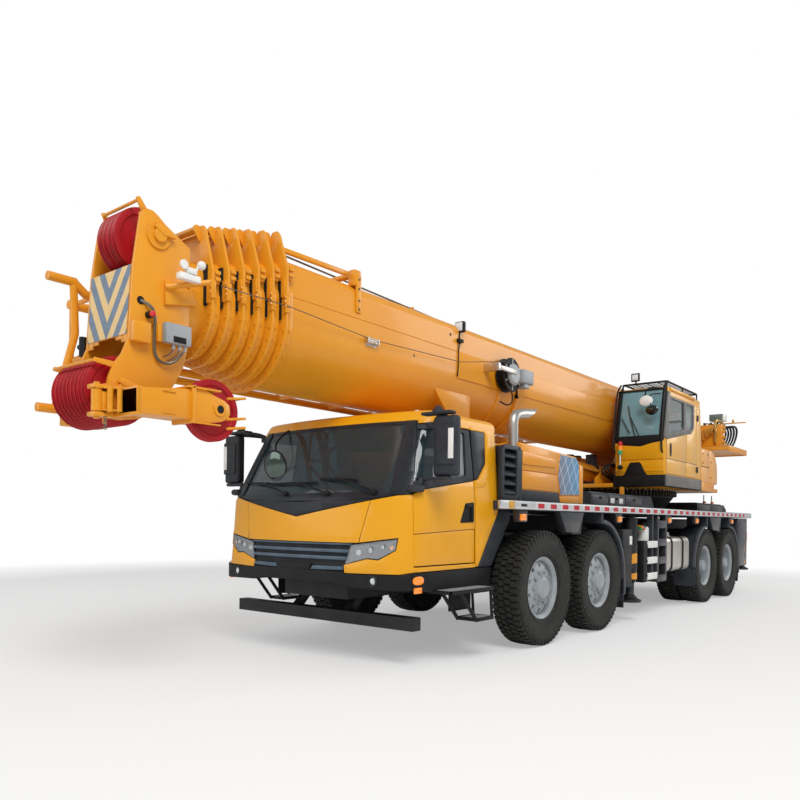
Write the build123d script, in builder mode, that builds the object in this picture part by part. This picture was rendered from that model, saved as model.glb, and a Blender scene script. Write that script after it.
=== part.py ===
"""Mobile crane on a four-axle carrier, with a seven-section telescopic boom.

Millimetres. X points forward, Y to the left, Z up, with Z = 0 under the tyres.
Stations along the machine are counted from axle 1 and are positive forwards.
"""

import os
from math import cos, radians, sin

from build123d import *

os.makedirs("parts", exist_ok=True)

# ---------------------------------------------------------------- driving dimensions

AXLE_1_X = 2271.0  # puts the middle of the machine's length at X = 0
AXLES = (0.0, -1445.0, -5734.0, -7082.0)  # station of each axle
STEERED = 2  # how many axles steer, from the front

# Tyres and rims: radius and width of the tyre, and the rim inside it
TYRE_R = 613.5
TYRE_HALF = 162.0
BEAD_R = 306.0
BEAD_HALF = 94.0
FLANGE_R = 332.5
RIM_HALF = 120.0
OUTER_WHEEL_Y = 1325.0
TWIN_SPACING = 345.0
KINGPIN_Y = 1190.0
SPINDLE_R = 60.0
RUNNING = 2.0  # radial clearance of a wheel on its spindle

# Carrier
FRAME_HALF = 430.0
FRAME_Z = (800.0, 1400.0)
DECK_HALF = 1500.0
DECK_X = (-8543.0, 690.0)
DECK_Z = (1431.0, 1522.0)

# Outriggers: casing, the pair of beams that lie side by side in it, and their jacks
OUTRIGGERS = {"front": -2425.0, "rear": -8035.0}  # station of the casing's middle
JACK_BASE = {"front": (260.0, 1385.0), "rear": (440.0, 1385.0)}  # foot and tube top
CASING_HALF_X = 275.0
CASING_HALF_Y = 1290.0
CASING_Z = (660.0, 1140.0)
BEAM_OFFSET = 135.0
BEAM_W = 225.0
BEAM_Z = (700.0, 1100.0)
BEAM_CLEAR = 6.0
JACK_Y = 1395.0
JACK_TUBE_R = 90.0
JACK_ROD_R = 58.0
FOOT_R = 150.0

# Driver's cab: plan sections, as height, rear station, half width, front end of the side,
# corner station, corner half width and nose station
CAB_PLAN = (
    (870.0, 700.0, 1245.0, 1985.0, 2090.0, 1150.0, 2245.0),
    (1500.0, 700.0, 1235.0, 1930.0, 2010.0, 1160.0, 2200.0),
    (2285.0, 740.0, 1120.0, 1560.0, 1645.0, 1055.0, 1760.0),
    (2345.0, 800.0, 1040.0, 1470.0, 1550.0, 970.0, 1660.0),
)
CAB_WALL = 45.0
CAB_SLOPE = ((1060.0, 870.0), (700.0, 1450.0))  # rear lower edge, over the front wheel
DOOR = ((1925.0, 905.0), (1925.0, 1510.0), (1585.0, 2205.0), (1100.0, 2205.0), (1100.0, 905.0))
# The panel's rear edge runs in towards the top, so that it clears its frame as the door turns
DOOR_PANEL = ((1917.0, 913.0), (1917.0, 1506.0), (1579.0, 2197.0), (1128.0, 2197.0), (1110.0, 1500.0), (1108.0, 913.0))
DOOR_WINDOW = ((1850.0, 1640.0), (1640.0, 2130.0), (1165.0, 2140.0), (1165.0, 1720.0))
DOOR_HINGE = (1925.0, 1262.0)

# Slewing ring and superstructure
SLEW_X = -5400.0
RING_R = 1030.0
RING_Z = (1760.0, 1860.0)
BASE_Z = (1866.0, 1930.0)
TOWER_Y = (530.0, 570.0)
TAIL_X = -9000.0

# Operator's cab
OP_SIDE = (
    (-3980.0, 1930.0),
    (-3930.0, 2640.0),
    (-4070.0, 3340.0),
    (-5700.0, 3340.0),
    (-5790.0, 2600.0),
    (-5740.0, 1930.0),
)
OP_Y = (600.0, 1360.0)
OP_WALL = 40.0
OP_DOOR_X = (-5520.0, -4330.0)
OP_DOOR_Z = (1990.0, 3260.0)
OP_DOOR_GAP = 8.0
OP_HINGE = (-5505.0, 1376.0)

# Boom: a round belly under upright sides and a flat top
SECTIONS = 7
PIVOT = (-6850.0, 3050.0)
BELLY_Z = 2970.0
BASE_HALF = 500.0
BASE_TOP = 3520.0
SECTION_STEP = 33.0
BOOM_WALL = 12.0
CORNER_R = 120.0
BOOM_REAR = -7300.0
COLLAR_X = (2870.0, 2995.0, 3120.0, 3245.0, 3370.0, 3495.0)
COLLAR_T = 26.0
COLLAR_LIP = 50.0
LUFF_BASE = (-5000.0, 2080.0)
LUFF_EYE = (-350.0, 2350.0)
BARREL_R = 145.0
ROD_R = 95.0
BARREL_LENGTH = 3560.0

# Boom head
HEAD_PLATE_Y = (272.0, 302.0)
HEAD_SIDE = (
    (3640.0, 3385.0),
    (3860.0, 3500.0),
    (3990.0, 3560.0),
    (4060.0, 3520.0),
    (4120.0, 3145.0),
    (4150.0, 2600.0),
    (4300.0, 2380.0),
    (4330.0, 2080.0),
    (4220.0, 2000.0),
    (3900.0, 2120.0),
    (3740.0, 2360.0),
    (3670.0, 2490.0),
)
UPPER_SHEAVE = (3920.0, 3400.0)
LOWER_SHEAVE = (4195.0, 2215.0)
SHEAVE_R = 250.0
SHEAVE_PIN_R = 45.0
AUX_PIN = (4420.0, 360.0)
AUX_HUB = (3620.0, 2120.0)
AUX_SHEAVE_R = 235.0
AUX_SHEAVE_Y = 550.0


# ---------------------------------------------------------------- helpers


def side_plane(y):
    """Plane at a width, with the station to the right and the height up."""
    return Plane(origin=(AXLE_1_X, y, 0), x_dir=(1, 0, 0), z_dir=(0, -1, 0))


def level(z):
    """Level plane at a height, measured in stations and widths."""
    return Plane(origin=(AXLE_1_X, 0, z), x_dir=(1, 0, 0), z_dir=(0, 0, 1))


def cross(station):
    """Cross plane at a station, with the width to the right and the height up."""
    return Plane(origin=(AXLE_1_X + station, 0, 0), x_dir=(0, 1, 0), z_dir=(1, 0, 0))


def block(x, y, z, mode=Mode.ADD):
    """Block between two stations, two widths and two heights."""
    middle = (AXLE_1_X + (x[0] + x[1]) / 2, (y[0] + y[1]) / 2, (z[0] + z[1]) / 2)
    with Locations(middle):
        Box(abs(x[1] - x[0]), abs(y[1] - y[0]), abs(z[1] - z[0]), mode=mode)


def slab(outline, y, mode=Mode.ADD):
    """Plate cut to a side outline, between two widths."""
    low, high = min(y), max(y)
    with BuildSketch(side_plane(high)) as cut:
        with BuildLine():
            Polyline(*outline, close=True)
        make_face()
    extrude(cut.sketch, amount=high - low, mode=mode)


def rod(start, end, radius, mode=Mode.ADD):
    """Round bar between two points, each a station, a width and a height."""
    foot = Vector(AXLE_1_X + start[0], start[1], start[2])
    head = Vector(AXLE_1_X + end[0], end[1], end[2])
    run = head - foot
    with Locations(Plane(origin=foot, z_dir=run)):
        Cylinder(radius, run.length, align=(Align.CENTER, Align.CENTER, Align.MIN), mode=mode)


def pin(x, z, y, radius, mode=Mode.ADD):
    """Round bar across the machine, between two widths."""
    rod((x, min(y), z), (x, max(y), z), radius, mode)


def both(widths):
    """The same pair of widths on the left and on the right."""
    return (tuple(widths), tuple(-w for w in widths))


def save(piece, name):
    """Label a finished sub-part and write it to its own file."""
    piece.part.label = name
    export_step(piece.part, "parts/" + name + ".step")


def wheel_plane(station, side, width):
    """Plane through a wheel's axis: the radius to the right, outwards up."""
    centre = (AXLE_1_X + station, side * width, TYRE_R)
    return Plane(origin=centre, x_dir=(0, 0, 1), z_dir=(-side, 0, 0))


def turned(profile, station, side, width, mode=Mode.ADD):
    """Ring or disc turned about a wheel's axis from a profile of radius and outward width."""
    plane = wheel_plane(station, side, width)
    with BuildSketch(plane) as section:
        with BuildLine():
            Polyline(*profile, close=True)
        make_face()
    revolve(section.sketch, axis=Axis(plane.origin, (0, side, 0)), mode=mode)


def boom_face(station, half, top, corner):
    """Boom section: a half-round belly, upright sides and a flat top with round corners."""
    turn = corner * (1 - cos(radians(45)))
    with BuildSketch(cross(station)) as face:
        with BuildLine():
            ThreePointArc((-half, BELLY_Z), (0, BELLY_Z - half), (half, BELLY_Z))
            Line((half, BELLY_Z), (half, top - corner))
            ThreePointArc((half, top - corner), (half - turn, top - turn), (half - corner, top))
            Line((half - corner, top), (corner - half, top))
            ThreePointArc((corner - half, top), (turn - half, top - turn), (-half, top - corner))
            Line((-half, top - corner), (-half, BELLY_Z))
        make_face()
    return face.sketch


def boom_tube(front, rear, half, top):
    """Hollow boom section between two stations."""
    extrude(boom_face(front, half, top, CORNER_R), amount=rear - front)
    bore = boom_face(front, half - BOOM_WALL, top - BOOM_WALL, CORNER_R - BOOM_WALL)
    extrude(bore, amount=rear - front, mode=Mode.SUBTRACT)


def collar(station, half, top, peak):
    """Thick plate round a section's mouth, with its head drawn up to carry a roller."""
    lip = half + COLLAR_LIP
    shoulder = top - 60
    with BuildSketch(cross(station)) as plate:
        with BuildLine():
            ThreePointArc((-lip, BELLY_Z), (0, BELLY_Z - lip), (lip, BELLY_Z))
            Polyline((lip, BELLY_Z), (lip, shoulder), (lip - 130, peak), (130 - lip, peak))
            Polyline((130 - lip, peak), (-lip, shoulder), (-lip, BELLY_Z))
        make_face()
    extrude(plate.sketch, amount=-COLLAR_T)
    mouth = boom_face(station, half - BOOM_WALL, top - BOOM_WALL, CORNER_R - BOOM_WALL)
    extrude(mouth, amount=-COLLAR_T, mode=Mode.SUBTRACT)
    rod((station + 25, -half * 0.6, peak + 5), (station + 25, half * 0.6, peak + 5), 28)


def cab_section(row, inset):
    """Plan of the driver's cab at one height, moved in by an inset."""
    height, rear, half, side_end, corner_x, corner_y, nose = row
    half -= inset
    corner = (corner_x - inset, corner_y - inset * 0.5)
    with BuildSketch(level(height)) as plan:
        with BuildLine():
            Polyline((corner[0], -corner[1]), (side_end - inset * 0.5, -half), (rear + inset, -half))
            Line((rear + inset, -half), (rear + inset, half))
            Polyline((rear + inset, half), (side_end - inset * 0.5, half), corner)
            ThreePointArc(corner, (nose - inset, 0), (corner[0], -corner[1]))
        make_face()
    return plan.sketch


def cab_solid(inset, rows, slope_inset):
    """Solid of the cab between plan sections, cut back over the front wheel."""
    for low, high in zip(rows, rows[1:]):
        loft([cab_section(low, inset), cab_section(high, inset)], ruled=True)
    (low_x, low_z), (high_x, high_z) = CAB_SLOPE
    shift = slope_inset
    wedge = (
        (low_x + shift, low_z - 50),
        (low_x + shift, low_z + shift * 0.5),
        (high_x + shift, high_z + shift * 0.5),
        (high_x - 50, high_z + shift * 0.5),
        (high_x - 50, low_z - 50),
    )
    slab(wedge, (-1400, 1400), Mode.SUBTRACT)


# ---------------------------------------------------------------- carrier frame

with BuildPart() as chassis_frame:
    block((-8500, 480), (-FRAME_HALF, FRAME_HALF), FRAME_Z)
    block((250, 1950), (-FRAME_HALF, FRAME_HALF), (560, 845))
    for centre in OUTRIGGERS.values():
        casing = (centre - CASING_HALF_X, centre + CASING_HALF_X)
        block(casing, (-CASING_HALF_Y, CASING_HALF_Y), CASING_Z)
    for centre in OUTRIGGERS.values():
        for offset in (-BEAM_OFFSET, BEAM_OFFSET):
            half = BEAM_W / 2 + BEAM_CLEAR
            tunnel = (centre + offset - half, centre + offset + half)
            height = (BEAM_Z[0] - BEAM_CLEAR, BEAM_Z[1] + BEAM_CLEAR)
            block(tunnel, (-1400, 1400), height, Mode.SUBTRACT)
    for station in AXLES:
        for y in both((520, 600)):
            block((station - 480, station + 480), y, (702, 770))
            for end in (-440, 440):
                block((station + end - 40, station + end + 40), (y[0] * 0.8, y[1]), (740, 860))
    # Low guard bar in front, on two arms
    block((1800, 1920), (-1185, 1185), (331, 451))
    for y in both((330, 390)):
        slab(((1640, 570), (1760, 570), (1900, 440), (1810, 400)), y)
save(chassis_frame, "chassis_frame")

with BuildPart() as deck:
    block(DECK_X, (-DECK_HALF, DECK_HALF), DECK_Z)
    # Equipment boxes on the deck, before and behind the slewing ring
    slab(((-1960, 1522), (-1960, 1700), (-4150, 1720), (-4300, 1522)), (-1100, 1100))
    slab(((-6650, 1522), (-6600, 1690), (-8330, 1680), (-8500, 1590), (-8500, 1522)), (-1050, 1050))
    for y in both((980, 1000)):
        for station in (-7250, -7750):
            rod((station, y[0], 1680), (station, y[0], 1850), 9)
    for y in both((1150, 1480)):
        # Wheel arches: centre station, inner radius and the quarter that they cover
        for centre, radius, quarter in ((AXLES[1], 692, -1), (AXLES[2], 636, 1), (AXLES[3], 636, -1)):
            with BuildSketch(side_plane(max(y))) as arch:
                with Locations((centre, TYRE_R)):
                    Circle(radius + 12)
                    Circle(radius, mode=Mode.SUBTRACT)
                with Locations((centre + quarter * 500, TYRE_R + 500)):
                    Rectangle(1000, 1000, mode=Mode.INTERSECT)
            extrude(arch.sketch, amount=abs(y[0] - y[1]))
            block((centre + quarter * radius, centre + quarter * (radius + 12)), y, (310, 615))
            block((centre - 25, centre + 25), y, (TYRE_R + radius, 1435))
    for y in both((1400, 1480)):
        # Hanging brackets between the wheels of each pair: station and half width
        for station, width in ((-722, 190), (-6408, 140)):
            foot = width * 0.6
            slab(((station - width, 1431), (station + width, 1431), (station + foot, 1180), (station - foot, 1180)), y)
        # Ladder and stacked steps between the front outrigger and the tank
        for station in (-3380, -3720):
            block((station - 20, station + 20), y, (500, 1431))
        for height in (520, 760, 1000, 1240):
            block((-3720, -3380), y, (height, height + 30))
        for height in (570, 770, 970):
            block((-3360, -2990), y, (height, height + 45))
        block((-3200, -3150), y, (590, 1431))
    # Rear lamp boards
    for y in both((900, 1400)):
        block((-8600, -8543), y, (860, 1180))
        block((-8560, -8520), (y[0] * 1.05, y[0] * 1.15), (1180, 1431))
save(deck, "deck")

with BuildPart() as axles:
    for number, station in enumerate(AXLES):
        steered = number < STEERED
        reach = 1110 if steered else 780
        rod((station, -reach, TYRE_R), (station, reach, TYRE_R), 85)
        with Locations((AXLE_1_X + station, 0, TYRE_R)):
            Sphere(175)
        for side in (-1, 1):
            if steered:
                for low in (-208, 188):
                    block(
                        (station - 55, station + 55),
                        (side * 1095, side * 1245),
                        (TYRE_R + low, TYRE_R + low + 20),
                    )
                block((station - 40, station + 40), (side * 1095, side * 1122), (TYRE_R - 208, TYRE_R + 208))
            else:
                rod((station, side * 780, TYRE_R), (station, side * 1400, TYRE_R), SPINDLE_R)
save(axles, "axles")

with BuildPart() as engine_block:
    block((-1400, -150), (-380, 380), (1522, 1960))
    fillet(engine_block.edges().filter_by(Axis.Z), 40)
save(engine_block, "engine_block")

HOOD_Y = 1225.0
with BuildPart() as engine_hood:
    slab(((120, 1523), (110, 2165), (-1255, 2108), (-1330, 2040), (-1460, 2010), (-1460, 1523)), (-HOOD_Y, HOOD_Y))
    slab(((300, 2050), (300, 2300), (-2000, 2300), (-2000, 2030)), (-430, 430), Mode.SUBTRACT)
    slab(((80, 1500), (80, 2020), (-1300, 1990), (-1430, 1970), (-1430, 1500)), (30 - HOOD_Y, HOOD_Y - 30), Mode.SUBTRACT)
    for y in both((460, HOOD_Y - 30)):
        slab(((80, 1980), (80, 2130), (-1242, 2076), (-1310, 2014), (-1310, 1970)), y, Mode.SUBTRACT)
    # Air intake tower behind the cab, with louvres
    for y in both((1020, 1300)):
        slab(((640, 1523), (640, 2060), (560, 2100), (250, 2100), (200, 2060), (200, 1523)), y)
    for height in range(1600, 2040, 55):
        for y in both((1300, 1318)):
            block((240, 600), y, (height, height + 26))
    # Exhaust pipe, bent back over the hood
    rod((150, 1120, 2100), (215, 1120, 2390), 68)
    rod((215, 1120, 2390), (130, 1120, 2480), 68)
    rod((130, 1120, 2480), (-310, 1120, 2560), 68)
    with Locations((AXLE_1_X + 215, 1120, 2390), (AXLE_1_X + 130, 1120, 2480)):
        Sphere(68)
save(engine_hood, "engine_hood")

with BuildPart() as fuel_tank:
    for y in both((760, 1450)):
        block((-4880, -3760), y, (590, 1110))
    fillet(fuel_tank.edges().filter_by(Axis.X), 70)
    for y in both((752, 1458)):
        for station in (-4070, -4570):
            block((station - 25, station + 25), y, (582, 1118))
    for side in (-1, 1):
        rod((-3950, side * 1300, 1100), (-3950, side * 1300, 1150), 60)
    for y in both((FRAME_HALF, 770)):
        for station in (-4070, -4570):
            block((station - 30, station + 30), y, (860, 960))
save(fuel_tank, "fuel_tank")

with BuildPart() as slew_ring:
    with BuildSketch(level(DECK_Z[1])) as foot:
        with Locations((SLEW_X, 0)):
            Circle(930)
            Circle(640, mode=Mode.SUBTRACT)
    extrude(amount=RING_Z[0] - DECK_Z[1])
    with BuildSketch(level(RING_Z[0])) as ring:
        with Locations((SLEW_X, 0)):
            Circle(RING_R)
            Circle(640, mode=Mode.SUBTRACT)
    extrude(amount=RING_Z[1] - RING_Z[0])
save(slew_ring, "slew_ring")

# ---------------------------------------------------------------- driver's cab

CAVITY_ROWS = ((905.0,) + CAB_PLAN[0][1:], CAB_PLAN[1], (2270.0,) + CAB_PLAN[2][1:])
WINDSCREEN = ((2300.0, 1565.0), (2300.0, 2262.0), (1500.0, 2262.0), (1700.0, 1565.0))
WINDSCREEN_HALF = 1045.0

with BuildPart() as cab_outer:
    cab_solid(0, CAB_PLAN, 0)

with BuildPart() as cab_cavity:
    cab_solid(CAB_WALL, CAVITY_ROWS, CAB_WALL)

with BuildPart() as cab_shell:
    add(cab_outer.part)
    add(cab_cavity.part, mode=Mode.SUBTRACT)
    for y in both((950, 1400)):
        slab(DOOR, y, Mode.SUBTRACT)
    with BuildSketch(cross(2400)) as opening:
        with BuildLine():
            Polyline((-1075, 1575), (1075, 1575), (985, 2250), (-985, 2250), close=True)
        make_face()
    extrude(amount=-980, mode=Mode.SUBTRACT)
    block((650, 800), (-780, 780), (1650, 2100), Mode.SUBTRACT)
save(cab_shell, "cab_shell")

with BuildPart() as cab_glass:
    cab_solid(8, CAB_PLAN[1:3], 0)
    with BuildPart(mode=Mode.PRIVATE) as behind_glass:
        cab_solid(16, CAB_PLAN[1:3], 0)
    add(behind_glass.part, mode=Mode.SUBTRACT)
    with BuildSketch(cross(2400)) as pane:
        with BuildLine():
            Polyline((-1072, 1578), (1072, 1578), (982, 2247), (-982, 2247), close=True)
        make_face()
    extrude(amount=-980, mode=Mode.INTERSECT)
    block((715, 723), (-777, 777), (1653, 2097))
save(cab_glass, "cab_glass")

with BuildPart() as cab_interior:
    for y in both((380, 880)):
        block((1000, 1450), y, (1200, 1330))
        slab(((960, 1300), (1060, 1300), (990, 1900), (900, 1900)), y)
        block((1130, 1400), (y[0] + (100 if y[0] > 0 else -100), y[1] * 0.85), (907, 1200))
    slab(((1960, 1240), (1990, 1400), (1900, 1480), (1760, 1420), (1760, 1240)), (-980, 980))
    rod((1760, 630, 1400), (1600, 630, 1500), 25)
    with BuildSketch(Plane(origin=(AXLE_1_X + 1590, 630, 1506), z_dir=(-0.85, 0, 0.53))):
        Circle(225)
        Circle(200, mode=Mode.SUBTRACT)
        Rectangle(410, 40)
    extrude(amount=20)
    block((1850, 1900), (-900, 900), (907, 1240))
save(cab_interior, "cab_interior")

for side, word in ((1, "left"), (-1, "right")):
    with BuildPart() as cab_door:
        add(cab_outer.part)
        add(cab_cavity.part, mode=Mode.SUBTRACT)
        slab(DOOR_PANEL, (side * 960, side * 1390), Mode.INTERSECT)
        slab(DOOR_WINDOW, (side * 950, side * 1400), Mode.SUBTRACT)
        # Mirror on two arms from the door's front edge
        block((1740, 1850), (side * 1330, side * 1570), (1700, 2230))
        fillet(cab_door.edges().filter_by(Axis.X).filter_by_position(Axis.Y, *sorted((side * 1320, side * 1580))), 30)
        rod((1860, side * 1215, 1575), (1800, side * 1420, 1710), 18)
        rod((1530, side * 1115, 2165), (1780, side * 1400, 2225), 16)
        block((1130, 1380), (side * 1225, side * 1262), (1330, 1380))
        # Hinges on the front edge
        for low, high in ((1000, 1080), (1350, 1430)):
            rod((DOOR_HINGE[0], side * DOOR_HINGE[1], low), (DOOR_HINGE[0], side * DOOR_HINGE[1], high), 10)
            block((DOOR_HINGE[0] - 40, DOOR_HINGE[0] - 13), (side * 1225, side * 1272), (low, high))
            block((DOOR_HINGE[0] - 20, DOOR_HINGE[0]), (side * 1252, side * 1272), (low, high))
    save(cab_door, "cab_door_" + word)

# Bumper, grille, lamps, skirts and steps
with BuildPart() as bumper:
    cab_solid(-14, ((905.0,) + CAB_PLAN[0][1:], CAB_PLAN[1]), 0)
    with BuildPart(mode=Mode.PRIVATE) as behind_bumper:
        cab_solid(-1, ((905.0,) + CAB_PLAN[0][1:], CAB_PLAN[1]), 0)
    add(behind_bumper.part, mode=Mode.SUBTRACT)
    with BuildPart(mode=Mode.PRIVATE) as face_pieces:
        for low in (925, 985, 1045):
            block((2000, 2400), (-690, 690), (low, low + 42))
        for y in both((705, 1150)):
            slab_z = ((abs(y[0]), 915), (abs(y[1]) - 60, 985), (abs(y[1]), 1140), (abs(y[0]) - 10, 1090))
            sign = 1 if y[0] > 0 else -1
            with BuildSketch(cross(1990)) as lamp:
                with BuildLine():
                    Polyline(*[(sign * a, b) for a, b in slab_z], close=True)
                make_face()
            extrude(lamp.sketch, amount=400)
    add(face_pieces.part, mode=Mode.INTERSECT)
    # Bumper beam under the cab's nose
    with BuildSketch(level(700)) as beam:
        with BuildLine():
            Polyline((2100, -1190), (2000, -1250), (1900, -1250), (1900, 1250), (2000, 1250), (2100, 1190))
            ThreePointArc((2100, 1190), (2268, 0), (2100, -1190))
        make_face()
    extrude(beam.sketch, amount=165)
    block((1700, 2400), (-FRAME_HALF - 5, FRAME_HALF + 5), (600, 850), Mode.SUBTRACT)
    for y in both((1020, 1250)):
        slab(((2000, 700), (2000, 865), (820, 865), (820, 610), (1000, 610), (1400, 640)), y)
    # Raking panel over the front wheel, behind the cab
    for y in both((1000, 1240)):
        slab(((835, 866), (1050, 866), (690, 1428), (540, 1428)), y)
    # Boarding steps
    for y in both((1150, 1440)):
        block((890, 1770), y, (655, 690))
        block((960, 1340), y, (380, 410))
        for station in (985, 1315):
            block((station - 15, station + 15), (y[0] * 1.05, y[1] * 0.95), (380, 660))
save(bumper, "bumper")

# ---------------------------------------------------------------- wheels

TYRE = (
    (BEAD_R, -BEAD_HALF),
    (352, -120),
    (480, -TYRE_HALF),
    (585, -150),
    (TYRE_R, -115),
    (TYRE_R, 115),
    (585, 150),
    (480, TYRE_HALF),
    (352, 120),
    (BEAD_R, BEAD_HALF),
)
BORE_R = SPINDLE_R + RUNNING
SINGLE_RIM = (
    (FLANGE_R, -RIM_HALF),
    (FLANGE_R, -112),
    (BEAD_R - 1, -96),
    (BEAD_R - 1, 96),
    (FLANGE_R, 112),
    (FLANGE_R, RIM_HALF),
    (318, RIM_HALF),
    (290, 96),
    (288, 40),
    (225, 80),
    (150, 96),
    (135, 140),
    (105, 158),
    (0, 160),
    (0, 126),
    (BORE_R, 126),
    (BORE_R, -55),
    (112, -55),
    (130, 70),
    (215, 58),
    (276, 12),
    (288, -96),
    (318, -RIM_HALF),
)
DISC_Y = TWIN_SPACING / 2
TWIN_BARREL = (
    (FLANGE_R, -RIM_HALF),
    (FLANGE_R, -112),
    (BEAD_R - 1, -96),
    (BEAD_R - 1, 96),
    (FLANGE_R, 112),
    (FLANGE_R, RIM_HALF),
    (318, RIM_HALF),
    (290, 96),
    (286, -104),
    (262, 16 - DISC_Y),
    (120, 16 - DISC_Y),
    (120, -DISC_Y),
    (268, -DISC_Y),
    (318, -RIM_HALF),
)
TWIN_INNER = tuple((r, -w) for r, w in TWIN_BARREL)
TWIN_HUB = (
    (BORE_R, -230),
    (BORE_R, 96),
    (0, 96),
    (0, 118),
    (95, 112),
    (128, 80),
    (140, -DISC_Y + 10),
    (140, -230),
)

WHEELS = [(n + 1, s, side) for n, s in enumerate(AXLES) for side in (1, -1)]
for number, station, side in WHEELS:
    name = str(number) + ("_left" if side > 0 else "_right")
    twin = number > STEERED
    inner_y = OUTER_WHEEL_Y - TWIN_SPACING
    with BuildPart() as tyre:
        turned(TYRE, station, side, OUTER_WHEEL_Y)
        if twin:
            turned(TYRE, station, side, inner_y)
    save(tyre, "tyre_" + name)
    with BuildPart() as rim:
        if twin:
            turned(TWIN_BARREL, station, side, OUTER_WHEEL_Y)
            turned(TWIN_INNER, station, side, inner_y)
            turned(TWIN_HUB, station, side, OUTER_WHEEL_Y)
        else:
            turned(SINGLE_RIM, station, side, OUTER_WHEEL_Y)
    save(rim, "rim_" + name)
    if not twin:
        with BuildPart() as knuckle:
            rod((station, side * KINGPIN_Y, TYRE_R - 183), (station, side * KINGPIN_Y, TYRE_R + 183), 52)
            rod((station, side * KINGPIN_Y, TYRE_R), (station, side * 1444, TYRE_R), SPINDLE_R)
            block(
                (station - 250, station),
                (side * (KINGPIN_Y - 35), side * (KINGPIN_Y + 5)),
                (TYRE_R - 150, TYRE_R - 110),
            )
        save(knuckle, "knuckle_" + name)

# ---------------------------------------------------------------- outriggers

for place, centre in OUTRIGGERS.items():
    for side, word in ((1, "left"), (-1, "right")):
        station = centre - side * BEAM_OFFSET
        foot_z, tube_top = JACK_BASE[place]
        with BuildPart() as beam:
            block((station - BEAM_W / 2, station + BEAM_W / 2), (-side * 1200, side * JACK_Y), BEAM_Z)
            rod((station, side * JACK_Y, 560), (station, side * JACK_Y, tube_top), JACK_TUBE_R)
            rod((station, side * JACK_Y, 500), (station, side * JACK_Y, tube_top - 25), JACK_ROD_R + 5, Mode.SUBTRACT)
        save(beam, "outrigger_beam_" + place + "_" + word)
        with BuildPart() as jack:
            rod((station, side * JACK_Y, foot_z + 40), (station, side * JACK_Y, tube_top - 60), JACK_ROD_R)
            rod((station, side * JACK_Y, foot_z + 20), (station, side * JACK_Y, foot_z + 80), 85)
            rod((station, side * JACK_Y, foot_z), (station, side * JACK_Y, foot_z + 30), FOOT_R)
        save(jack, "outrigger_jack_" + place + "_" + word)

# ---------------------------------------------------------------- superstructure

TOWER = (
    (-4500, 1930),
    (-5450, 2330),
    (-6300, 3230),
    (-6700, 3290),
    (-7050, 3290),
    (-7500, 3200),
    (-8980, 3180),
    (-8980, 2800),
    (-7700, 2720),
    (-7250, 2400),
    (-6900, 1930),
)
with BuildPart() as turntable:
    with BuildSketch(level(BASE_Z[0])) as base:
        with Locations((SLEW_X, 0)):
            Circle(1040)
        with Locations(((-6750 - 3950) / 2, 55)):
            Rectangle(2800, 2610)
    extrude(amount=BASE_Z[1] - BASE_Z[0])
    for y in both(TOWER_Y):
        slab(TOWER, y)
    # Pins of the boom's foot
    for y in both((506, 600)):
        pin(PIVOT[0], PIVOT[1], y, 60)
    # Lugs and pin of the luffing cylinder
    for y in both((150, 190)):
        slab(((-5250, 1930), (-5120, 2190), (-4880, 2190), (-4750, 1930)), y)
    pin(LUFF_BASE[0], LUFF_BASE[1], (-190, 190), 48)
    # Cross wall behind the slewing motor, and the tail's platform
    block((-6600, -6560), (-530, 530), (1930, 2250))
    block((TAIL_X, -7680), (-1200, 1300), (2720, 2790))
    block((-7720, -7680), (-530, 530), (2790, 3050))
    # Rounded cover behind the operator's cab, and the oil tank on the right
    with BuildSketch(side_plane(1300)) as cover:
        with BuildLine():
            Polyline((-5960, 2020), (-5960, 2600), (-6560, 2600))
            ThreePointArc((-6560, 2600), (-6815, 2495), (-6920, 2240))
            Polyline((-6920, 2240), (-6920, 2020), (-5960, 2020))
        make_face()
    extrude(cover.sketch, amount=680)
    block((-6750, -5960), (700, 1300), (1930, 2020))
    block((-6350, -4650), (-1250, -640), (1930, 2480))
save(turntable, "turntable")

with BuildPart() as winches:
    # Drum station, height, core radius and flange radius
    for station, height, core, flange in ((-8080, 3040, 190, 245), (-8640, 3020, 170, 215)):
        pin(station, height, (-380, 380), core)
        for y in ((-380, -350), (350, 380)):
            pin(station, height, y, flange)
        for y in both((380, 526)):
            pin(station, height, y, 90)
    # Valve block and hose manifold on the platform
    block((-8300, -7900), (720, 1120), (2792, 3020))
    block((-8200, -8000), (780, 1060), (3020, 3180))
save(winches, "winches")

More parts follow.
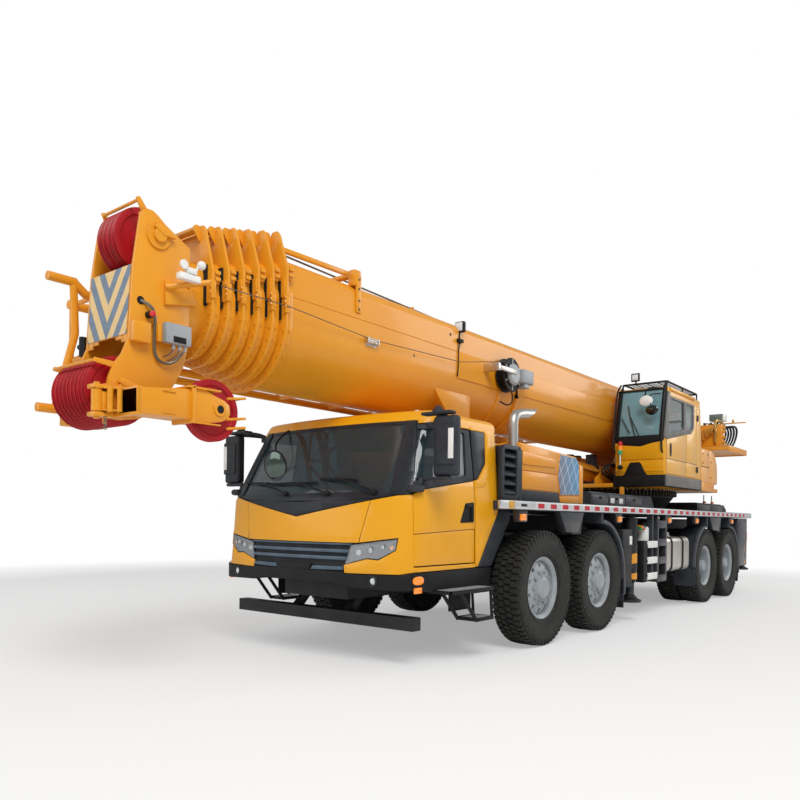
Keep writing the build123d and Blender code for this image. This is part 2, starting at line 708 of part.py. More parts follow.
OP_INNER = (
    (-4020.0, 1975.0),
    (-3972.0, 2640.0),
    (-4105.0, 3300.0),
    (-5660.0, 3300.0),
    (-5750.0, 2600.0),
    (-5700.0, 1975.0),
)
with BuildPart() as operator_cab:
    slab(OP_SIDE, OP_Y)
    slab(OP_INNER, (OP_Y[0] + OP_WALL, OP_Y[1] - OP_WALL), Mode.SUBTRACT)
    block(OP_DOOR_X, (1200, 1400), OP_DOOR_Z, Mode.SUBTRACT)
    block((-4200, -3850), (OP_Y[0] + 50, OP_Y[1] - 50), (2660, 3270), Mode.SUBTRACT)
    block((-5450, -4250), (500, 700), (2660, 3230), Mode.SUBTRACT)
    block((-5900, -5600), (700, 1260), (2750, 3200), Mode.SUBTRACT)
    block((-5200, -4300), (720, 1240), (3200, 3400), Mode.SUBTRACT)
    # Seat and console
    block((-5300, -4850), (800, 1180), (1975, 2330))
    slab(((-5300, 2300), (-5220, 2300), (-5350, 2950), (-5430, 2950)), (820, 1160))
    # Guard frame over the roof and its lamp
    for y in ((640, 665), (1295, 1320)):
        block((-5650, -4110), y, (3400, 3425))
        for station in (-5640, -4900, -4125):
            block((station - 12, station + 12), y, (3335, 3405))
    for station in range(-5640, -4100, 190):
        block((station - 8, station + 8), (650, 1310), (3402, 3420))
    block((-4170, -4110), (900, 1060), (3480, 3620))
    rod((-4140, 980, 3410), (-4140, 980, 3490), 15)
save(operator_cab, "operator_cab")

with BuildPart() as operator_glass:
    slab(((-3945, 2662), (-3937, 2662), (-4063, 3268), (-4071, 3268)), (OP_Y[0] + 53, OP_Y[1] - 53))
    block((-5448, -4252), (612, 620), (2662, 3228))
    block((-5198, -4302), (722, 1238), (3312, 3320))
save(operator_glass, "operator_glass")

gap = OP_DOOR_GAP
with BuildPart() as operator_door:
    block(
        (OP_DOOR_X[0] + gap, OP_DOOR_X[1] - gap),
        (OP_Y[1] - OP_WALL, OP_Y[1]),
        (OP_DOOR_Z[0] + gap, OP_DOOR_Z[1] - gap),
    )
    fillet(operator_door.edges().filter_by(Axis.Y), 60)
    slab(((-4400, 2680), (-4450, 3190), (-5430, 3190), (-5430, 2680)), (1200, 1400), Mode.SUBTRACT)
    block((-4500, -4440), (1355, 1378), (2380, 2560))
    for low, high in ((2150, 2250), (3000, 3100)):
        rod((OP_HINGE[0], OP_HINGE[1], low), (OP_HINGE[0], OP_HINGE[1], high), 10)
        block((OP_HINGE[0], OP_HINGE[0] + 35), (1340, OP_HINGE[1] + 10), (low, high))
save(operator_door, "operator_door")

# ---------------------------------------------------------------- boom

for number in range(1, SECTIONS):
    step = SECTION_STEP * (number - 1)
    half, top = BASE_HALF - step, BASE_TOP - step
    front = COLLAR_X[number - 1]
    rear = BOOM_REAR if number == 1 else -6500.0 + 70.0 * number
    peak = 3740.0 - 22.0 * (number - 1)
    with BuildPart() as section:
        boom_tube(front, rear, half, top)
        collar(front, half, top, peak)
        if number == 1:
            extrude(boom_face(rear, half, top, CORNER_R), amount=20)
            for y in both((488, 524)):
                pin(PIVOT[0], PIVOT[1], y, 150)
            pin(PIVOT[0], PIVOT[1], (-530, 530), 62, Mode.SUBTRACT)
            # Lugs of the luffing cylinder's rod, and its stub pins
            for y in both((125, 165)):
                slab(((-1000, 2520), (400, 2520), (-180, 2260), (-500, 2260)), y)
            for y in both((105, 165)):
                pin(LUFF_EYE[0], LUFF_EYE[1], y, 40)
            # Band round the belly over the lugs
            band = boom_face(-620, half + 14, top - 200, CORNER_R)
            extrude(band, amount=-60)
            extrude(boom_face(-620, half - BOOM_WALL, top - BOOM_WALL, CORNER_R), amount=-60, mode=Mode.SUBTRACT)
            # Cable reel, top handrail and rope guides
            pin(-700, 3070, (498, 560), 60)
            pin(-700, 3070, (560, 700), 200)
            rod((2860, 430, 3600), (2000, 430, 3600), 24)
            block((1960, 2040), (400, 470), (3500, 3640))
            for station in (1200, -700, -2600, -4500):
                block((station - 15, station + 15), (-160, 160), (3510, 3590))
    save(section, "boom_base" if number == 1 else "boom_section_" + str(number))

with BuildPart() as boom_head:
    step = SECTION_STEP * (SECTIONS - 1)
    half, top = BASE_HALF - step, BASE_TOP - step
    boom_tube(3665, -6500.0 + 70.0 * SECTIONS, half, top)
    for y in both(HEAD_PLATE_Y):
        slab(HEAD_SIDE, y)
    # Front plate between the side plates, and the pins of both sheave packs
    slab(((4095, 3145), (4120, 3145), (4150, 2600), (4125, 2600)), (-272, 272))
    slab(((3642, 3322), (3665, 3322), (3665, 2668), (3642, 2668)), (-272, 272))
    slab(((3700, 2560), (3900, 2500), (3900, 2530), (3700, 2600)), (-272, 272))
    pin(UPPER_SHEAVE[0], UPPER_SHEAVE[1], (-272, 272), SHEAVE_PIN_R)
    pin(LOWER_SHEAVE[0], LOWER_SHEAVE[1], (-272, 272), SHEAVE_PIN_R)
    pin(4040, 3640, (-230, 230), 14)
    for y in both((228, HEAD_PLATE_Y[1])):
        block((4030, 4050), y, (3480, 3650))
    # Lugs of the auxiliary sheave's arm
    for z in ((2000, 2030), (2190, 2220)):
        block((4240, 4455), (295, 395), z)
    rod((AUX_PIN[0], AUX_PIN[1], 2000), (AUX_PIN[0], AUX_PIN[1], 2220), 20)
save(boom_head, "boom_head")

# Sheave pack: middle of the pack, number of sheaves and spacing
SHEAVE_GROOVE = 22.0
for name, (station, height), count, pitch in (
    ("upper_sheaves", UPPER_SHEAVE, 4, 62.0),
    ("lower_sheaves", LOWER_SHEAVE, 9, 54.0),
):
    with BuildPart() as pack:
        for index in range(count):
            y = (index - (count - 1) / 2) * pitch
            rim_y = pitch / 2 - 3
            profile = (
                (SHEAVE_PIN_R + 1, y - pitch / 2),
                (SHEAVE_R - 60, y - pitch / 2),
                (SHEAVE_R, y - rim_y),
                (SHEAVE_R - SHEAVE_GROOVE, y - 4),
                (SHEAVE_R - SHEAVE_GROOVE, y + 4),
                (SHEAVE_R, y + rim_y),
                (SHEAVE_R - 60, y + pitch / 2),
                (SHEAVE_PIN_R + 1, y + pitch / 2),
            )
            plane = Plane(origin=(AXLE_1_X + station, 0, height), x_dir=(0, 0, 1), z_dir=(-1, 0, 0))
            with BuildSketch(plane) as groove:
                with BuildLine():
                    Polyline(*profile, close=True)
                make_face()
            revolve(groove.sketch, axis=Axis(plane.origin, (0, 1, 0)))
    save(pack, name)

with BuildPart() as aux_arm:
    rod((AUX_PIN[0], AUX_PIN[1], 2036), (AUX_PIN[0], AUX_PIN[1], 2184), 38)
    rod((AUX_PIN[0], AUX_PIN[1], 2030), (AUX_PIN[0], AUX_PIN[1], 2190), 22, Mode.SUBTRACT)
    slab(((4400, 2040), (4400, 2180), (4280, 2180), (4280, 2040)), (375, 395))
    block((4260, 4300), (375, 640), (2040, 2180))
    for y in ((440, 465), (635, 660)):
        slab(((4300, 2010), (4300, 2200), (3840, 2250), (3520, 2210), (3500, 2060), (3600, 2000)), y)
    pin(AUX_HUB[0], AUX_HUB[1], (440, 660), 40)
    pin(AUX_HUB[0], AUX_HUB[1], (505, 595), AUX_SHEAVE_R)
save(aux_arm, "aux_arm")

# Lattice jib, stowed along the right of the boom, with its root frame at the boom's head
JIB_Y = (-1010.0, -640.0)
JIB_Z = (2640.0, 3120.0)
JIB_X = (-3900.0, 3900.0)
JIB_END = JIB_X[1] + 30.0
BAYS = 10
with BuildPart() as folding_jib:
    for y in JIB_Y:
        for z in JIB_Z:
            rod((JIB_X[0], y, z), (JIB_END, y, z), 38)
    bay = (JIB_X[1] - JIB_X[0]) / BAYS
    for index in range(BAYS + 1):
        x = JIB_X[0] + index * bay
        for y in JIB_Y:
            rod((x, y, JIB_Z[0]), (x, y, JIB_Z[1]), 20)
            if index < BAYS:
                rod((x, y, JIB_Z[index % 2]), (x + bay, y, JIB_Z[1 - index % 2]), 20)
        for z in JIB_Z:
            rod((x, JIB_Y[0], z), (x, JIB_Y[1], z), 20)
    # Cradle brackets to the boom's side
    for station in (-2800, 400, 2600):
        block((station - 40, station + 40), (JIB_Y[1], -BASE_HALF), (3080, 3160))
save(folding_jib, "folding_jib")

with BuildPart() as jib_fork:
    for z, tip, lug in ((JIB_Z[1], 4290, 3200), (JIB_Z[0], 4360, 2160)):
        rod((JIB_END + 0.5, JIB_Y[1], z), (JIB_END + 55, JIB_Y[1], z), 36)
        rod((JIB_END + 45, JIB_Y[1], z), (4080, JIB_Y[1], lug), 36)
        rod((4060, JIB_Y[1], lug), (tip, JIB_Y[1], lug), 36)
    rod((4080, JIB_Y[1], 3200), (4060, JIB_Y[1], 2790), 30)
    rod((4060, JIB_Y[1], 2790), (4220, JIB_Y[1], 2160), 30)
save(jib_fork, "jib_fork")

# Luffing cylinder, modelled along its own line between the two pins
run_x, run_z = LUFF_EYE[0] - LUFF_BASE[0], LUFF_EYE[1] - LUFF_BASE[1]
LUFF_LENGTH = (run_x**2 + run_z**2) ** 0.5
line_x, line_z = run_x / LUFF_LENGTH, run_z / LUFF_LENGTH


def on_luff(distance):
    """Point on the luffing cylinder's line, at a distance from its lower pin."""
    return (LUFF_BASE[0] + line_x * distance, 0, LUFF_BASE[1] + line_z * distance)


with BuildPart() as luff_barrel:
    pin(LUFF_BASE[0], LUFF_BASE[1], (-140, 140), 110)
    rod(on_luff(60), on_luff(BARREL_LENGTH), BARREL_R)
    rod(on_luff(BARREL_LENGTH - 120), on_luff(BARREL_LENGTH), BARREL_R + 12)
    rod(on_luff(180), on_luff(BARREL_LENGTH + 10), ROD_R + 4, Mode.SUBTRACT)
    pin(LUFF_BASE[0], LUFF_BASE[1], (-150, 150), 50, Mode.SUBTRACT)
save(luff_barrel, "luff_barrel")

with BuildPart() as luff_rod:
    rod(on_luff(240), on_luff(LUFF_LENGTH - 70), ROD_R)
    pin(LUFF_EYE[0], LUFF_EYE[1], (-98, 98), 98)
    pin(LUFF_EYE[0], LUFF_EYE[1], (-100, 100), 44, Mode.SUBTRACT)
save(luff_rod, "luff_rod")
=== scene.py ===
"""Looks of a four-axle mobile crane: paint, glass, tyres, and the detail on its boom, cabs and deck."""

import math

import bpy
from mathutils import Matrix, Vector


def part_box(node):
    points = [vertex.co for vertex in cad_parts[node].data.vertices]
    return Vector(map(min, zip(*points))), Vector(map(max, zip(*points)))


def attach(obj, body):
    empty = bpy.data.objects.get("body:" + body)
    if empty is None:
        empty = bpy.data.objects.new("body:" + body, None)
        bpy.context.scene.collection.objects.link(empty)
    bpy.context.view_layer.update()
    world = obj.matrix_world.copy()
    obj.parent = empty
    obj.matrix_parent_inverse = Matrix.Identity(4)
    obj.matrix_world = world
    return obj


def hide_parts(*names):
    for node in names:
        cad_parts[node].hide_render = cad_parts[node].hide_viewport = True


bl_info = {
    "name": "Mobile crane", "version": (1, 0, 0), "blender": (4, 5, 0),
    "location": "View3D > Sidebar > Crane", "description": "Dresses the solids of a mobile crane",
    "category": "Object"
}

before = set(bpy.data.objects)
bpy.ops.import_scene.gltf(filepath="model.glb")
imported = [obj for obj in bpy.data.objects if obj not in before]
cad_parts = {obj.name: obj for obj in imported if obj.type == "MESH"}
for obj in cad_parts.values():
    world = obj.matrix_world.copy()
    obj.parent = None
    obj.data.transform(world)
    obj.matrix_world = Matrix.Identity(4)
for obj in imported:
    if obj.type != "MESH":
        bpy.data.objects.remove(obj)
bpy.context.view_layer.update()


# ---------------------------------------------------------------- places read from the solids


def middle(node):
    """Middle of a solid's box."""
    low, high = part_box(node)
    return (low + high) / 2


AXLE_1 = middle("tyre_1_left").x  # stations are counted from here, positive forwards
TYRE_R = middle("tyre_1_left").z
WHEEL_Y = middle("tyre_1_left").y
AXLE_X = [middle("tyre_%d_left" % n).x - AXLE_1 for n in (1, 2, 3, 4)]
SLEW = middle("slew_ring")


# ---------------------------------------------------------------- modelling tools


def at(station, y, z):
    """Point from a station, a width and a height."""
    return Vector((AXLE_1 + station, y, z))


def primitive(kind, **settings):
    """Add a primitive with nothing else selected."""
    bpy.ops.object.select_all(action="DESELECT")
    getattr(bpy.ops.mesh, "primitive_" + kind + "_add")(**settings)
    return bpy.context.object


def set_place(piece):
    """Put an object's place, turn and scale into its mesh."""
    bpy.ops.object.select_all(action="DESELECT")
    piece.select_set(True)
    bpy.context.view_layer.objects.active = piece
    bpy.ops.object.transform_apply(location=True, rotation=True, scale=True)
    return piece


def edit(piece, *steps):
    """Run edit-mode operators, each a name and its settings, on the whole piece."""
    bpy.ops.object.select_all(action="DESELECT")
    piece.select_set(True)
    bpy.context.view_layer.objects.active = piece
    bpy.ops.object.mode_set(mode="EDIT")
    for name, settings in steps:
        if name != "extrude_region_move":
            bpy.ops.mesh.select_all(action="SELECT")
        getattr(bpy.ops.mesh, name)(**settings)
    bpy.ops.object.mode_set(mode="OBJECT")
    return piece


def bevel_step(width, segments=2):
    """Edit step that rounds every edge."""
    return ("bevel", {"offset": width, "segments": segments, "affect": "EDGES", "clamp_overlap": True})


MEND = (("remove_doubles", {"threshold": 1e-5}), ("normals_make_consistent", {"inside": False}))


def block(x, y, z, bevel=0.004, segments=2):
    """Block between two stations, two widths and two heights, with its edges broken."""
    low, high = at(min(x), min(y), min(z)), at(max(x), max(y), max(z))
    piece = primitive("cube", size=1, location=(low + high) / 2)
    piece.scale = high - low
    set_place(piece)
    if bevel:
        edit(piece, bevel_step(bevel, segments))
    return piece


def drawn(outline, axis, low, high, bevel=0.0, segments=2):
    """Outline on the plane across an axis, drawn out from low to high along it."""
    low, high = min(low, high), max(low, high)
    piece = primitive("circle", vertices=len(outline), fill_type="NGON")
    for vertex, (a, b) in zip(piece.data.vertices, outline):
        spot = {"x": (low, a, b), "y": (a, low, b), "z": (a, b, low)}[axis]
        vertex.co = at(*spot)
    way = {"x": (high - low, 0, 0), "y": (0, high - low, 0), "z": (0, 0, high - low)}[axis]
    steps = [
        ("select_all", {"action": "SELECT"}),
        ("extrude_region_move", {"TRANSFORM_OT_translate": {"value": way}}), MEND[1]
    ]
    if bevel:
        steps.append(bevel_step(bevel, segments))
    return edit(piece, *steps)


def spun(profile, centre, axis, steps=64):
    """Closed profile of (radius, along) spun about an axis through a centre."""
    piece = primitive("circle", vertices=len(profile), fill_type="NOTHING")
    out = {"x": (0, 0, 1), "y": (0, 0, 1), "z": (1, 0, 0)}[axis]
    run = {"x": (1, 0, 0), "y": (0, 1, 0), "z": (0, 0, 1)}[axis]
    for vertex, (radius, along) in zip(piece.data.vertices, profile):
        vertex.co = Vector(centre) + Vector(out) * radius + Vector(run) * along
    turn = {"steps": steps, "angle": 2 * math.pi, "center": tuple(centre), "axis": run}
    return edit(piece, ("spin", turn), *MEND[:1], ("delete_loose", {}), MEND[1])


def pin(x, z, y, radius, sides=32, bevel=0.003):
    """Round bar across the machine, between two widths."""
    low, high = min(y), max(y)
    b = min(bevel, (high - low) / 3)
    profile = (
        (0, low), (radius - b, low), (radius, low + b), (radius, high - b), (radius - b, high), (0, high)
    )
    return spun(profile, at(x, 0, z), "y", sides)


def pipe(points, radius, sides=12, smooth=True):
    """Round pipe through points of station, width and height."""
    curve = bpy.data.curves.new("pipe", "CURVE")
    curve.dimensions = "3D"
    curve.bevel_depth = radius
    curve.bevel_resolution = max(0, sides // 4 - 1)
    curve.use_fill_caps = True
    curve.resolution_u = 6
    line = curve.splines.new("NURBS" if smooth and len(points) > 2 else "POLY")
    line.points.add(len(points) - 1)
    for spot, point in zip(points, line.points):
        point.co = (*at(*spot), 1)
    if smooth and len(points) > 2:
        line.order_u = 3
        line.use_endpoint_u = True
    piece = bpy.data.objects.new("pipe", curve)
    bpy.context.collection.objects.link(piece)
    bpy.ops.object.select_all(action="DESELECT")
    piece.select_set(True)
    bpy.context.view_layer.objects.active = piece
    bpy.ops.object.convert(target="MESH")
    return bpy.context.object


def copies(piece, moves):
    """The piece and a copy of it, each with its own mesh, at each move."""
    made = []
    for move in moves:
        twin = piece.copy()
        twin.data = piece.data.copy()
        shift = move if isinstance(move, Matrix) else Matrix.Translation(Vector(move))
        twin.data.transform(shift)
        bpy.context.collection.objects.link(twin)
        made.append(twin)
    bpy.data.objects.remove(piece)
    return made


def round_axis(centre, axis, count, start=0.0):
    """Turns that set a shape out evenly round an axis."""
    there, back = Matrix.Translation(Vector(centre)), Matrix.Translation(-Vector(centre))
    turns = []
    for index in range(count):
        turns.append(there @ Matrix.Rotation(start + index * 2 * math.pi / count, 4, axis.upper()) @ back)
    return turns


def mirrored(pieces):
    """The pieces and their mirror images across the machine's middle."""
    out = list(pieces)
    for piece in pieces:
        twin = piece.copy()
        twin.data = piece.data.copy()
        twin.data.transform(Matrix.Diagonal((1, -1, 1, 1)))
        twin.data.flip_normals()
        bpy.context.collection.objects.link(twin)
        out.append(twin)
    return out


def flat(value):
    """All the pieces in a nest of lists."""
    if isinstance(value, bpy.types.Object):
        return [value]
    return [piece for part in value for piece in flat(part)]


def coat(pieces, finish):
    """Give pieces the material of a finish, by its name."""
    pieces = flat(pieces)
    for piece in pieces:
        piece.data.materials.clear()
        piece.data.materials.append(FINISH[finish])
    return pieces


def assemble(name, body, pieces, replaces=(), angle=32):
    """Join pieces into one, shade it, and set it on a body."""
    pieces = flat(pieces)
    bpy.ops.object.select_all(action="DESELECT")
    for piece in pieces:
        piece.select_set(True)
    bpy.context.view_layer.objects.active = pieces[0]
    if len(pieces) > 1:
        bpy.ops.object.join()
    whole = bpy.context.view_layer.objects.active
    bpy.ops.object.shade_smooth_by_angle(angle=math.radians(angle))
    whole.name = name
    whole.data.name = name
    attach(whole, body)
    if replaces:
        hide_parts(*replaces)
    return whole


# ---------------------------------------------------------------- materials


def linear(code):
    """Linear colour from an sRGB hex code."""
    parts = [int(code[i : i + 2], 16) / 255 for i in (1, 3, 5)]
    return [c / 12.92 if c <= 0.04045 else ((c + 0.055) / 1.055) ** 2.4 for c in parts] + [1.0]


def add_node(tree, kind, inputs=None, **settings):
    """Add a node with its settings, and its inputs as values or links."""
    made = tree.nodes.new(kind)
    for key, value in settings.items():
        setattr(made, key, value)
    for key, value in (inputs or {}).items():
        if isinstance(value, bpy.types.NodeSocket):
            tree.links.new(value, made.inputs[key])
        else:
            made.inputs[key].default_value = value
    return made


def new_material(name, **shader):
    """Material with one Principled shader on its output, set by socket name."""
    made = bpy.data.materials.new(name)
    made.use_nodes = True
    body = made.node_tree.nodes["Principled BSDF"]
    for key, value in shader.items():
        body.inputs[key.replace("_", " ")].default_value = value
    return made, made.node_tree, body


def mottled(tree, low, high, size_mm, detail=3.0, position=(0.35, 0.65)):
    """Colour that wanders between two tones over patches of a real size."""
    place = add_node(tree, "ShaderNodeTexCoord").outputs["Object"]
    noise = add_node(
        tree, "ShaderNodeTexNoise", {"Vector": place, "Scale": 1000 / size_mm, "Detail": detail}
    )
    ramp = add_node(tree, "ShaderNodeValToRGB", {"Fac": noise.outputs["Fac"]})
    ramp.color_ramp.elements[0].position, ramp.color_ramp.elements[1].position = position
    ramp.color_ramp.elements[0].color, ramp.color_ramp.elements[1].color = linear(low), linear(high)
    return ramp.outputs["Color"], noise.outputs["Fac"], place


def roughen(tree, body, place, size_mm, depth_mm, low, high):
    """Bump and roughness from one fine grain of a real size."""
    grain = add_node(tree, "ShaderNodeTexNoise", {"Vector": place, "Scale": 1000 / size_mm, "Detail": 2.0})
    bump = add_node(
        tree, "ShaderNodeBump",
        {"Height": grain.outputs["Fac"], "Distance": depth_mm / 1000, "Strength": 0.35}
    )
    tree.links.new(bump.outputs["Normal"], body.inputs["Normal"])
    span = add_node(
        tree, "ShaderNodeMapRange", {"Value": grain.outputs["Fac"], "To Min": low, "To Max": high}
    )
    tree.links.new(span.outputs["Result"], body.inputs["Roughness"])


def gloss_paint(name, low, high):
    """Two-pack polyurethane enamel, sprayed: an even colour under a glossy coat with faint orange peel."""
    made, tree, body = new_material(name, Coat_Weight=0.22, Coat_Roughness=0.08, IOR=1.42)
    colour, _, place = mottled(tree, low, high, 900)
    tree.links.new(colour, body.inputs["Base Color"])
    roughen(tree, body, place, 9, 0.25, 0.3, 0.42)
    return made


def satin_paint(name, low, high, size_mm=220, rough=(0.42, 0.6)):
    """Semi-gloss alkyd paint on steel: slightly uneven in tone where dust lies on it."""
    made, tree, body = new_material(name, IOR=1.4)
    colour, _, place = mottled(tree, low, high, size_mm, 5.0)
    tree.links.new(colour, body.inputs["Base Color"])
    roughen(tree, body, place, 6, 0.3, *rough)
    return made


def moulded(name, low, high, rough=(0.5, 0.65)):
    """Moulded ABS or polypropylene with a fine leathery grain."""
    made, tree, body = new_material(name, IOR=1.35)
    colour, _, place = mottled(tree, low, high, 150)
    tree.links.new(colour, body.inputs["Base Color"])
    roughen(tree, body, place, 4, 0.5, *rough)
    return made


def metal(name, low, high, rough, brush=(1, 1, 12)):
    """Bare or plated metal: brushed along one axis, so highlights are drawn out across it."""
    made, tree, body = new_material(name, Metallic=1.0)
    colour, _, place = mottled(tree, low, high, 300)
    tree.links.new(colour, body.inputs["Base Color"])
    along = add_node(tree, "ShaderNodeMapping", {"Vector": place, "Scale": brush})
    roughen(tree, body, along.outputs["Vector"], 14, 0.15, rough - 0.06, rough + 0.08)
    return made


def tinted_glass(name, code, alpha=0.45):
    """Toughened glass with a body tint: clear enough to show the seats, with sharp reflections."""
    made, tree, body = new_material(name, Roughness=0.04, IOR=1.5, Alpha=alpha, Coat_Weight=0.3)
    colour, _, _ = mottled(tree, code, code, 600)
    tree.links.new(colour, body.inputs["Base Color"])
    return made


def lens(name, code, glow=0.0):
    """Clear or coloured polycarbonate lens, ribbed behind."""
    made, tree, body = new_material(name, Roughness=0.12, IOR=1.58, Coat_Weight=0.6)
    place = add_node(tree, "ShaderNodeTexCoord").outputs["Object"]
    ribs = add_node(tree, "ShaderNodeTexWave", {"Vector": place, "Scale": 1000 / 30}, bands_direction="Y")
    bump = add_node(
        tree, "ShaderNodeBump", {"Height": ribs.outputs["Fac"], "Distance": 0.002, "Strength": 0.4}
    )
    tree.links.new(bump.outputs["Normal"], body.inputs["Normal"])
    body.inputs["Base Color"].default_value = linear(code)
    if glow:
        body.inputs["Emission Color"].default_value = linear(code)
        body.inputs["Emission Strength"].default_value = glow
    return made


def rubber(name):
    """Vulcanised carbon-black rubber, moulded: dull, with patches of grey dust."""
    made, tree, body = new_material(name, IOR=1.52)
    colour, _, place = mottled(tree, "#191918", "#282723", 90, 5.0)
    tree.links.new(colour, body.inputs["Base Color"])
    roughen(tree, body, place, 5, 0.6, 0.72, 0.9)
    return made


def checker_plate(name, low, high):
    """Rolled tread plate: raised lozenges about 40 mm apart, drawn by two crossed waves."""
    made, tree, body = new_material(name, IOR=1.5)
    colour, _, place = mottled(tree, low, high, 260, 4.0)
    tree.links.new(colour, body.inputs["Base Color"])
    heights = []
    for angle in (45, -45):
        turned = add_node(
            tree, "ShaderNodeMapping", {"Vector": place, "Rotation": (0, 0, math.radians(angle))}
        )
        wave = add_node(
            tree, "ShaderNodeTexWave", {"Vector": turned.outputs["Vector"], "Scale": 1000 / 40 / 2}
        )
        heights.append(wave.outputs["Fac"])
    mixed = add_node(tree, "ShaderNodeMath", {0: heights[0], 1: heights[1]}, operation="MAXIMUM")
    sharp = add_node(
        tree, "ShaderNodeMapRange", {"Value": mixed.outputs[0], "From Min": 0.8, "From Max": 1.0}
    )
    bump = add_node(
        tree, "ShaderNodeBump", {"Height": sharp.outputs[0], "Distance": 0.0025, "Strength": 0.5}
    )
    tree.links.new(bump.outputs["Normal"], body.inputs["Normal"])
    body.inputs["Roughness"].default_value = 0.5
    return made


def grille_mesh(name):
    """Moulded polypropylene mesh: open cells about 14 mm across, drawn near black between thin walls, a
    painted shade in the openings.
    """
    made, tree, body = new_material(name, Roughness=0.55, IOR=1.46)
    place = add_node(tree, "ShaderNodeTexCoord").outputs["Object"]
    cells = add_node(
        tree, "ShaderNodeTexVoronoi", {"Vector": place, "Scale": 1000 / 14, "Randomness": 0.0},
        feature="DISTANCE_TO_EDGE"
    )
    ramp = add_node(tree, "ShaderNodeValToRGB", {"Fac": cells.outputs["Distance"]})
    ramp.color_ramp.elements[0].position, ramp.color_ramp.elements[1].position = 0.1, 0.22
    # Grey walls, near-black cells: the cells' dark is painted shade in the openings
    ramp.color_ramp.elements[0].color, ramp.color_ramp.elements[1].color = linear("#3A3D41"), linear(
        "#070808"
    )
    tree.links.new(ramp.outputs["Color"], body.inputs["Base Color"])
    return made


def banded(name, first, second, pitch_mm, slope):
    """Retroreflective sheet printed in two colours, in straight bands of a real pitch."""
    made, tree, body = new_material(name, Roughness=0.4, IOR=1.5)
    place = add_node(tree, "ShaderNodeTexCoord").outputs["Object"]
    along = add_node(tree, "ShaderNodeVectorMath", {0: place, 1: slope}, operation="DOT_PRODUCT")
    share = add_node(
        tree, "ShaderNodeMath", {0: along.outputs["Value"], 1: 1000 / pitch_mm}, operation="MULTIPLY"
    )
    turn = add_node(tree, "ShaderNodeMath", {0: share.outputs[0]}, operation="FRACT")
    ramp = add_node(tree, "ShaderNodeValToRGB", {"Fac": turn.outputs[0]})
    ramp.color_ramp.interpolation = "CONSTANT"
    ramp.color_ramp.elements[1].position = 0.5
    ramp.color_ramp.elements[0].color, ramp.color_ramp.elements[1].color = linear(first), linear(second)
    tree.links.new(ramp.outputs["Color"], body.inputs["Base Color"])
    return made


def hood_film(name):
    """Cast vinyl film: slate running to blue along the hood, crossed by fine pale slanting lines."""
    made, tree, body = new_material(name, Roughness=0.3, IOR=1.5, Coat_Weight=0.4)
    place = add_node(tree, "ShaderNodeTexCoord").outputs["Object"]
    parts = add_node(tree, "ShaderNodeSeparateXYZ", {"Vector": place})
    start, end = AXLE_1 - 0.8, AXLE_1 - 1.33
    fade = add_node(
        tree, "ShaderNodeMapRange", {"Value": parts.outputs["X"], "From Min": start, "From Max": end}
    )
    ramp = add_node(tree, "ShaderNodeValToRGB", {"Fac": fade.outputs["Result"]})
    ramp.color_ramp.elements[0].color, ramp.color_ramp.elements[1].color = linear("#74788C"), linear(
        "#4F96C2"
    )
    colour = ramp.outputs["Color"]
    for slope, pitch in (((1, 0, 0.9), 0.15), ((1, 0, -0.55), 0.19)):
        along = add_node(tree, "ShaderNodeVectorMath", {0: place, 1: slope}, operation="DOT_PRODUCT")
        share = add_node(
            tree, "ShaderNodeMath", {0: along.outputs["Value"], 1: 1 / pitch}, operation="MULTIPLY"
        )
        turn = add_node(tree, "ShaderNodeMath", {0: share.outputs[0]}, operation="FRACT")
        line = add_node(tree, "ShaderNodeMath", {0: turn.outputs[0], 1: 0.06}, operation="LESS_THAN")
        mix = add_node(tree, "ShaderNodeMix", data_type="RGBA")
        tree.links.new(line.outputs[0], mix.inputs["Factor"])
        tree.links.new(colour, mix.inputs["A"])
        mix.inputs["B"].default_value = linear("#D3DEE6")
        colour = mix.outputs["Result"]
    tree.links.new(colour, body.inputs["Base Color"])
    return made


FINISH = {}
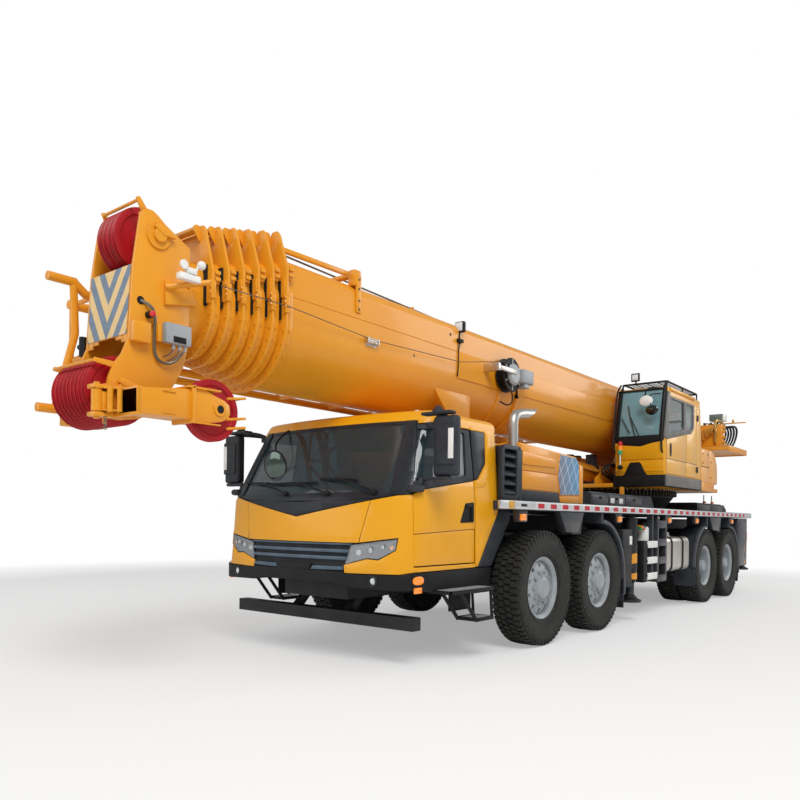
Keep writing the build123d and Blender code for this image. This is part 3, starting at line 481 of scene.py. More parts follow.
# Every finish of the machine: its maker, the material's name, and its colours and settings
FINISH_TABLE = {
    "boom paint": (gloss_paint, "polyurethane_enamel_boom_amber", "#E3941A", "#E79B22"),
    "cab paint": (gloss_paint, "polyurethane_enamel_cab_amber", "#E9A20E", "#ECA714"),
    # Sides of the operator's cab: the cab's amber drawn paler, painted light on the sides that face the
    # light
    "cab paint with painted light": (gloss_paint, "polyurethane_enamel_operator_cab", "#E9AE4C", "#ECB458"),
    "frame paint": (satin_paint, "alkyd_paint_black_frame", "#17181A", "#222426"),
    "grey paint": (satin_paint, "alkyd_paint_dark_grey", "#2E3136", "#3A3E44"),
    "deck plate": (checker_plate, "rolled_tread_plate_grey", "#4A4A4C", "#585858"),
    "steel ring": (metal, "oiled_forged_steel_dark", "#3A3733", "#4B4741", 0.5),
    "rim paint": (satin_paint, "silver_wheel_enamel", "#959B9F", "#A4A9AC", 160, (0.3, 0.45)),
    "stainless": (metal, "brushed_stainless_steel", "#C9C4BC", "#D6D2CB", 0.34, (12, 1, 1)),
    "chrome": (metal, "hard_chrome_plate", "#D4D6D8", "#DADCDE", 0.14),
    "exhaust": (metal, "aluminised_steel_exhaust", "#BDBBB6", "#CFCDC8", 0.38),
    "rope": (metal, "galvanised_wire_rope", "#6F6C66", "#85827B", 0.5),
    "black trim": (moulded, "polypropylene_black", "#121314", "#1A1B1D"),
    "grey trim": (moulded, "abs_dark_grey", "#2D3136", "#363A40"),
    # Pillars and cowl of the driver's cab: smooth black moulding
    "pillar trim": (moulded, "abs_black_smooth", "#22262B", "#292D33", (0.3, 0.4)),
    # Window frame and skirt of the operator's cab: grey painted steel
    "window frame": (satin_paint, "alkyd_paint_frame_grey", "#6E6C69", "#7A7774"),
    # Front face of the lamp box on the tail: grey-green, its other sides white
    "lamp box face": (satin_paint, "powder_coat_grey_green", "#66736F", "#727F7B"),
    "slat": (moulded, "abs_blue_grey_slats", "#4A5B69", "#556777", (0.3, 0.4)),
    "seat": (moulded, "grained_vinyl_seat", "#2B2D30", "#36383B", (0.6, 0.8)),
    "rubber": (rubber, "carbon_black_tyre_rubber"),
    "red paint": (satin_paint, "red_enamel_sheave", "#A00E18", "#B01420", 120, (0.32, 0.48)),
    "white paint": (satin_paint, "white_enamel", "#E6E6E2", "#F0F0EC", 120, (0.35, 0.5)),
    "red strip": (satin_paint, "retroreflective_sheet_red", "#B01222", "#C41A2A", 60, (0.3, 0.4)),
    "chevron sand": (satin_paint, "retroreflective_sheet_sand", "#E2BE80", "#E8C68C", 60, (0.3, 0.4)),
    "chevron slate": (satin_paint, "retroreflective_sheet_slate", "#66778A", "#73859A", 60, (0.3, 0.4)),
    "cab glass": (tinted_glass, "toughened_glass_green_grey", "#33434A", 0.55),
    "blue glass": (tinted_glass, "toughened_glass_blue", "#7FAAB4", 0.72),
    "lamp cover": (tinted_glass, "polycarbonate_lamp_cover", "#DDE4E8", 0.22),
    "dark glass": (tinted_glass, "convex_mirror_dark_back", "#0C1614", 1.0),
    "dark mirror": (metal, "silvered_mirror_in_shade", "#56635C", "#66736C", 0.1),
    "grille mesh": (grille_mesh, "moulded_black_grille_mesh"),
    "tread": (satin_paint, "galvanised_step_bars", "#8B8D8E", "#A3A5A6", 40, (0.4, 0.55)),
    "liner": (moulded, "felted_cab_lining_grey", "#2E3134", "#383B3F", (0.7, 0.85)),
    "intake trim": (moulded, "polypropylene_intake_grey", "#24272B", "#2C2F34", (0.35, 0.5)),
    "grey gloss": (gloss_paint, "polyurethane_enamel_dark_grey", "#2F3135", "#393B40"),
    # Lips round the wheel arches: drawn grey, a painted highlight along the fenders' edges
    "fender edge painted highlight": (moulded, "epdm_edge_rubber_grey", "#484B50", "#53575C", (0.45, 0.6)),
    "rail": (metal, "anodised_aluminium_rail", "#DADBDC", "#E6E7E8", 0.4, (12, 1, 1)),
    "grey tape": (satin_paint, "retroreflective_sheet_silver", "#BFC1C2", "#CBCDCE", 60, (0.3, 0.4)),
    "gold tape": (satin_paint, "retroreflective_sheet_gold", "#C99A3C", "#D2A445", 60, (0.3, 0.4)),
    "orange cap": (moulded, "polyamide_orange", "#C8602A", "#D06A32"),
    "hazard tape": (banded, "retroreflective_sheet_hazard", "#E79A22", "#1F2023", 260, (0, -0.35, 1)),
    "hood film": (hood_film, "cast_vinyl_film_slate_to_blue"),
    # Side windows: glass drawn pale grey, a painted reflection on the panes
    "glass with painted reflection": (tinted_glass, "toughened_glass_clear_grey", "#A4B0B1", 0.5),
    "cover paint": (gloss_paint, "polyurethane_enamel_cover", "#EBA857", "#F0B163"),
    "zinc": (metal, "yellow_chromate_zinc_pipe", "#C9A35A", "#D4B06A", 0.34),
    "mirror": (metal, "silvered_mirror", "#C8D0D4", "#D0D8DC", 0.08),
    "clear lens": (lens, "polycarbonate_clear_lens", "#D9DEE0"),
    "amber lens": (lens, "polycarbonate_amber_lens", "#F28A1E", 0.25),
    "red lens": (lens, "polycarbonate_red_lens", "#C3202A", 0.15),
    "green lens": (lens, "polycarbonate_green_lens", "#23995E", 0.15),
}


def make_finishes():
    """Make every material of the machine."""
    for name, (maker, *looks) in FINISH_TABLE.items():
        FINISH[name] = maker(*looks)


# Which finish each carried-over solid takes
CAD_FINISH = {
    "chassis_frame": "frame paint", "deck": "grey paint", "axles": "frame paint",
    "engine_block": "frame paint", "engine_hood": "boom paint", "fuel_tank": "stainless",
    "slew_ring": "steel ring", "cab_shell": "cab paint", "cab_glass": "cab glass", "cab_interior": "seat",
    "bumper": "black trim", "turntable": "boom paint", "winches": "grey paint",
    "operator_cab": "cab paint with painted light", "operator_glass": "blue glass", "operator_door": "cab paint with painted light",
    "boom_base": "boom paint", "boom_head": "boom paint", "upper_sheaves": "red paint",
    "lower_sheaves": "red paint", "aux_arm": "boom paint", "folding_jib": "boom paint",
    "jib_fork": "boom paint", "luff_barrel": "boom paint", "luff_rod": "chrome"
}
PREFIX_FINISH = {
    "tyre_": "rubber", "rim_": "rim paint", "knuckle_": "frame paint", "outrigger_beam_": "frame paint",
    "outrigger_jack_": "grey paint", "boom_section_": "boom paint", "cab_door_": "cab paint"
}


# ---------------------------------------------------------------- operators


class CraneSettings(bpy.types.PropertyGroup):
    """Colours and places that a user would change."""

    floor_colour: bpy.props.FloatVectorProperty(
        name="Floor colour", description="Colour of the studio floor", subtype="COLOR", size=4,
        default=linear("#F4F4F3")
    )
    camera_place: bpy.props.FloatVectorProperty(
        name="Camera place", description="Camera's station, width and height from axle 1",
        subtype="TRANSLATION", unit="LENGTH", size=3, default=(7.021, 5.103, 1.317)
    )
    camera_heading: bpy.props.FloatProperty(
        name="Camera heading", description="Direction of view on the plan, from straight ahead",
        subtype="ANGLE", default=-2.465
    )
    camera_roll: bpy.props.FloatProperty(
        name="Camera roll", description="Lean of the camera", subtype="ANGLE", default=0.012
    )


class CRANE_OT_finishes(bpy.types.Operator):
    """Paint every solid that stays in view"""

    bl_idname = "crane.finishes"
    bl_label = "Finishes"

    def execute(self, context):
        make_finishes()
        for name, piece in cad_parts.items():
            finish = CAD_FINISH.get(name)
            for prefix, other in PREFIX_FINISH.items():
                if name.startswith(prefix):
                    finish = other
            piece.data.materials.clear()
            piece.data.materials.append(FINISH[finish])
        return {"FINISHED"}


TREAD_BLOCKS = 54  # blocks round each row of a tyre's tread


def tread_block(hub, outline, tread, drop):
    """Block of the tread over its outline, a little narrower on top and lower towards the shoulder."""
    lug = primitive("cube", size=1)
    corners = [(x, y, 0.0) for x, y in outline] + [(x * 0.94, y, 1.0) for x, y in outline]
    index = {(-1, -1): 0, (1, -1): 1, (1, 1): 2, (-1, 1): 3}
    for vertex in lug.data.vertices:
        key = (1 if vertex.co.x > 0 else -1, 1 if vertex.co.y > 0 else -1)
        x, y, rise = corners[index[key] + (4 if vertex.co.z > 0 else 0)]
        edge = drop if abs(y) > 0.1 else 0.0
        vertex.co = hub + Vector((x, y, tread - edge if rise else tread - 0.03))
    return edit(lug, MEND[1])


def tyre_shape():
    """Tyre of wheel 1 on the left: carcass, shoulder and middle blocks, sidewall rings and lugs."""
    hub = at(0, WHEEL_Y, TYRE_R)
    tread = TYRE_R - 0.002
    half = [
        (0.306, 0.094), (0.336, 0.112), (0.352, 0.128), (0.362, 0.132), (0.366, 0.141), (0.378, 0.144),
        (0.384, 0.139), (0.45, 0.155), (0.5, 0.159), (0.522, 0.158), (0.526, 0.161), (0.54, 0.16),
        (0.566, 0.153), (tread - 0.018, 0.136), (tread - 0.018, 0.03)
    ]
    profile = [(r, -y) for r, y in half] + [(r, y) for r, y in reversed(half)]
    parts = [spun(profile, hub, "y", 96)]
    # Rows of tread blocks: inner and outer width, share of the pitch, lean and phase
    for low, high, share, lean, phase in ((0.078, 0.146, 0.68, 0.0, 0.0), (0.008, 0.068, 0.72, 0.012, 0.5)):
        long = math.pi * tread / TREAD_BLOCKS * share
        for side in (-1, 1):
            outline = [
                (-long, side * low), (long, side * low), (long + side * lean, side * high),
                (-long + side * lean, side * high)
            ]
            start = phase * 2 * math.pi / TREAD_BLOCKS + (math.pi / TREAD_BLOCKS if side > 0 else 0)
            turns = round_axis(hub, "y", TREAD_BLOCKS, start)
            parts += copies(tread_block(hub, outline, tread, 0.006 if high > 0.1 else 0.0), turns)
    # Short lugs down the shoulder
    for side in (-1, 1):
        lug = block((-0.011, 0.011), (0, 0.022), (0.535, 0.585), 0)
        tilt = Matrix.Translation(hub + Vector((0, side * 0.152 - 0.011, 0)))
        lug.data.transform(tilt @ Matrix.Translation(-at(0, 0, 0)))
        parts += copies(lug, round_axis(hub, "y", TREAD_BLOCKS))
    return coat(parts, "rubber")


def bolt_ring(centre, axis, radius, count, size, along, start=0.0, sides=6):
    """Ring of bolt heads about an axis, standing at a distance along it."""
    out = {"x": Vector((0, 0, 1)), "y": Vector((0, 0, 1)), "z": Vector((1, 0, 0))}[axis]
    run = {"x": Vector((1, 0, 0)), "y": Vector((0, 1, 0)), "z": Vector((0, 0, 1))}[axis]
    head = primitive("cylinder", vertices=sides, radius=size, depth=size * 1.4)
    turn = run.to_track_quat("Z", "X").to_matrix().to_4x4()
    head.data.transform(Matrix.Translation(Vector(centre) + out * radius + run * along) @ turn)
    return copies(head, round_axis(centre, axis, count, start))


def pierced(piece, cutters):
    """The piece with the cutters taken out of it."""
    for cutter in cutters:
        cut = piece.modifiers.new("cut", "BOOLEAN")
        cut.operation = "DIFFERENCE"
        cut.solver = "EXACT"
        cut.object = cutter
        bpy.ops.object.select_all(action="DESELECT")
        piece.select_set(True)
        bpy.context.view_layer.objects.active = piece
        bpy.ops.object.modifier_apply(modifier=cut.name)
        bpy.data.objects.remove(cutter)
    return piece


def joined(pieces):
    """Several pieces as one mesh."""
    pieces = flat(pieces)
    bpy.ops.object.select_all(action="DESELECT")
    for piece in pieces:
        piece.select_set(True)
    bpy.context.view_layer.objects.active = pieces[0]
    if len(pieces) > 1:
        bpy.ops.object.join()
    return bpy.context.view_layer.objects.active


def round_holes(piece, hub, y, radius, depth):
    """The piece with ten round holes through it."""
    hole = primitive("cylinder", vertices=24, radius=0.024, depth=depth)
    turn = Matrix.Rotation(math.pi / 2, 4, "X")
    hole.data.transform(Matrix.Translation(hub + Vector((0, y, radius))) @ turn)
    return pierced(piece, [joined(copies(hole, round_axis(hub, "y", 10)))])


def single_rim():
    """Front rim of wheel 1 on the left: domed disc with round holes, nuts and a smooth hub cap."""
    hub = at(0, WHEEL_Y, TYRE_R)
    barrel = [
        (0.329, -0.12), (0.332, -0.112), (0.306, -0.096), (0.306, 0.096), (0.332, 0.112), (0.329, 0.12),
        (0.318, 0.119), (0.296, 0.1), (0.289, 0.09), (0.289, -0.1), (0.318, -0.12)
    ]
    disc = [
        (0.292, 0.03), (0.286, 0.052), (0.268, 0.066), (0.23, 0.08), (0.196, 0.09), (0.15, 0.096),
        (0.1, 0.097), (0.1, 0.075), (0.15, 0.074), (0.2, 0.066), (0.25, 0.046), (0.272, 0.02)
    ]
    dish = round_holes(spun(disc, hub, "y", 80), hub, 0.05, 0.236, 0.3)
    cap = [
        (0.148, 0.09), (0.146, 0.104), (0.128, 0.108), (0.124, 0.118), (0.118, 0.136), (0.1, 0.15),
        (0.07, 0.157), (0.03, 0.16), (0.0, 0.16), (0.0, 0.08)
    ]
    silver = [spun(barrel, hub, "y", 80), dish, spun(cap, hub, "y", 64)]
    nuts = bolt_ring(hub, "y", 0.172, 10, 0.0165, 0.108, 0.3)
    studs = bolt_ring(hub, "y", 0.172, 10, 0.0085, 0.126, 0.3, 12)
    caps = bolt_ring(hub, "y", 0.137, 8, 0.006, 0.108, 0.1)
    back = spun(((0.0, -0.05), (0.112, -0.05), (0.12, 0.05), (0.0, 0.05)), hub, "y", 48)
    return coat([*silver, *nuts, *studs, *caps], "rim paint") + coat(back, "frame paint")


def twin_rim():
    """Rear rims of one side: two barrels back to back, a deep disc and the hub."""
    hub = at(0, WHEEL_Y, TYRE_R)
    deep = 0.1725  # half the gap between the twin wheels' middles
    barrel = [
        (0.329, -0.12), (0.332, -0.112), (0.306, -0.096), (0.306, 0.096), (0.332, 0.112), (0.329, 0.12),
        (0.318, 0.119), (0.296, 0.1), (0.289, 0.09), (0.286, -0.09), (0.276, -0.13), (0.25, 0.018 - deep),
        (0.12, 0.018 - deep), (0.12, -deep), (0.268, -deep), (0.318, -0.12)
    ]
    inner = [(r, -y) for r, y in barrel]
    outer = round_holes(spun(barrel, hub, "y", 80), hub, -deep, 0.222, 0.12)
    spider = [
        (0.0, 0.112), (0.07, 0.112), (0.088, 0.104), (0.096, 0.085), (0.1, 0.03), (0.104, -0.02),
        (0.126, -0.05), (0.138, -0.11), (0.14, 0.02 - deep), (0.0, 0.02 - deep)
    ]
    far = hub - Vector((0, 2 * deep, 0))
    hubs = [
        spun(spider, hub, "y", 64),
        spun(((0.0, -0.06), (0.14, -0.06), (0.14, 0.17), (0.0, 0.17)), far, "y", 48)
    ]
    nuts = bolt_ring(hub, "y", 0.168, 10, 0.0165, 0.03 - deep, 0.3)
    studs = bolt_ring(hub, "y", 0.168, 10, 0.0085, 0.05 - deep, 0.3, 12)
    caps = bolt_ring(hub, "y", 0.078, 8, 0.0075, 0.112, 0.1)
    return coat([outer, spun(inner, far, "y", 80), *hubs, *nuts, *studs, *caps], "rim paint")


class CRANE_OT_wheels(bpy.types.Operator):
    """Tyres with their tread, and rims with nuts and hubs"""

    bl_idname = "crane.wheels"
    bl_label = "Wheels"

    def execute(self, context):
        first = at(0, WHEEL_Y, TYRE_R)
        shapes = {
            "tyre": assemble("tyre_shape", "carrier", tyre_shape()),
            "single": assemble("single_rim", "carrier", single_rim()),
            "twin": assemble("twin_rim", "carrier", twin_rim())
        }
        for number, station in enumerate(AXLE_X, 1):
            for word, side in (("left", 1), ("right", -1)):
                name = "%d_%s" % (number, word)
                hub = at(station, side * WHEEL_Y, TYRE_R)
                face = Matrix.Rotation(0 if side > 0 else math.pi, 4, "Z")
                place = Matrix.Translation(hub) @ face @ Matrix.Translation(-first)
                twin = number > 2
                tyres = [wheel_copy(shapes["tyre"], place)]
                if twin:
                    inward = Matrix.Translation((0, -side * 0.345, 0))
                    tyres.append(wheel_copy(shapes["tyre"], inward @ place))
                tyre = joined(tyres)
                tyre.name = "tyre_and_tread_" + name
                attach(tyre, "wheel_" + name)
                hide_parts("tyre_" + name)
                rim = wheel_copy(shapes["twin" if twin else "single"], place)
                rim.name = "wheel_rim_" + name
                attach(rim, "wheel_" + name)
                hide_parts("rim_" + name)
        for shape in shapes.values():
            bpy.data.objects.remove(shape)
        return {"FINISHED"}


def wheel_copy(shape, place):
    """Copy of a wheel's piece, set by its mesh at another hub."""
    twin = bpy.data.objects.new(shape.name, shape.data.copy())
    twin.data.transform(place)
    bpy.context.collection.objects.link(twin)
    return twin


BELLY = 2.97  # height of the belly's centre line
SECTION_STEP = 0.033  # how much each section is smaller than the one before
COLLAR_X = [2.87 + 0.125 * n for n in range(6)]
BOOM_HALF = 0.5  # half width, top and foot of the base section, and the top of its roller
BOOM_TOP = 3.52
BOOM_FOOT = -7.3
ROLLER_TOP = 3.74
FOOT_PIN = (-6.85, 3.05)  # station and height of the boom's foot pin
HEAD_HALF = 0.272  # inner and outer faces of the head's side plates
HEAD_SIDE = 0.302
UPPER_PIN = (3.92, 3.4)  # station and height of the sheave pins
LOWER_PIN = (4.195, 2.215)
ARM_PIN = (3.62, 2.12)


def boom_outline(half, top, corner=0.12, belly=28):
    """Half-round belly, upright sides and round top corners, as widths and heights."""
    points = []
    for step in range(belly + 1):
        angle = math.pi + math.pi * step / belly
        points.append((half * math.cos(angle), BELLY + half * math.sin(angle)))
    for start, middle_y in ((0, half - corner), (math.pi / 2, corner - half)):
        for step in range(7):
            angle = start + math.pi / 2 * step / 6
            points.append((middle_y + corner * math.cos(angle), top - corner + corner * math.sin(angle)))
    return points


def mouth_plate(station, lip, top, peak):
    """Plate round a section's mouth: round below, with two raised ears for the roller above."""
    outline = []
    for step in range(29):
        angle = math.pi + math.pi * step / 28
        outline.append((lip * math.cos(angle), BELLY + lip * math.sin(angle)))
    rise = (
        (0, top - 0.11), (0.012, top - 0.07), (0.1, peak - 0.04), (0.13, peak), (0.19, peak),
        (0.23, peak - 0.06)
    )
    outline += [(lip - inset, z) for inset, z in rise]
    outline += [(inset - lip, z) for inset, z in reversed(rise)]
    return drawn(outline, "x", station - 0.024, station, 0.004)


def collar_side(station, half, top, peak, side):
    """Ear of a collar's roller, and the wear-pad blocks on its shoulder and side."""
    ear = (
        (station, peak - 0.14), (station + 0.062, peak - 0.055), (station + 0.062, peak - 0.02),
        (station + 0.045, peak - 0.002), (station + 0.012, peak - 0.002), (station, peak - 0.02)
    )
    pad = (side * (half + 0.002), side * (half + 0.035))
    clamp = (side * (half + 0.03), side * (half + 0.055))
    foot = (side * (half - 0.03), side * (half + 0.042))
    return [
        drawn(ear, "y", side * half * 0.64, side * half * 0.68, 0.002),
        block((station - 0.085, station - 0.026), pad, (top - 0.2, top - 0.09), 0.006),
        block((station - 0.08, station - 0.03), clamp, (top - 0.18, top - 0.15), 0.003),
        block((station - 0.08, station - 0.03), clamp, (top - 0.13, top - 0.1), 0.003),
        block((station, station + 0.014), foot, (top - 0.36, top - 0.19), 0.004)
    ]


def collar_bolts(radius, station, faces_front):
    """Bolts round the belly at a radius."""
    head = primitive("cylinder", vertices=8, radius=0.0085, depth=0.014)
    turn = Matrix.Rotation(math.pi / 2, 4, "Y") if faces_front else Matrix.Identity(4)
    head.data.transform(Matrix.Translation(at(station, 0, BELLY - radius)) @ turn)
    there = Matrix.Translation(at(0, 0, BELLY))
    steps = [Matrix.Rotation(math.radians(step * 11.6), 4, "X") for step in range(-7, 8)]
    return copies(head, [there @ step @ there.inverted() for step in steps])


def collar_parts(station, half, top, peak):
    """Mouth plate of a section, its bolted band, top roller, wear blocks and rope guides."""
    lip, band = half + 0.05, half + 0.024
    parts = [
        mouth_plate(station, lip, top, peak),
        drawn(boom_outline(band, top - 0.2), "x", station - 0.1, station - 0.024, 0.005),
        rounded_bar(at(station + 0.028, -half * 0.62, peak - 0.035), (0, half * 1.24, 0), 0.026, 20)
    ]
    for side in (-1, 1):
        parts += collar_side(station, half, top, peak, side)
    parts += collar_bolts(band, station - 0.064, False)
    parts += collar_bolts(lip - 0.024, station + 0.003, True)
    # Rope guide pins on the left
    for rise in (0.0, 0.04, 0.08):
        parts.append(rounded_bar(
            at(station - 0.012, half + 0.02, 3.06 + rise), (0.05, 0.06, 0.012), 0.006, 8
        ))
    parts.append(block((station - 0.03, station + 0.02), (half + 0.04, half + 0.062), (3.03, 3.17), 0.003))
    return parts


def rounded_bar(start, run, radius, sides=16):
    """Round bar from a point along a run, both in the frame's own metres."""
    run = Vector(run)
    made = primitive("cylinder", vertices=sides, radius=radius, depth=run.length)
    turn = run.to_track_quat("Z", "Y").to_matrix().to_4x4()
    made.data.transform(Matrix.Translation(Vector(start) + run / 2) @ turn)
    return made


def bar(start, end, radius, sides=16):
    """Round bar between two points, each a station, a width and a height."""
    a, b = at(*start), at(*end)
    return rounded_bar(a, b - a, radius, sides)


def base_sides():
    """Weld seams, doubler plates, foot bosses, gussets, cylinder lugs and caps of the base section."""
    gusset = ((0.71, 2.83), (0.4, 2.52), (0.1, 2.49), (-0.07, 2.49), (-0.07, 2.86))
    lug = ((-1.0, 2.54), (0.4, 2.54), (-0.16, 2.25), (-0.5, 2.25))
    parts = []
    for side in (-1, 1):
        y = side * BOOM_HALF
        plates = [
            bar((-7.2, y, 3.2), (2.76, y, 3.2), 0.005, 8),
            block((-6.2, 0.28), (y, y + side * 0.006), (2.905, 3.2), 0.002),
            block((BOOM_FOOT, -6.0), (y, y + side * 0.012), (2.8, 3.35), 0.004),
            pin(*FOOT_PIN, (side * 0.49, side * 0.526), 0.15),
            drawn(gusset, "y", side * 0.3, side * 0.45, 0.006),
            drawn(lug, "y", side * 0.125, side * 0.165, 0.006)
        ]
        caps = [
            pin(1.06, 3.01, (y, side * 0.503), 0.012, 16), pin(0.41, 3.36, (y, side * 0.503), 0.016, 16)
        ]
        parts += coat(plates, "boom paint") + coat(caps, "black trim")
    return parts


def base_top():
    """Lug pins, bands, closed foot, and the handrail on its bolted bracket."""
    parts = [
        pin(-0.35, 2.35, (-0.175, -0.105), 0.05), pin(-0.35, 2.35, (0.105, 0.175), 0.05),
        drawn(boom_outline(0.514, 3.3), "x", -0.68, -0.62, 0.006),
        drawn(boom_outline(0.53, 3.0), "x", -1.05, -1.03, 0.004),
        drawn(boom_outline(0.47, 3.49), "x", BOOM_FOOT + 0.002, BOOM_FOOT, 0.0),
        drawn(((2.84, 3.57), (2.84, 3.61), (2.02, 3.625), (2.02, 3.585)), "y", 0.42, 0.46, 0.006),
        bar((2.84, 0.44, BOOM_TOP), (2.84, 0.44, 3.6), 0.02),
        block((1.9, 1.99), (0.425, 0.51), (3.5, 3.645), 0.008),
        block((1.9, 1.965), (0.5, 0.516), (3.25, 3.6), 0.004),
        bar((1.94, -0.3, 3.61), (1.94, 0.44, 3.61), 0.028)
    ]
    bolts = [pin(1.93, z, (0.514, 0.524), 0.011, 6, 0.001) for z in (3.28, 3.36, 3.47, 3.56)]
    return coat(parts, "boom paint") + coat(bolts, "rope")


def hoist_rope():
    """Hoist rope over its top guides, and the thin signal cable along the side."""
    guides = []
    for station, height in ((0.62, 3.66), (-1.4, 3.61), (-3.0, 3.6), (-4.6, 3.6)):
        cheek = (
            (station + 0.05, 3.515), (station + 0.05, height), (station, height + 0.012),
            (station - 0.06, 3.515)
        )
        guides += [drawn(cheek, "y", y, y + 0.012, 0.002) for y in (0.06, 0.14)]
        guides.append(bar(
            (station + 0.02, 0.06, height - 0.02), (station + 0.02, 0.152, height - 0.02), 0.014, 12
        ))
    rope = [(-7.4, 0.1, 3.55), (-4.6, 0.1, 3.605), (-1.4, 0.1, 3.615), (0.62, 0.1, 3.665), (2.9, 0.1, 3.72)]
    signal = [(-0.5, 0.66, 3.2), (0.3, 0.56, 3.07), (1.75, 0.53, 3.03), (2.85, 0.57, 3.08), (3.5, 0.5, 3.1)]
    lines = [pipe(rope, 0.009, 8, False), pipe(signal, 0.004, 6, False)]
    return coat(guides, "boom paint") + coat(lines, "rope")


def base_left():
    """Guide of the signal cable, and the work lamp on its stalk with its lead down the side."""
    guide = [
        block((1.66, 1.83), (0.5, 0.507), (2.97, 3.05), 0.003),
        block((1.66, 1.68), (0.5, 0.545), (2.985, 3.045), 0.003),
        block((1.81, 1.83), (0.5, 0.545), (2.985, 3.045), 0.003),
        bar((1.67, 0.535, 3.0), (1.82, 0.535, 3.0), 0.008, 10),
        bar((1.67, 0.535, 3.035), (1.82, 0.535, 3.035), 0.008, 10)
    ]
    lamp = [
        block((0.19, 0.25), (0.44, 0.56), (3.42, 3.54), 0.014, 3),
        bar((0.24, 0.5, 3.34), (0.235, 0.5, 3.43), 0.012),
        block((0.2, 0.29), (0.44, 0.54), (3.3, 3.34), 0.008),
        pipe([(0.24, 0.512, 3.33), (0.27, 0.51, 3.2), (0.26, 0.51, 3.05), (0.28, 0.51, 2.92)], 0.008, 8)
    ]
    face = block((0.249, 0.256), (0.452, 0.548), (3.432, 3.528), 0.002)
    return coat(guide, "stainless") + coat(lamp, "black trim") + coat(face, "clear lens")


def cable_reel():
    """Cable reel of the boom's length sensor, with its arm and motor."""
    station, height = -0.7, 3.08
    axis = at(station, 0, height)
    rims = (
        (0.03, 0.53), (0.2, 0.53), (0.205, 0.536), (0.205, 0.544), (0.15, 0.55), (0.15, 0.62),
        (0.205, 0.626), (0.205, 0.634), (0.2, 0.64), (0.03, 0.64)
    )
    hub = ((0.0, 0.64), (0.12, 0.64), (0.13, 0.65), (0.13, 0.67), (0.1, 0.69), (0.0, 0.69))
    black = [spun(rims, axis, "y", 48)]
    grey = [
        spun(hub, axis, "y", 40), block((-1.1, -0.84), (0.6, 0.72), (3.0, 3.17), 0.02, 3),
        block((-1.02, -0.9), (0.58, 0.7), (2.95, 3.01), 0.01)
    ]
    silver = [
        block((station, -0.3), (0.69, 0.7), (3.075, 3.13), 0.004),
        block((-0.32, -0.26), (0.5, 0.71), (3.06, 3.15), 0.006)
    ]
    for turn in range(3):
        low, high = 0.552 + 0.02 * turn, 0.57 + 0.02 * turn
        black.append(spun(((0.15, low), (0.168, low), (0.168, high), (0.15, high)), axis, "y", 40))
    spoke = rounded_bar(axis + Vector((0, 0.642, 0.05)), (0, 0, 0.14), 0.01, 8)
    silver += copies(spoke, round_axis(axis, "y", 6))
    black.append(pipe(
        [(-0.75, 0.6, 2.9), (-0.78, 0.62, 2.78), (-0.7, 0.58, 2.7), (-0.6, 0.53, 2.76)], 0.009, 8
    ))
    foot = pin(station, height, (BOOM_HALF, 0.54), 0.07)
    parts = coat(black, "black trim") + coat(grey, "rim paint")
    return parts + coat(silver, "stainless") + coat(foot, "boom paint")


class CRANE_OT_boom(bpy.types.Operator):
    """Boom sections with their collars, and the base section's fittings"""

    bl_idname = "crane.boom"
    bl_label = "Boom"

    def execute(self, context):
        for number in range(1, 7):
            drop = SECTION_STEP * (number - 1)
            half, top, peak = BOOM_HALF - drop, BOOM_TOP - drop, ROLLER_TOP - 0.022 * (number - 1)
            front = COLLAR_X[number - 1]
            rear = BOOM_FOOT if number == 1 else -6.5 + 0.07 * number
            tube = drawn(boom_outline(half, top), "x", rear, front - 0.003, 0.0)
            parts = coat([tube, *collar_parts(front, half, top, peak)], "boom paint")
            # Black strips on the sides of the next section, seen between the collars
            inner = half - SECTION_STEP
            for side in (-1, 1):
                strip = (side * (inner - 0.02), side * (half - 0.004))
                parts += coat(
                    block((front + 0.002, front + 0.022), strip, (2.98, 3.3), 0.002), "black trim"
                )
            if number > 1:
                name = "boom_section_%d" % number
                assemble("telescope_" + str(number), name, parts, [name])
            else:
                parts += base_sides() + base_top() + hoist_rope() + base_left()
                assemble("boom_base_dressed", "boom_base", parts, ["boom_base"])
        assemble("cable_reel", "boom_base", cable_reel())
        return {"FINISHED"}


def head_side(side):
    """Side plate of the head, with its bosses, keeper plates and stiffener."""
    plate = (
        (3.64, 3.385), (3.86, 3.505), (3.92, 3.55), (3.965, 3.575), (4.01, 3.575), (4.05, 3.55),
        (4.07, 3.5), (4.085, 3.4), (4.12, 3.145), (4.15, 2.6), (4.2, 2.48), (4.26, 2.4), (4.3, 2.3),
        (4.33, 2.12), (4.31, 2.06), (4.22, 2.0), (4.05, 2.03), (3.9, 2.12), (3.76, 2.33), (3.69, 2.46),
        (3.655, 2.6), (3.64, 2.85)
    )
    # Keeper plate, as distances from its pin
    keeper = ((-0.13, 0.005), (-0.11, 0.045), (0.03, 0.085), (0.05, 0.05), (-0.02, 0.0))
    stiffener = ((3.6, 3.05), (3.6, 2.95), (3.87, 2.9), (3.87, 3.09))
    parts = [drawn(plate, "y", side * HEAD_HALF, side * HEAD_SIDE, 0.005)]
    for (x, z), size in ((UPPER_PIN, 0.1), (LOWER_PIN, 0.09)):
        parts += [
            pin(x, z, (side * 0.3, side * 0.316), size), pin(x, z, (side * 0.3, side * 0.34), 0.052),
            drawn([(x + a, z + b) for a, b in keeper], "y", side * 0.316, side * 0.346, 0.006)
        ]
    return parts + [drawn(stiffener, "y", side * HEAD_SIDE, side * 0.33, 0.004)]


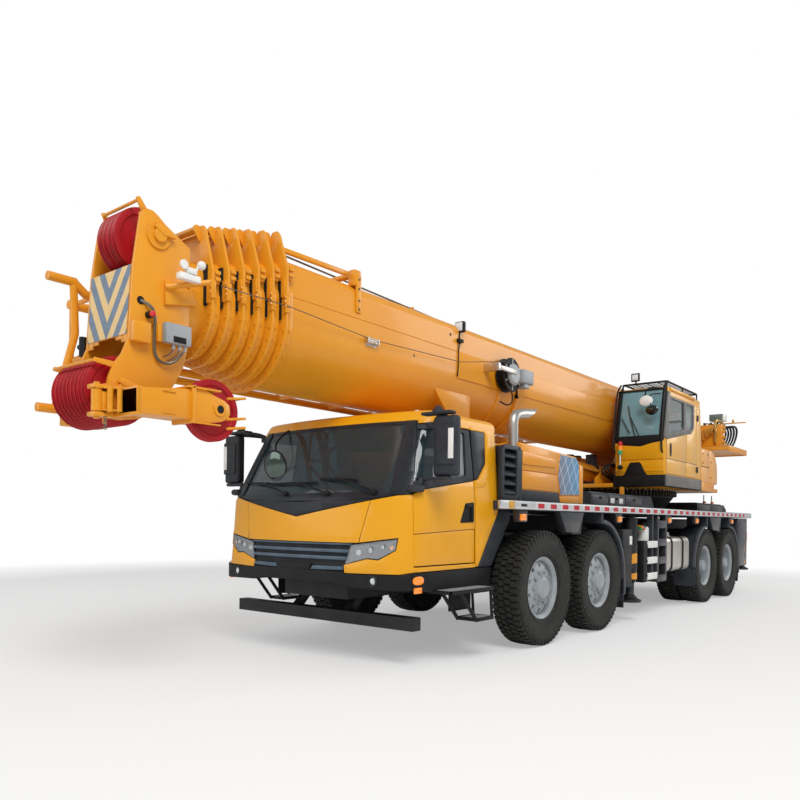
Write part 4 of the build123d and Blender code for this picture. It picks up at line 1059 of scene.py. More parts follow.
def head_middle():
    """Front plate cut out over the lower sheaves, cross plates, and both sheave pins."""
    inside = (-HEAD_HALF, HEAD_HALF)
    parts = [drawn(((4.1, 3.145), (4.121, 3.145), (4.15, 2.63), (4.13, 2.63)), "y", *inside, 0.003)]
    for low, high, foot in (
        (-HEAD_HALF, -0.2, 2.58), (0.2, HEAD_HALF, 2.58), (-0.2, -0.12, 2.605), (0.12, 0.2, 2.605)
    ):
        parts.append(block((4.13, 4.15), (low, high), (foot, 2.64), 0.002))
    return parts + [
        drawn(((3.642, 3.3), (3.665, 3.3), (3.665, 2.68), (3.642, 2.68)), "y", *inside),
        drawn(((3.7, 2.56), (3.9, 2.5), (3.9, 2.53), (3.7, 2.6)), "y", *inside, 0.003),
        pin(*UPPER_PIN, inside, 0.045), pin(*LOWER_PIN, inside, 0.045)
    ]


def rope_guards():
    """Guard bars over both packs of sheaves, between their ears."""
    ear = ((4.07, 3.655), (4.045, 3.668), (4.03, 3.655), (3.955, 3.56), (4.01, 3.53))
    arm = ((4.4, 2.42), (4.41, 2.39), (4.2, 2.36), (4.2, 2.41))
    parts = [bar((4.052, -0.24, 3.64), (4.052, 0.24, 3.64), 0.012)]
    for side in (-1, 1):
        parts += [
            drawn(ear, "y", side * 0.232, side * 0.25, 0.003),
            block((4.02, 4.05), (side * 0.24, side * 0.3), (3.47, 3.55), 0.004)
        ]
    parts.append(bar((4.4, -0.28, 2.4), (4.4, 0.28, 2.4), 0.012))
    return parts + [drawn(arm, "y", side * 0.276, side * 0.292, 0.003) for side in (-1, 1)]


def head_fittings():
    """Trough on the right, lugs of the auxiliary arm, and the bracket and box seats on the left."""
    return [
        block((3.99, 4.3), (-0.4, -HEAD_SIDE), (2.0, 2.19), 0.008),
        block((4.24, 4.455), (0.295, 0.395), (2.0, 2.03), 0.004),
        block((4.24, 4.455), (0.295, 0.395), (2.19, 2.22), 0.004),
        bar((4.42, 0.36, 1.985), (4.42, 0.36, 2.235), 0.02),
        bar((4.35, 0.34, 1.96), (4.35, 0.34, 2.235), 0.014),
        bar((3.87, 0.33, 3.03), (3.6, 0.5, 3.1), 0.022),
        block((4.01, 4.15), (HEAD_SIDE, 0.37), (2.575, 2.725), 0.01),
        block((3.71, 3.95), (HEAD_SIDE, 0.36), (2.61, 2.74), 0.004)
    ]


def head_cables():
    """Cable hole, grey junction box with its glands, and the leads that run to it."""
    hole = pin(4.06, 2.89, (HEAD_SIDE, 0.306), 0.03, 24)
    boxes = [block((3.7, 3.92), (0.36, 0.42), (2.6, 2.75), 0.01)]
    boxes += [bar((x, 0.39, 2.56), (x, 0.39, 2.605), 0.012, 10) for x in (3.74, 3.79, 3.84)]
    window = block((3.75, 3.86), (0.42, 0.424), (2.61, 2.655), 0.002)
    main = [
        (4.06, 0.3, 2.89), (4.0, 0.335, 2.87), (3.95, 0.33, 2.8), (3.96, 0.32, 2.62), (3.95, 0.32, 2.5),
        (3.88, 0.33, 2.45), (3.79, 0.35, 2.48), (3.75, 0.38, 2.56)
    ]
    leads = [
        pipe(main, 0.011, 8), pipe([(3.79, 0.39, 2.57), (3.8, 0.38, 2.5), (3.86, 0.34, 2.48)], 0.005, 6),
        pipe([(3.84, 0.39, 2.57), (3.85, 0.38, 2.52), (3.9, 0.34, 2.5)], 0.005, 6)
    ]
    parts = coat(hole, "black trim") + coat(boxes, "rim paint")
    return parts + coat(window, "black trim") + coat(leads, "rope")


def head_sensors():
    """Warning lamp, camera, and the white wind sensor with its ball."""
    seats = [pin(4.0, 2.795, (HEAD_SIDE, 0.345), 0.026, 20), pin(4.14, 2.63, (-0.42, -0.35), 0.02)]
    lamp = pin(4.0, 2.795, (0.345, 0.385), 0.022, 24, 0.01)
    camera = bar((4.14, -0.36, 2.55), (4.14, -0.36, 2.7), 0.03)
    white = [
        block((3.68, 3.86), (0.44, 0.5), (3.07, 3.12), 0.008),
        block((3.72, 3.8), (0.45, 0.51), (3.12, 3.165), 0.01), pin(3.83, 3.175, (0.49, 0.505), 0.034, 28),
        bar((3.72, 0.48, 3.15), (3.7, 0.5, 3.2), 0.01, 10)
    ]
    ball = primitive("uv_sphere", segments=24, ring_count=14, radius=0.034, location=at(3.68, 0.5, 3.205))
    white.append(set_place(ball))
    parts = coat(seats, "black trim") + coat(lamp, "red lens")
    return parts + coat(camera, "black trim") + coat(white, "white paint")


def chevrons():
    """Sand and slate bands pointing down over the front plate, each cut to the plate."""
    tall, fall, rise = 0.515, 0.13056, HEAD_HALF * 1.62
    thicken = ("extrude_region_move", {"TRANSFORM_OT_translate": {"value": (0.002, 0, 0)}})
    parts = []
    for row in range(-8, 8):
        tip = row * fall
        for reach in (-HEAD_HALF, HEAD_HALF):
            band = ((0, tip), (0, tip + fall), (reach, tip + fall - rise), (reach, tip - rise))
            shape = clip_box(band, -HEAD_HALF, HEAD_HALF, 0.004, tall - 0.004)
            if len(shape) < 3:
                continue
            piece = primitive("circle", vertices=len(shape), fill_type="NGON")
            for vertex, (y, below) in zip(piece.data.vertices, shape):
                vertex.co = at(4.123 + 0.029 * (below / tall), y, 3.145 - below)
            edit(piece, ("select_all", {"action": "SELECT"}), thicken, MEND[1])
            parts += coat(piece, "chevron slate" if row % 2 else "chevron sand")
    return parts


def sheave_pack(axis, count, pitch):
    """Row of grooved red sheaves on one pin, with rope on every other one."""
    half = pitch / 2 - 0.002
    # Half of a sheave's outline, and a turn of rope, as radius and distance from the sheave's middle
    side = (
        (0.046, pitch / 2), (0.09, pitch / 2), (0.1, 0.014), (0.19, 0.014), (0.2, half - 0.002),
        (0.243, half - 0.003), (0.249, half - 0.006), (0.247, half - 0.012), (0.226, 0.007)
    )
    turn = ((0.222, -0.006), (0.233, -0.006), (0.237, 0), (0.233, 0.006), (0.222, 0.006))
    middles = [(index - (count - 1) / 2) * pitch for index in range(count)]
    red = []
    for y in middles:
        profile = [(r, y - out) for r, out in side] + [(0.222, y)] + [
            (r, y + out) for r, out in reversed(side)
        ]
        red.append(spun(profile, axis, "y", 72))
    ropes = [spun([(r, y + out) for r, out in turn], axis, "y", 56) for y in middles[::2]]
    return coat(red, "red paint") + coat(ropes, "rope")


def arm_box():
    """Box of the auxiliary arm with its end plates, hinge tubes and two shaped flanges."""
    box = ((4.3, 2.02), (4.3, 2.19), (3.86, 2.24), (3.83, 2.12), (3.86, 2.02))
    flange = ((4.4, 0.33), (4.4, 0.41), (4.28, 0.5), (4.1, 0.67), (4.0, 0.67), (4.0, 0.43), (4.28, 0.37))
    return [
        drawn(box, "y", 0.44, 0.66, 0.006), block((3.84, 3.87), (0.42, 0.68), (1.995, 2.265), 0.004),
        block((4.26, 4.3), (0.375, 0.66), (2.005, 2.2), 0.006),
        block((4.28, 4.4), (0.375, 0.4), (2.05, 2.17), 0.004), drawn(flange, "z", 2.19, 2.205, 0.003),
        drawn(flange, "z", 2.04, 2.05, 0.002), bar((4.42, 0.36, 2.036), (4.42, 0.36, 2.184), 0.036),
        bar((4.36, 0.43, 2.03), (4.36, 0.43, 2.2), 0.022), bar((4.33, 0.5, 2.03), (4.33, 0.5, 2.19), 0.018)
    ]


def arm_fork():
    """Forked cheeks of the auxiliary arm, with the rope guard pins in front of its sheave."""
    cheek = (
        (3.86, 2.25), (3.75, 2.25), (3.66, 2.215), (3.57, 2.19), (3.53, 2.16), (3.52, 2.1), (3.54, 2.06),
        (3.6, 2.03), (3.7, 2.01), (3.86, 2.0)
    )
    parts = [
        drawn(cheek, "y", 0.44, 0.462, 0.005), drawn(cheek, "y", 0.638, 0.66, 0.005),
        pin(*ARM_PIN, (0.42, 0.445), 0.052), pin(*ARM_PIN, (0.655, 0.672), 0.052),
        block((3.62, 3.86), (0.655, 0.68), (1.995, 2.005), 0.002),
        block((3.62, 3.9), (0.43, 0.68), (2.245, 2.258), 0.002)
    ]
    for z in (2.225, 2.07, 2.0):
        parts += [bar((3.55, y, z - 0.015), (3.375, y, z + 0.01), 0.01, 10) for y in (0.655, 0.445)]
        parts.append(bar((3.385, 0.44, z + 0.008), (3.385, 0.66, z + 0.008), 0.008, 10))
    return parts


def arm_sheave():
    """Black cap and red sheave of the auxiliary arm, and the safety chain under the hinge."""
    cap = pin(*ARM_PIN, (0.67, 0.676), 0.03)
    profile = (
        (0.03, 0.5), (0.075, 0.5), (0.08, 0.525), (0.18, 0.53), (0.19, 0.518), (0.228, 0.516),
        (0.234, 0.522), (0.215, 0.543), (0.212, 0.55), (0.215, 0.557), (0.234, 0.578), (0.228, 0.584),
        (0.19, 0.582), (0.18, 0.57), (0.08, 0.575), (0.075, 0.6), (0.03, 0.6)
    )
    sheave = spun(profile, at(ARM_PIN[0], 0, ARM_PIN[1]), "y", 80)
    links = []
    for index in range(5):
        link = primitive(
            "torus", major_radius=0.011, minor_radius=0.003, major_segments=12, minor_segments=6
        )
        turn = Matrix.Rotation(math.pi / 2, 4, "X") @ Matrix.Rotation(math.pi / 2 * (index % 2), 4, "Y")
        link.data.transform(Matrix.Translation(at(4.4, 0.44, 1.985 - index * 0.017)) @ turn)
        links.append(link)
    return coat(cap, "black trim") + coat(sheave, "red paint") + coat(links, "rope")


class CRANE_OT_head(bpy.types.Operator):
    """Boom head with its chevrons, sheaves, sensors and auxiliary sheave arm"""

    bl_idname = "crane.head"
    bl_label = "Boom head"

    def execute(self, context):
        drop = SECTION_STEP * 6
        steel = [drawn(boom_outline(BOOM_HALF - drop, BOOM_TOP - drop), "x", -6.01, 3.665, 0.0)]
        steel += head_side(-1) + head_side(1) + head_middle() + rope_guards() + head_fittings()
        parts = coat(steel, "boom paint") + head_cables() + head_sensors() + chevrons()
        assemble("boom_head_dressed", "boom_head", parts, ["boom_head"])
        packs = (("upper_sheaves", UPPER_PIN, 4, 0.062), ("lower_sheaves", LOWER_PIN, 9, 0.054))
        for name, (x, z), count, pitch in packs:
            assemble(name + "_grooved", name, sheave_pack(at(x, 0, z), count, pitch), [name])
        parts = coat(arm_box() + arm_fork(), "boom paint") + arm_sheave()
        assemble("aux_arm_dressed", "aux_arm", parts, ["aux_arm"])
        return {"FINISHED"}


def clip_box(points, low_a, high_a, low_b, high_b):
    """Polygon cut to a box, side by side."""
    for index, limit, keep_over in (
        (0, low_a, True), (0, high_a, False), (1, low_b, True), (1, high_b, False)
    ):
        kept = []
        for here, there in zip(points, points[1:] + points[:1]):
            inside = here[index] >= limit if keep_over else here[index] <= limit
            next_in = there[index] >= limit if keep_over else there[index] <= limit
            if inside:
                kept.append(here)
            if inside != next_in:
                share = (limit - here[index]) / (there[index] - here[index])
                kept.append(tuple(a + (b - a) * share for a, b in zip(here, there)))
        points = tuple(kept)
        if not points:
            return ()
    return points


# ---------------------------------------------------------------- sheets that follow a curved skin


def eased(outline, radius, steps=4):
    """Outline with every corner rounded."""
    out = []
    count = len(outline)
    for index, point in enumerate(outline):
        corner = Vector(point)
        ends = []
        for other in (outline[index - 1], outline[(index + 1) % count]):
            run = Vector(other) - corner
            ends.append(corner + run.normalized() * min(radius, run.length * 0.45))
        for step in range(steps + 1):
            share = step / steps
            spot = ends[0].lerp(corner, share).lerp(corner.lerp(ends[1], share), share)
            out.append((spot.x, spot.y))
    return out


def patch(outline, place, thick=0.012, grid=0.07, bevel=0.003, corner=0.0):
    """Sheet cut to an outline and laid on a surface, with its thickness and eased edges."""
    if corner:
        outline = eased(outline, corner)
    area = sum(a[0] * b[1] - b[0] * a[1] for a, b in zip(outline, outline[1:] + outline[:1]))
    if area < 0:
        outline = outline[::-1]
    piece = primitive("circle", vertices=len(outline), fill_type="NGON")
    for vertex, (a, b) in zip(piece.data.vertices, outline):
        vertex.co = (a, b, 0)
    steps = []
    for axis in (0, 1):
        values = [point[axis] for point in outline]
        low, high = min(values), max(values)
        count = int((high - low) / grid)
        for index in range(count):
            value = low + (high - low) * (index + 1) / (count + 1)
            if min(abs(value - other) for other in values) < 0.006:
                continue
            cut = {"plane_co": (value, 0, 0), "plane_no": (1, 0, 0)}
            if axis:
                cut = {"plane_co": (0, value, 0), "plane_no": (0, 1, 0)}
            steps.append(("bisect", cut))
    edit(piece, *steps)
    for vertex in piece.data.vertices:
        vertex.co = at(*place(vertex.co.x, vertex.co.y))
    finish_with(piece, "SOLIDIFY", thickness=thick, offset=-1)
    if bevel:
        finish_with(
            piece, "BEVEL", width=bevel, segments=2, limit_method="ANGLE", angle_limit=math.radians(50)
        )
    return piece


def finish_with(piece, kind, **settings):
    """Put a modifier on a piece and apply it."""
    made = piece.modifiers.new(kind.lower(), kind)
    for key, value in settings.items():
        setattr(made, key, value)
    bpy.ops.object.select_all(action="DESELECT")
    piece.select_set(True)
    bpy.context.view_layer.objects.active = piece
    bpy.ops.object.modifier_apply(modifier=made.name)
    return piece


def ease_solid(node, width):
    """Merge a carried-over solid's loose triangles, ease its edges, and shade it, all by modifiers."""
    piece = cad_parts[node]
    weld = piece.modifiers.new("weld", "WELD")
    weld.merge_threshold = 1e-5
    plain = piece.modifiers.new("plain", "DECIMATE")
    plain.decimate_type = "DISSOLVE"
    plain.angle_limit = math.radians(1)
    edge = piece.modifiers.new("edge", "BEVEL")
    edge.width = width
    edge.segments = 2
    edge.limit_method = "ANGLE"
    edge.angle_limit = math.radians(35)
    bpy.ops.object.select_all(action="DESELECT")
    piece.select_set(True)
    bpy.context.view_layer.objects.active = piece
    bpy.ops.object.shade_smooth_by_angle(angle=math.radians(35))


# ---------------------------------------------------------------- driver's cab

# Plan of the cab at rising heights: height, rear station, half width, front end of the side,
# corner station, corner half width and nose station
CAB_PLAN = (
    (0.87, 0.60, 1.245, 1.985, 2.09, 1.15, 2.245), (1.5, 0.59, 1.24, 1.93, 2.01, 1.16, 2.2),
    (2.285, 0.545, 1.155, 1.56, 1.645, 1.055, 1.76), (2.345, 0.59, 1.08, 1.47, 1.55, 0.97, 1.66)
)
DOOR_PANEL = ((1.974, 0.913), (1.974, 1.506), (1.765, 2.197), (1.03, 2.197), (1.02, 1.5), (1.02, 0.913))


def cab_plan(z):
    """Row of the cab's plan at a height."""
    z = min(max(z, CAB_PLAN[0][0]), CAB_PLAN[-1][0])
    for low, high in zip(CAB_PLAN, CAB_PLAN[1:]):
        if z <= high[0]:
            share = (z - low[0]) / (high[0] - low[0])
            return [a + (b - a) * share for a, b in zip(low, high)]


def cab_edge(q, z):
    """Station and width of the cab's outline at a distance round it from the middle of the nose."""
    _, _, half, side_end, corner_x, corner_y, nose = cab_plan(z)
    side = 1 if q >= 0 else -1
    q = abs(q)
    if q <= corner_y:
        sag = nose - corner_x
        radius = (corner_y**2 + sag**2) / (2 * sag)
        return nose - radius + math.sqrt(radius**2 - q * q), side * q
    facet = math.hypot(side_end - corner_x, half - corner_y)
    q -= corner_y
    if q <= facet:
        share = q / facet
        return corner_x + (side_end - corner_x) * share, side * (corner_y + (half - corner_y) * share)
    return side_end - (q - facet), side * half


def round_cab(station, z):
    """Distance round the cab from its nose to a station on its left side."""
    _, _, half, side_end, corner_x, corner_y, _ = cab_plan(z)
    return corner_y + math.hypot(side_end - corner_x, half - corner_y) + side_end - station


def cab_skin(q, z, out=0.0):
    """Point on the cab's skin, with its corners rounded, or at a distance out from it."""
    spots = [Vector(cab_edge(q + shift, z)) for shift in (-0.07, -0.045, -0.02, 0.0, 0.02, 0.045, 0.07)]
    spot = sum(spots, Vector((0, 0))) / len(spots)
    run = spots[-1] - spots[0]
    spot += Vector((run.y, -run.x)).normalized() * out
    return spot.x, spot.y, z


def front_sheet(outline, out=0.0, **settings):
    """Sheet on the cab's front, from distances round the cab and heights."""
    return patch(outline, lambda q, z: cab_skin(q, z, out), **settings)


def side_sheet(outline, out=0.0, **settings):
    """Sheet on the cab's left side, from stations and heights."""
    turned = [(-s, z) for s, z in outline]
    return patch(turned, lambda s, z: cab_skin(round_cab(-s, z), z, out), **settings)


def both_halves(half):
    """Outline whose right half mirrors its left."""
    return half + [(-q, z) for q, z in reversed(half)]


def cab_panels():
    """Painted skin of the cab around its doors, with the roof."""
    hood = front_sheet([(-0.745, 1.107), (0.745, 1.107), (0.832, 1.486), (0, 1.336), (-0.832, 1.486)])
    edge = round_cab(1.98, 1.545)
    corner = front_sheet([
        (0.752, 1.107), (0.839, 1.487), (1.075, 1.53), (edge + 0.012, 1.54), (round_cab(1.98, 1.5), 1.5),
        (round_cab(1.98, 1.2), 1.2), (round_cab(1.98, 0.86), 0.86), (1.16, 0.842), (0.618, 0.835),
        (0.612, 0.905), (0.843, 0.966), (0.955, 0.958), (1.115, 1.048), (1.127, 1.16), (0.672, 1.1)
    ])
    rear = side_sheet([
        (1.008, 0.872), (1.008, 1.706), (0.935, 1.722), (0.772, 1.885), (0.738, 2.205), (1.008, 2.205),
        (1.008, 2.236), (0.552, 2.236), (0.592, 1.5), (0.595, 1.42), (0.97, 0.872)
    ])
    sill = side_sheet([(1.98, 0.86), (1.98, 0.902), (1.012, 0.902), (1.012, 0.866)], bevel=0.002)
    header = side_sheet([(1.755, 2.21), (1.012, 2.21), (1.012, 2.236), (1.74, 2.236)], bevel=0.002)
    back = patch(
        [(-1.225, 1.44), (1.225, 1.44), (1.228, 1.5), (1.118, 2.236), (-1.118, 2.236), (-1.228, 1.5)],
        lambda a, z: (cab_plan(z)[1], -a, z), grid=0.2
    )
    back = pierced(back, [block((0.4, 0.9), (-0.78, 0.78), (1.65, 2.1), 0)])
    border = [
        (1.004, 1.633), (1.004, 1.702), (0.93, 1.717), (0.767, 1.88), (0.732, 2.195), (0.62, 2.195),
        (0.66, 1.85), (0.83, 1.655)
    ]
    border = side_sheet(border, 0.008, bevel=0.007)
    facet = side_sheet(
        [(0.86, 1.235), (0.62, 1.39), (0.6, 1.41), (0.965, 0.885), (1.0, 0.885), (1.0, 1.05)], 0.006,
        bevel=0.005
    )
    slope = patch(
        [(-1.24, 0.0), (1.24, 0.0), (1.23, 1.0), (-1.23, 1.0)], lambda a,
        t: (0.97 - 0.375 * t, -a, 0.872 + 0.575 * t), grid=0.3
    )
    return [hood, *mirrored([corner, rear, sill, header, border, facet]), back, slope, cab_roof()]


def cab_roof():
    """Roof: rings of the cab's outline drawn in over its rounded edge, bridged and closed."""
    rings = (
        (2.236, 0.0), (2.262, 0.0), (2.285, 0.004), (2.306, 0.014), (2.324, 0.034), (2.337, 0.066),
        (2.345, 0.13)
    )
    count = 72
    hoops = []
    for z, inset in rings:
        low = min(z, 2.285)
        reach = round_cab(cab_plan(low)[1], low)
        spots = []
        for index in range(count):
            q = reach * (1 - 2 * index / (count - 1))
            spots.append(cab_skin(q, low, -inset)[:2])
        spots = [(x + (inset * 0.8 if i in (0, count - 1) else 0), y) for i, (x, y) in enumerate(spots)]
        hoop = primitive("circle", vertices=count, fill_type="NOTHING")
        for vertex, (x, y) in zip(hoop.data.vertices, spots):
            vertex.co = at(x, y, z)
        hoops.append(hoop)
    roof = joined(hoops)
    edit(roof, ("bridge_edge_loops", {}))
    bpy.ops.object.mode_set(mode="EDIT")
    bpy.ops.mesh.select_all(action="DESELECT")
    bpy.ops.object.mode_set(mode="OBJECT")
    for vertex in roof.data.vertices:
        vertex.select = vertex.co.z > 2.3449
    for line in roof.data.edges:
        line.select = all(roof.data.vertices[i].co.z > 2.3449 for i in line.vertices)
    bpy.ops.object.mode_set(mode="EDIT")
    bpy.ops.mesh.edge_face_add()
    bpy.ops.object.mode_set(mode="OBJECT")
    edit(roof, MEND[1])
    return finish_with(roof, "SOLIDIFY", thickness=0.012, offset=-1)


def cab_dark_trim():
    """Panel under the windscreen, cowl, pillars and the quarter panels behind the doors."""
    vee = front_sheet([
        (0, 1.343), (1.06, 1.533), (0.85, 1.501), (0, 1.476), (-0.85, 1.501), (-1.06, 1.533)
    ])
    cowl = front_sheet(
        both_halves([(1.0, 1.562), (1.12, 1.6), (1.15, 1.55), (1.07, 1.538), (0.85, 1.507), (0.4, 1.487)]),
        -0.004
    )
    pillar = front_sheet(
        [
            (1.0, 1.556), (1.07, 1.54), (round_cab(1.985, 1.55), 1.548), (round_cab(1.962, 1.56), 1.56),
            (round_cab(1.866, 1.88), 1.88), (round_cab(1.771, 2.2), 2.2), (round_cab(1.76, 2.238), 2.238),
            (0.916, 2.238)
        ],
        0.004
    )
    quarter = side_sheet(
        [(1.004, 2.2), (1.004, 1.715), (0.94, 1.728), (0.779, 1.889), (0.745, 2.2)], corner=0.02
    )
    lintel = front_sheet(both_halves([(0.914, 2.2), (0.908, 2.238)]), -0.002)
    return [vee, cowl, *mirrored([pillar, quarter]), lintel]


def headlamp():
    """Left headlamp: reflector, projector, bulbs and a clear cover."""
    outline = [(0.67, 1.086), (1.117, 1.148), (1.107, 1.054), (0.951, 0.968), (0.843, 0.976), (0.62, 0.914)]
    bowl = coat(front_sheet(outline, -0.045, thick=0.006), "chrome")
    cover = coat(front_sheet(outline, -0.002, thick=0.004, bevel=0.001), "lamp cover")
    rim = front_sheet(outline, -0.006, thick=0.036, bevel=0)
    inner = [(q * 0.955 + 0.039, z * 0.93 + 0.072) for q, z in outline]
    hollow = front_sheet(inner, 0.04, thick=0.12, bevel=0)
    rim = coat(pierced(rim, [hollow]), "grey trim")
    parts = []
    for q, z, radius in ((0.865, 1.045, 0.04), (0.985, 1.075, 0.033)):
        x, y, _ = cab_skin(q, z, -0.03)
        ring = [
            (radius, 0.0), (radius, 0.02), (radius * 0.86, 0.022), (radius * 0.8, 0.004),
            (radius * 0.8, 0.0)
        ]
        ring = spun(ring, at(x, y, z), "x", 32)
        ball = spun(
            [(0, -0.01), (radius * 0.8, -0.01), (radius * 0.7, 0.008), (radius * 0.4, 0.018), (0, 0.021)],
            at(x, y, z), "x", 32
        )
        parts += coat(ring, "grey trim") + coat(ball, "clear lens")
    for q, z, size in ((1.062, 1.07, 0.022), (0.74, 1.02, 0.03)):
        x, y, _ = cab_skin(q, z, -0.034)
        bulb = spun([(0, 0), (size, 0), (size * 0.8, 0.012), (0, 0.018)], at(x, y, z), "x", 24)
        parts += coat(bulb, "amber lens" if q > 1 else "clear lens")
    return [*bowl, *cover, *rim, *parts]


def grille():
    """Slats over a mesh, with the lips under them."""
    mesh = front_sheet(both_halves([(0.7, 0.85), (0.69, 1.118)]), -0.04, thick=0.008)
    slats = []
    for low, high, reach in ((1.016, 1.046, 0.655), (0.95, 0.982, 0.64)):
        slats.append(front_sheet(
            both_halves([(reach - 0.012, low), (reach, high)]), 0.004, thick=0.03, bevel=0.006
        ))
    slats.append(front_sheet(both_halves([(0.665, 1.085), (0.668, 1.1)]), -0.004, thick=0.02, bevel=0.002))
    lip = [(0.23, 0.853), (0.6, 0.86), (0.598, 0.893), (0.25, 0.89)]
    slats += mirrored([front_sheet(lip, 0.006, thick=0.03)])
    plate = front_sheet(both_halves([(0.215, 0.83), (0.235, 0.903)]), 0.012, thick=0.03, bevel=0.005)
    return coat(mesh, "grille mesh") + coat(slats, "slat") + coat(plate, "black trim")


def bumper_and_skirts():
    """Bumper, skirts under the doors, raking panels over the wheels, fog lamps and side lamps."""
    corner = round_cab(1.995, 0.8)
    half = [
        (0.49, 0.742), (0.6, 0.712), (1.15, 0.697), (corner, 0.703), (corner, 0.852), (1.16, 0.835),
        (0.63, 0.828), (0.6, 0.848)
    ]
    black = [front_sheet(both_halves(half), 0.012, thick=0.05, bevel=0.006)]
    skirt = drawn(
        ((2.0, 0.703), (2.0, 0.853), (0.73, 0.858), (0.73, 0.66), (0.78, 0.612), (1.0, 0.612), (1.4, 0.64)),
        "y", 1.02, 1.246, 0.006
    )
    under = block((1.7, 2.05), (0.45, 1.18), (0.72, 0.84), 0.01)
    rake = drawn(
        ((0.7, 0.862), (0.985, 0.862), (0.6, 1.43), (0.33, 1.43), (0.345, 1.33)), "y", 1.0, 1.238, 0.012, 3
    )
    seam = drawn(((0.86, 0.87), (0.97, 0.87), (0.59, 1.42), (0.5, 1.42)), "y", 1.236, 1.243, 0.004)
    grey = coat(mirrored([rake, seam]), "grey trim")
    black = coat(black + mirrored([skirt, under]), "black trim")
    lamps = []
    for kind, s, z, long, tall in (
        ("oval", 1.93, 0.786, 0.075, 0.037), ("square", 1.935, 0.7, 0.055, 0.026)
    ):
        outline = [(s - long, z - tall), (s + long, z - tall), (s + long, z + tall), (s - long, z + tall)]
        if kind == "oval":
            outline = eased(outline, 0.2, 8)
        lamps += coat(drawn(outline, "y", 1.244, 1.256, 0.004), "amber lens")
    x, y, _ = cab_skin(0.914, 0.775, 0.012)
    ring = [(0.05, -0.03), (0.05, 0.006), (0.04, 0.012), (0.036, 0.0), (0.036, -0.03)]
    lamps += coat(spun(ring, at(x, y, 0.775), "x", 32), "grey trim")
    glass = [(0, -0.02), (0.037, -0.02), (0.036, -0.004), (0.02, 0.006), (0, 0.009)]
    lamps += coat(spun(glass, at(x, y, 0.775), "x", 32), "clear lens")
    return black + grey + mirrored(lamps)


def steps_and_guard():
    """Boarding steps below the doors."""
    parts, treads = [], []
    for low, high, y, z in ((0.95, 1.69, (1.15, 1.435), 0.672), (0.97, 1.26, (1.2, 1.435), 0.395)):
        parts += [
            block((low, high), (y[0], y[0] + 0.02), (z - 0.017, z + 0.017), 0.003),
            block((low, high), (y[1] - 0.02, y[1]), (z - 0.017, z + 0.017), 0.003)
        ]
        for s in (low, high - 0.02):
            parts.append(block((s, s + 0.02), y, (z - 0.017, z + 0.017), 0.003))
        count = int((high - low) / 0.03)
        bar = block(
            (low + 0.02, low + 0.03), (y[0] + 0.015, y[1] - 0.015), (z - 0.012, z + 0.016), 0.002, 1
        )
        treads += copies(bar, [(index * (high - low - 0.045) / count, 0, 0) for index in range(count + 1)])
        rail = block(
            (low + 0.02, high - 0.02), ((y[0] + y[1]) / 2 - 0.006, (y[0] + y[1]) / 2 + 0.006),
            (z - 0.014, z + 0.014), 0
        )
        treads.append(rail)
    for y in (1.21, 1.42):
        parts += [
            pipe([(1.5, y - 0.02, 0.66), (1.3, y, 0.44), (1.25, y, 0.385)], 0.018, 10),
            pipe([(0.98, y - 0.02, 0.66), (0.98, y, 0.39)], 0.014, 8)
        ]
    parts.append(block((1.0, 1.36), (1.17, 1.19), (0.46, 0.65), 0.006))
    return coat(mirrored(parts), "black trim") + coat(mirrored(treads), "tread")


def wipers():
    """Three wipers on the windscreen."""
    parts = []
    for pivot, (near, far) in (
        ((-0.187, 1.551), ((-1.0, 1.69), (-0.268, 1.655))),
        ((0.363, 1.551), ((-0.357, 1.664), (0.19, 1.66))), ((0.858, 1.558), ((0.2, 1.7), (0.64, 1.678)))
    ):
        base = at(*cab_skin(*pivot, 0.0))
        turn = Vector((1, 0, 0.45)).to_track_quat("Z", "X").to_matrix().to_4x4()
        boss = spun(
            ((0, -0.01), (0.026, -0.01), (0.022, 0.03), (0.012, 0.042), (0, 0.044)), (0, 0, 0), "z", 20
        )
        boss.data.transform(Matrix.Translation(base) @ turn)
        middle_q, middle_z = (near[0] + far[0]) / 2, (near[1] + far[1]) / 2
        arm = pipe(
            [
                cab_skin(*pivot, 0.03), cab_skin((pivot[0] + middle_q) / 2, middle_z - 0.03, 0.045),
                cab_skin(middle_q, middle_z, 0.03)
            ],
            0.009, 8
        )
        count = 6
        spots = []
        for index in range(count):
            share = index / (count - 1)
            q, z = near[0] + (far[0] - near[0]) * share, near[1] + (far[1] - near[1]) * share
            spots.append(cab_skin(q, z, 0.016))
        parts += [
            boss, arm, pipe(spots, 0.009, 6),
            pipe(
                [cab_skin(middle_q - 0.12, middle_z, 0.027), cab_skin(middle_q + 0.12, middle_z, 0.027)],
                0.007, 6
            )
        ]
    return coat(parts, "black trim")


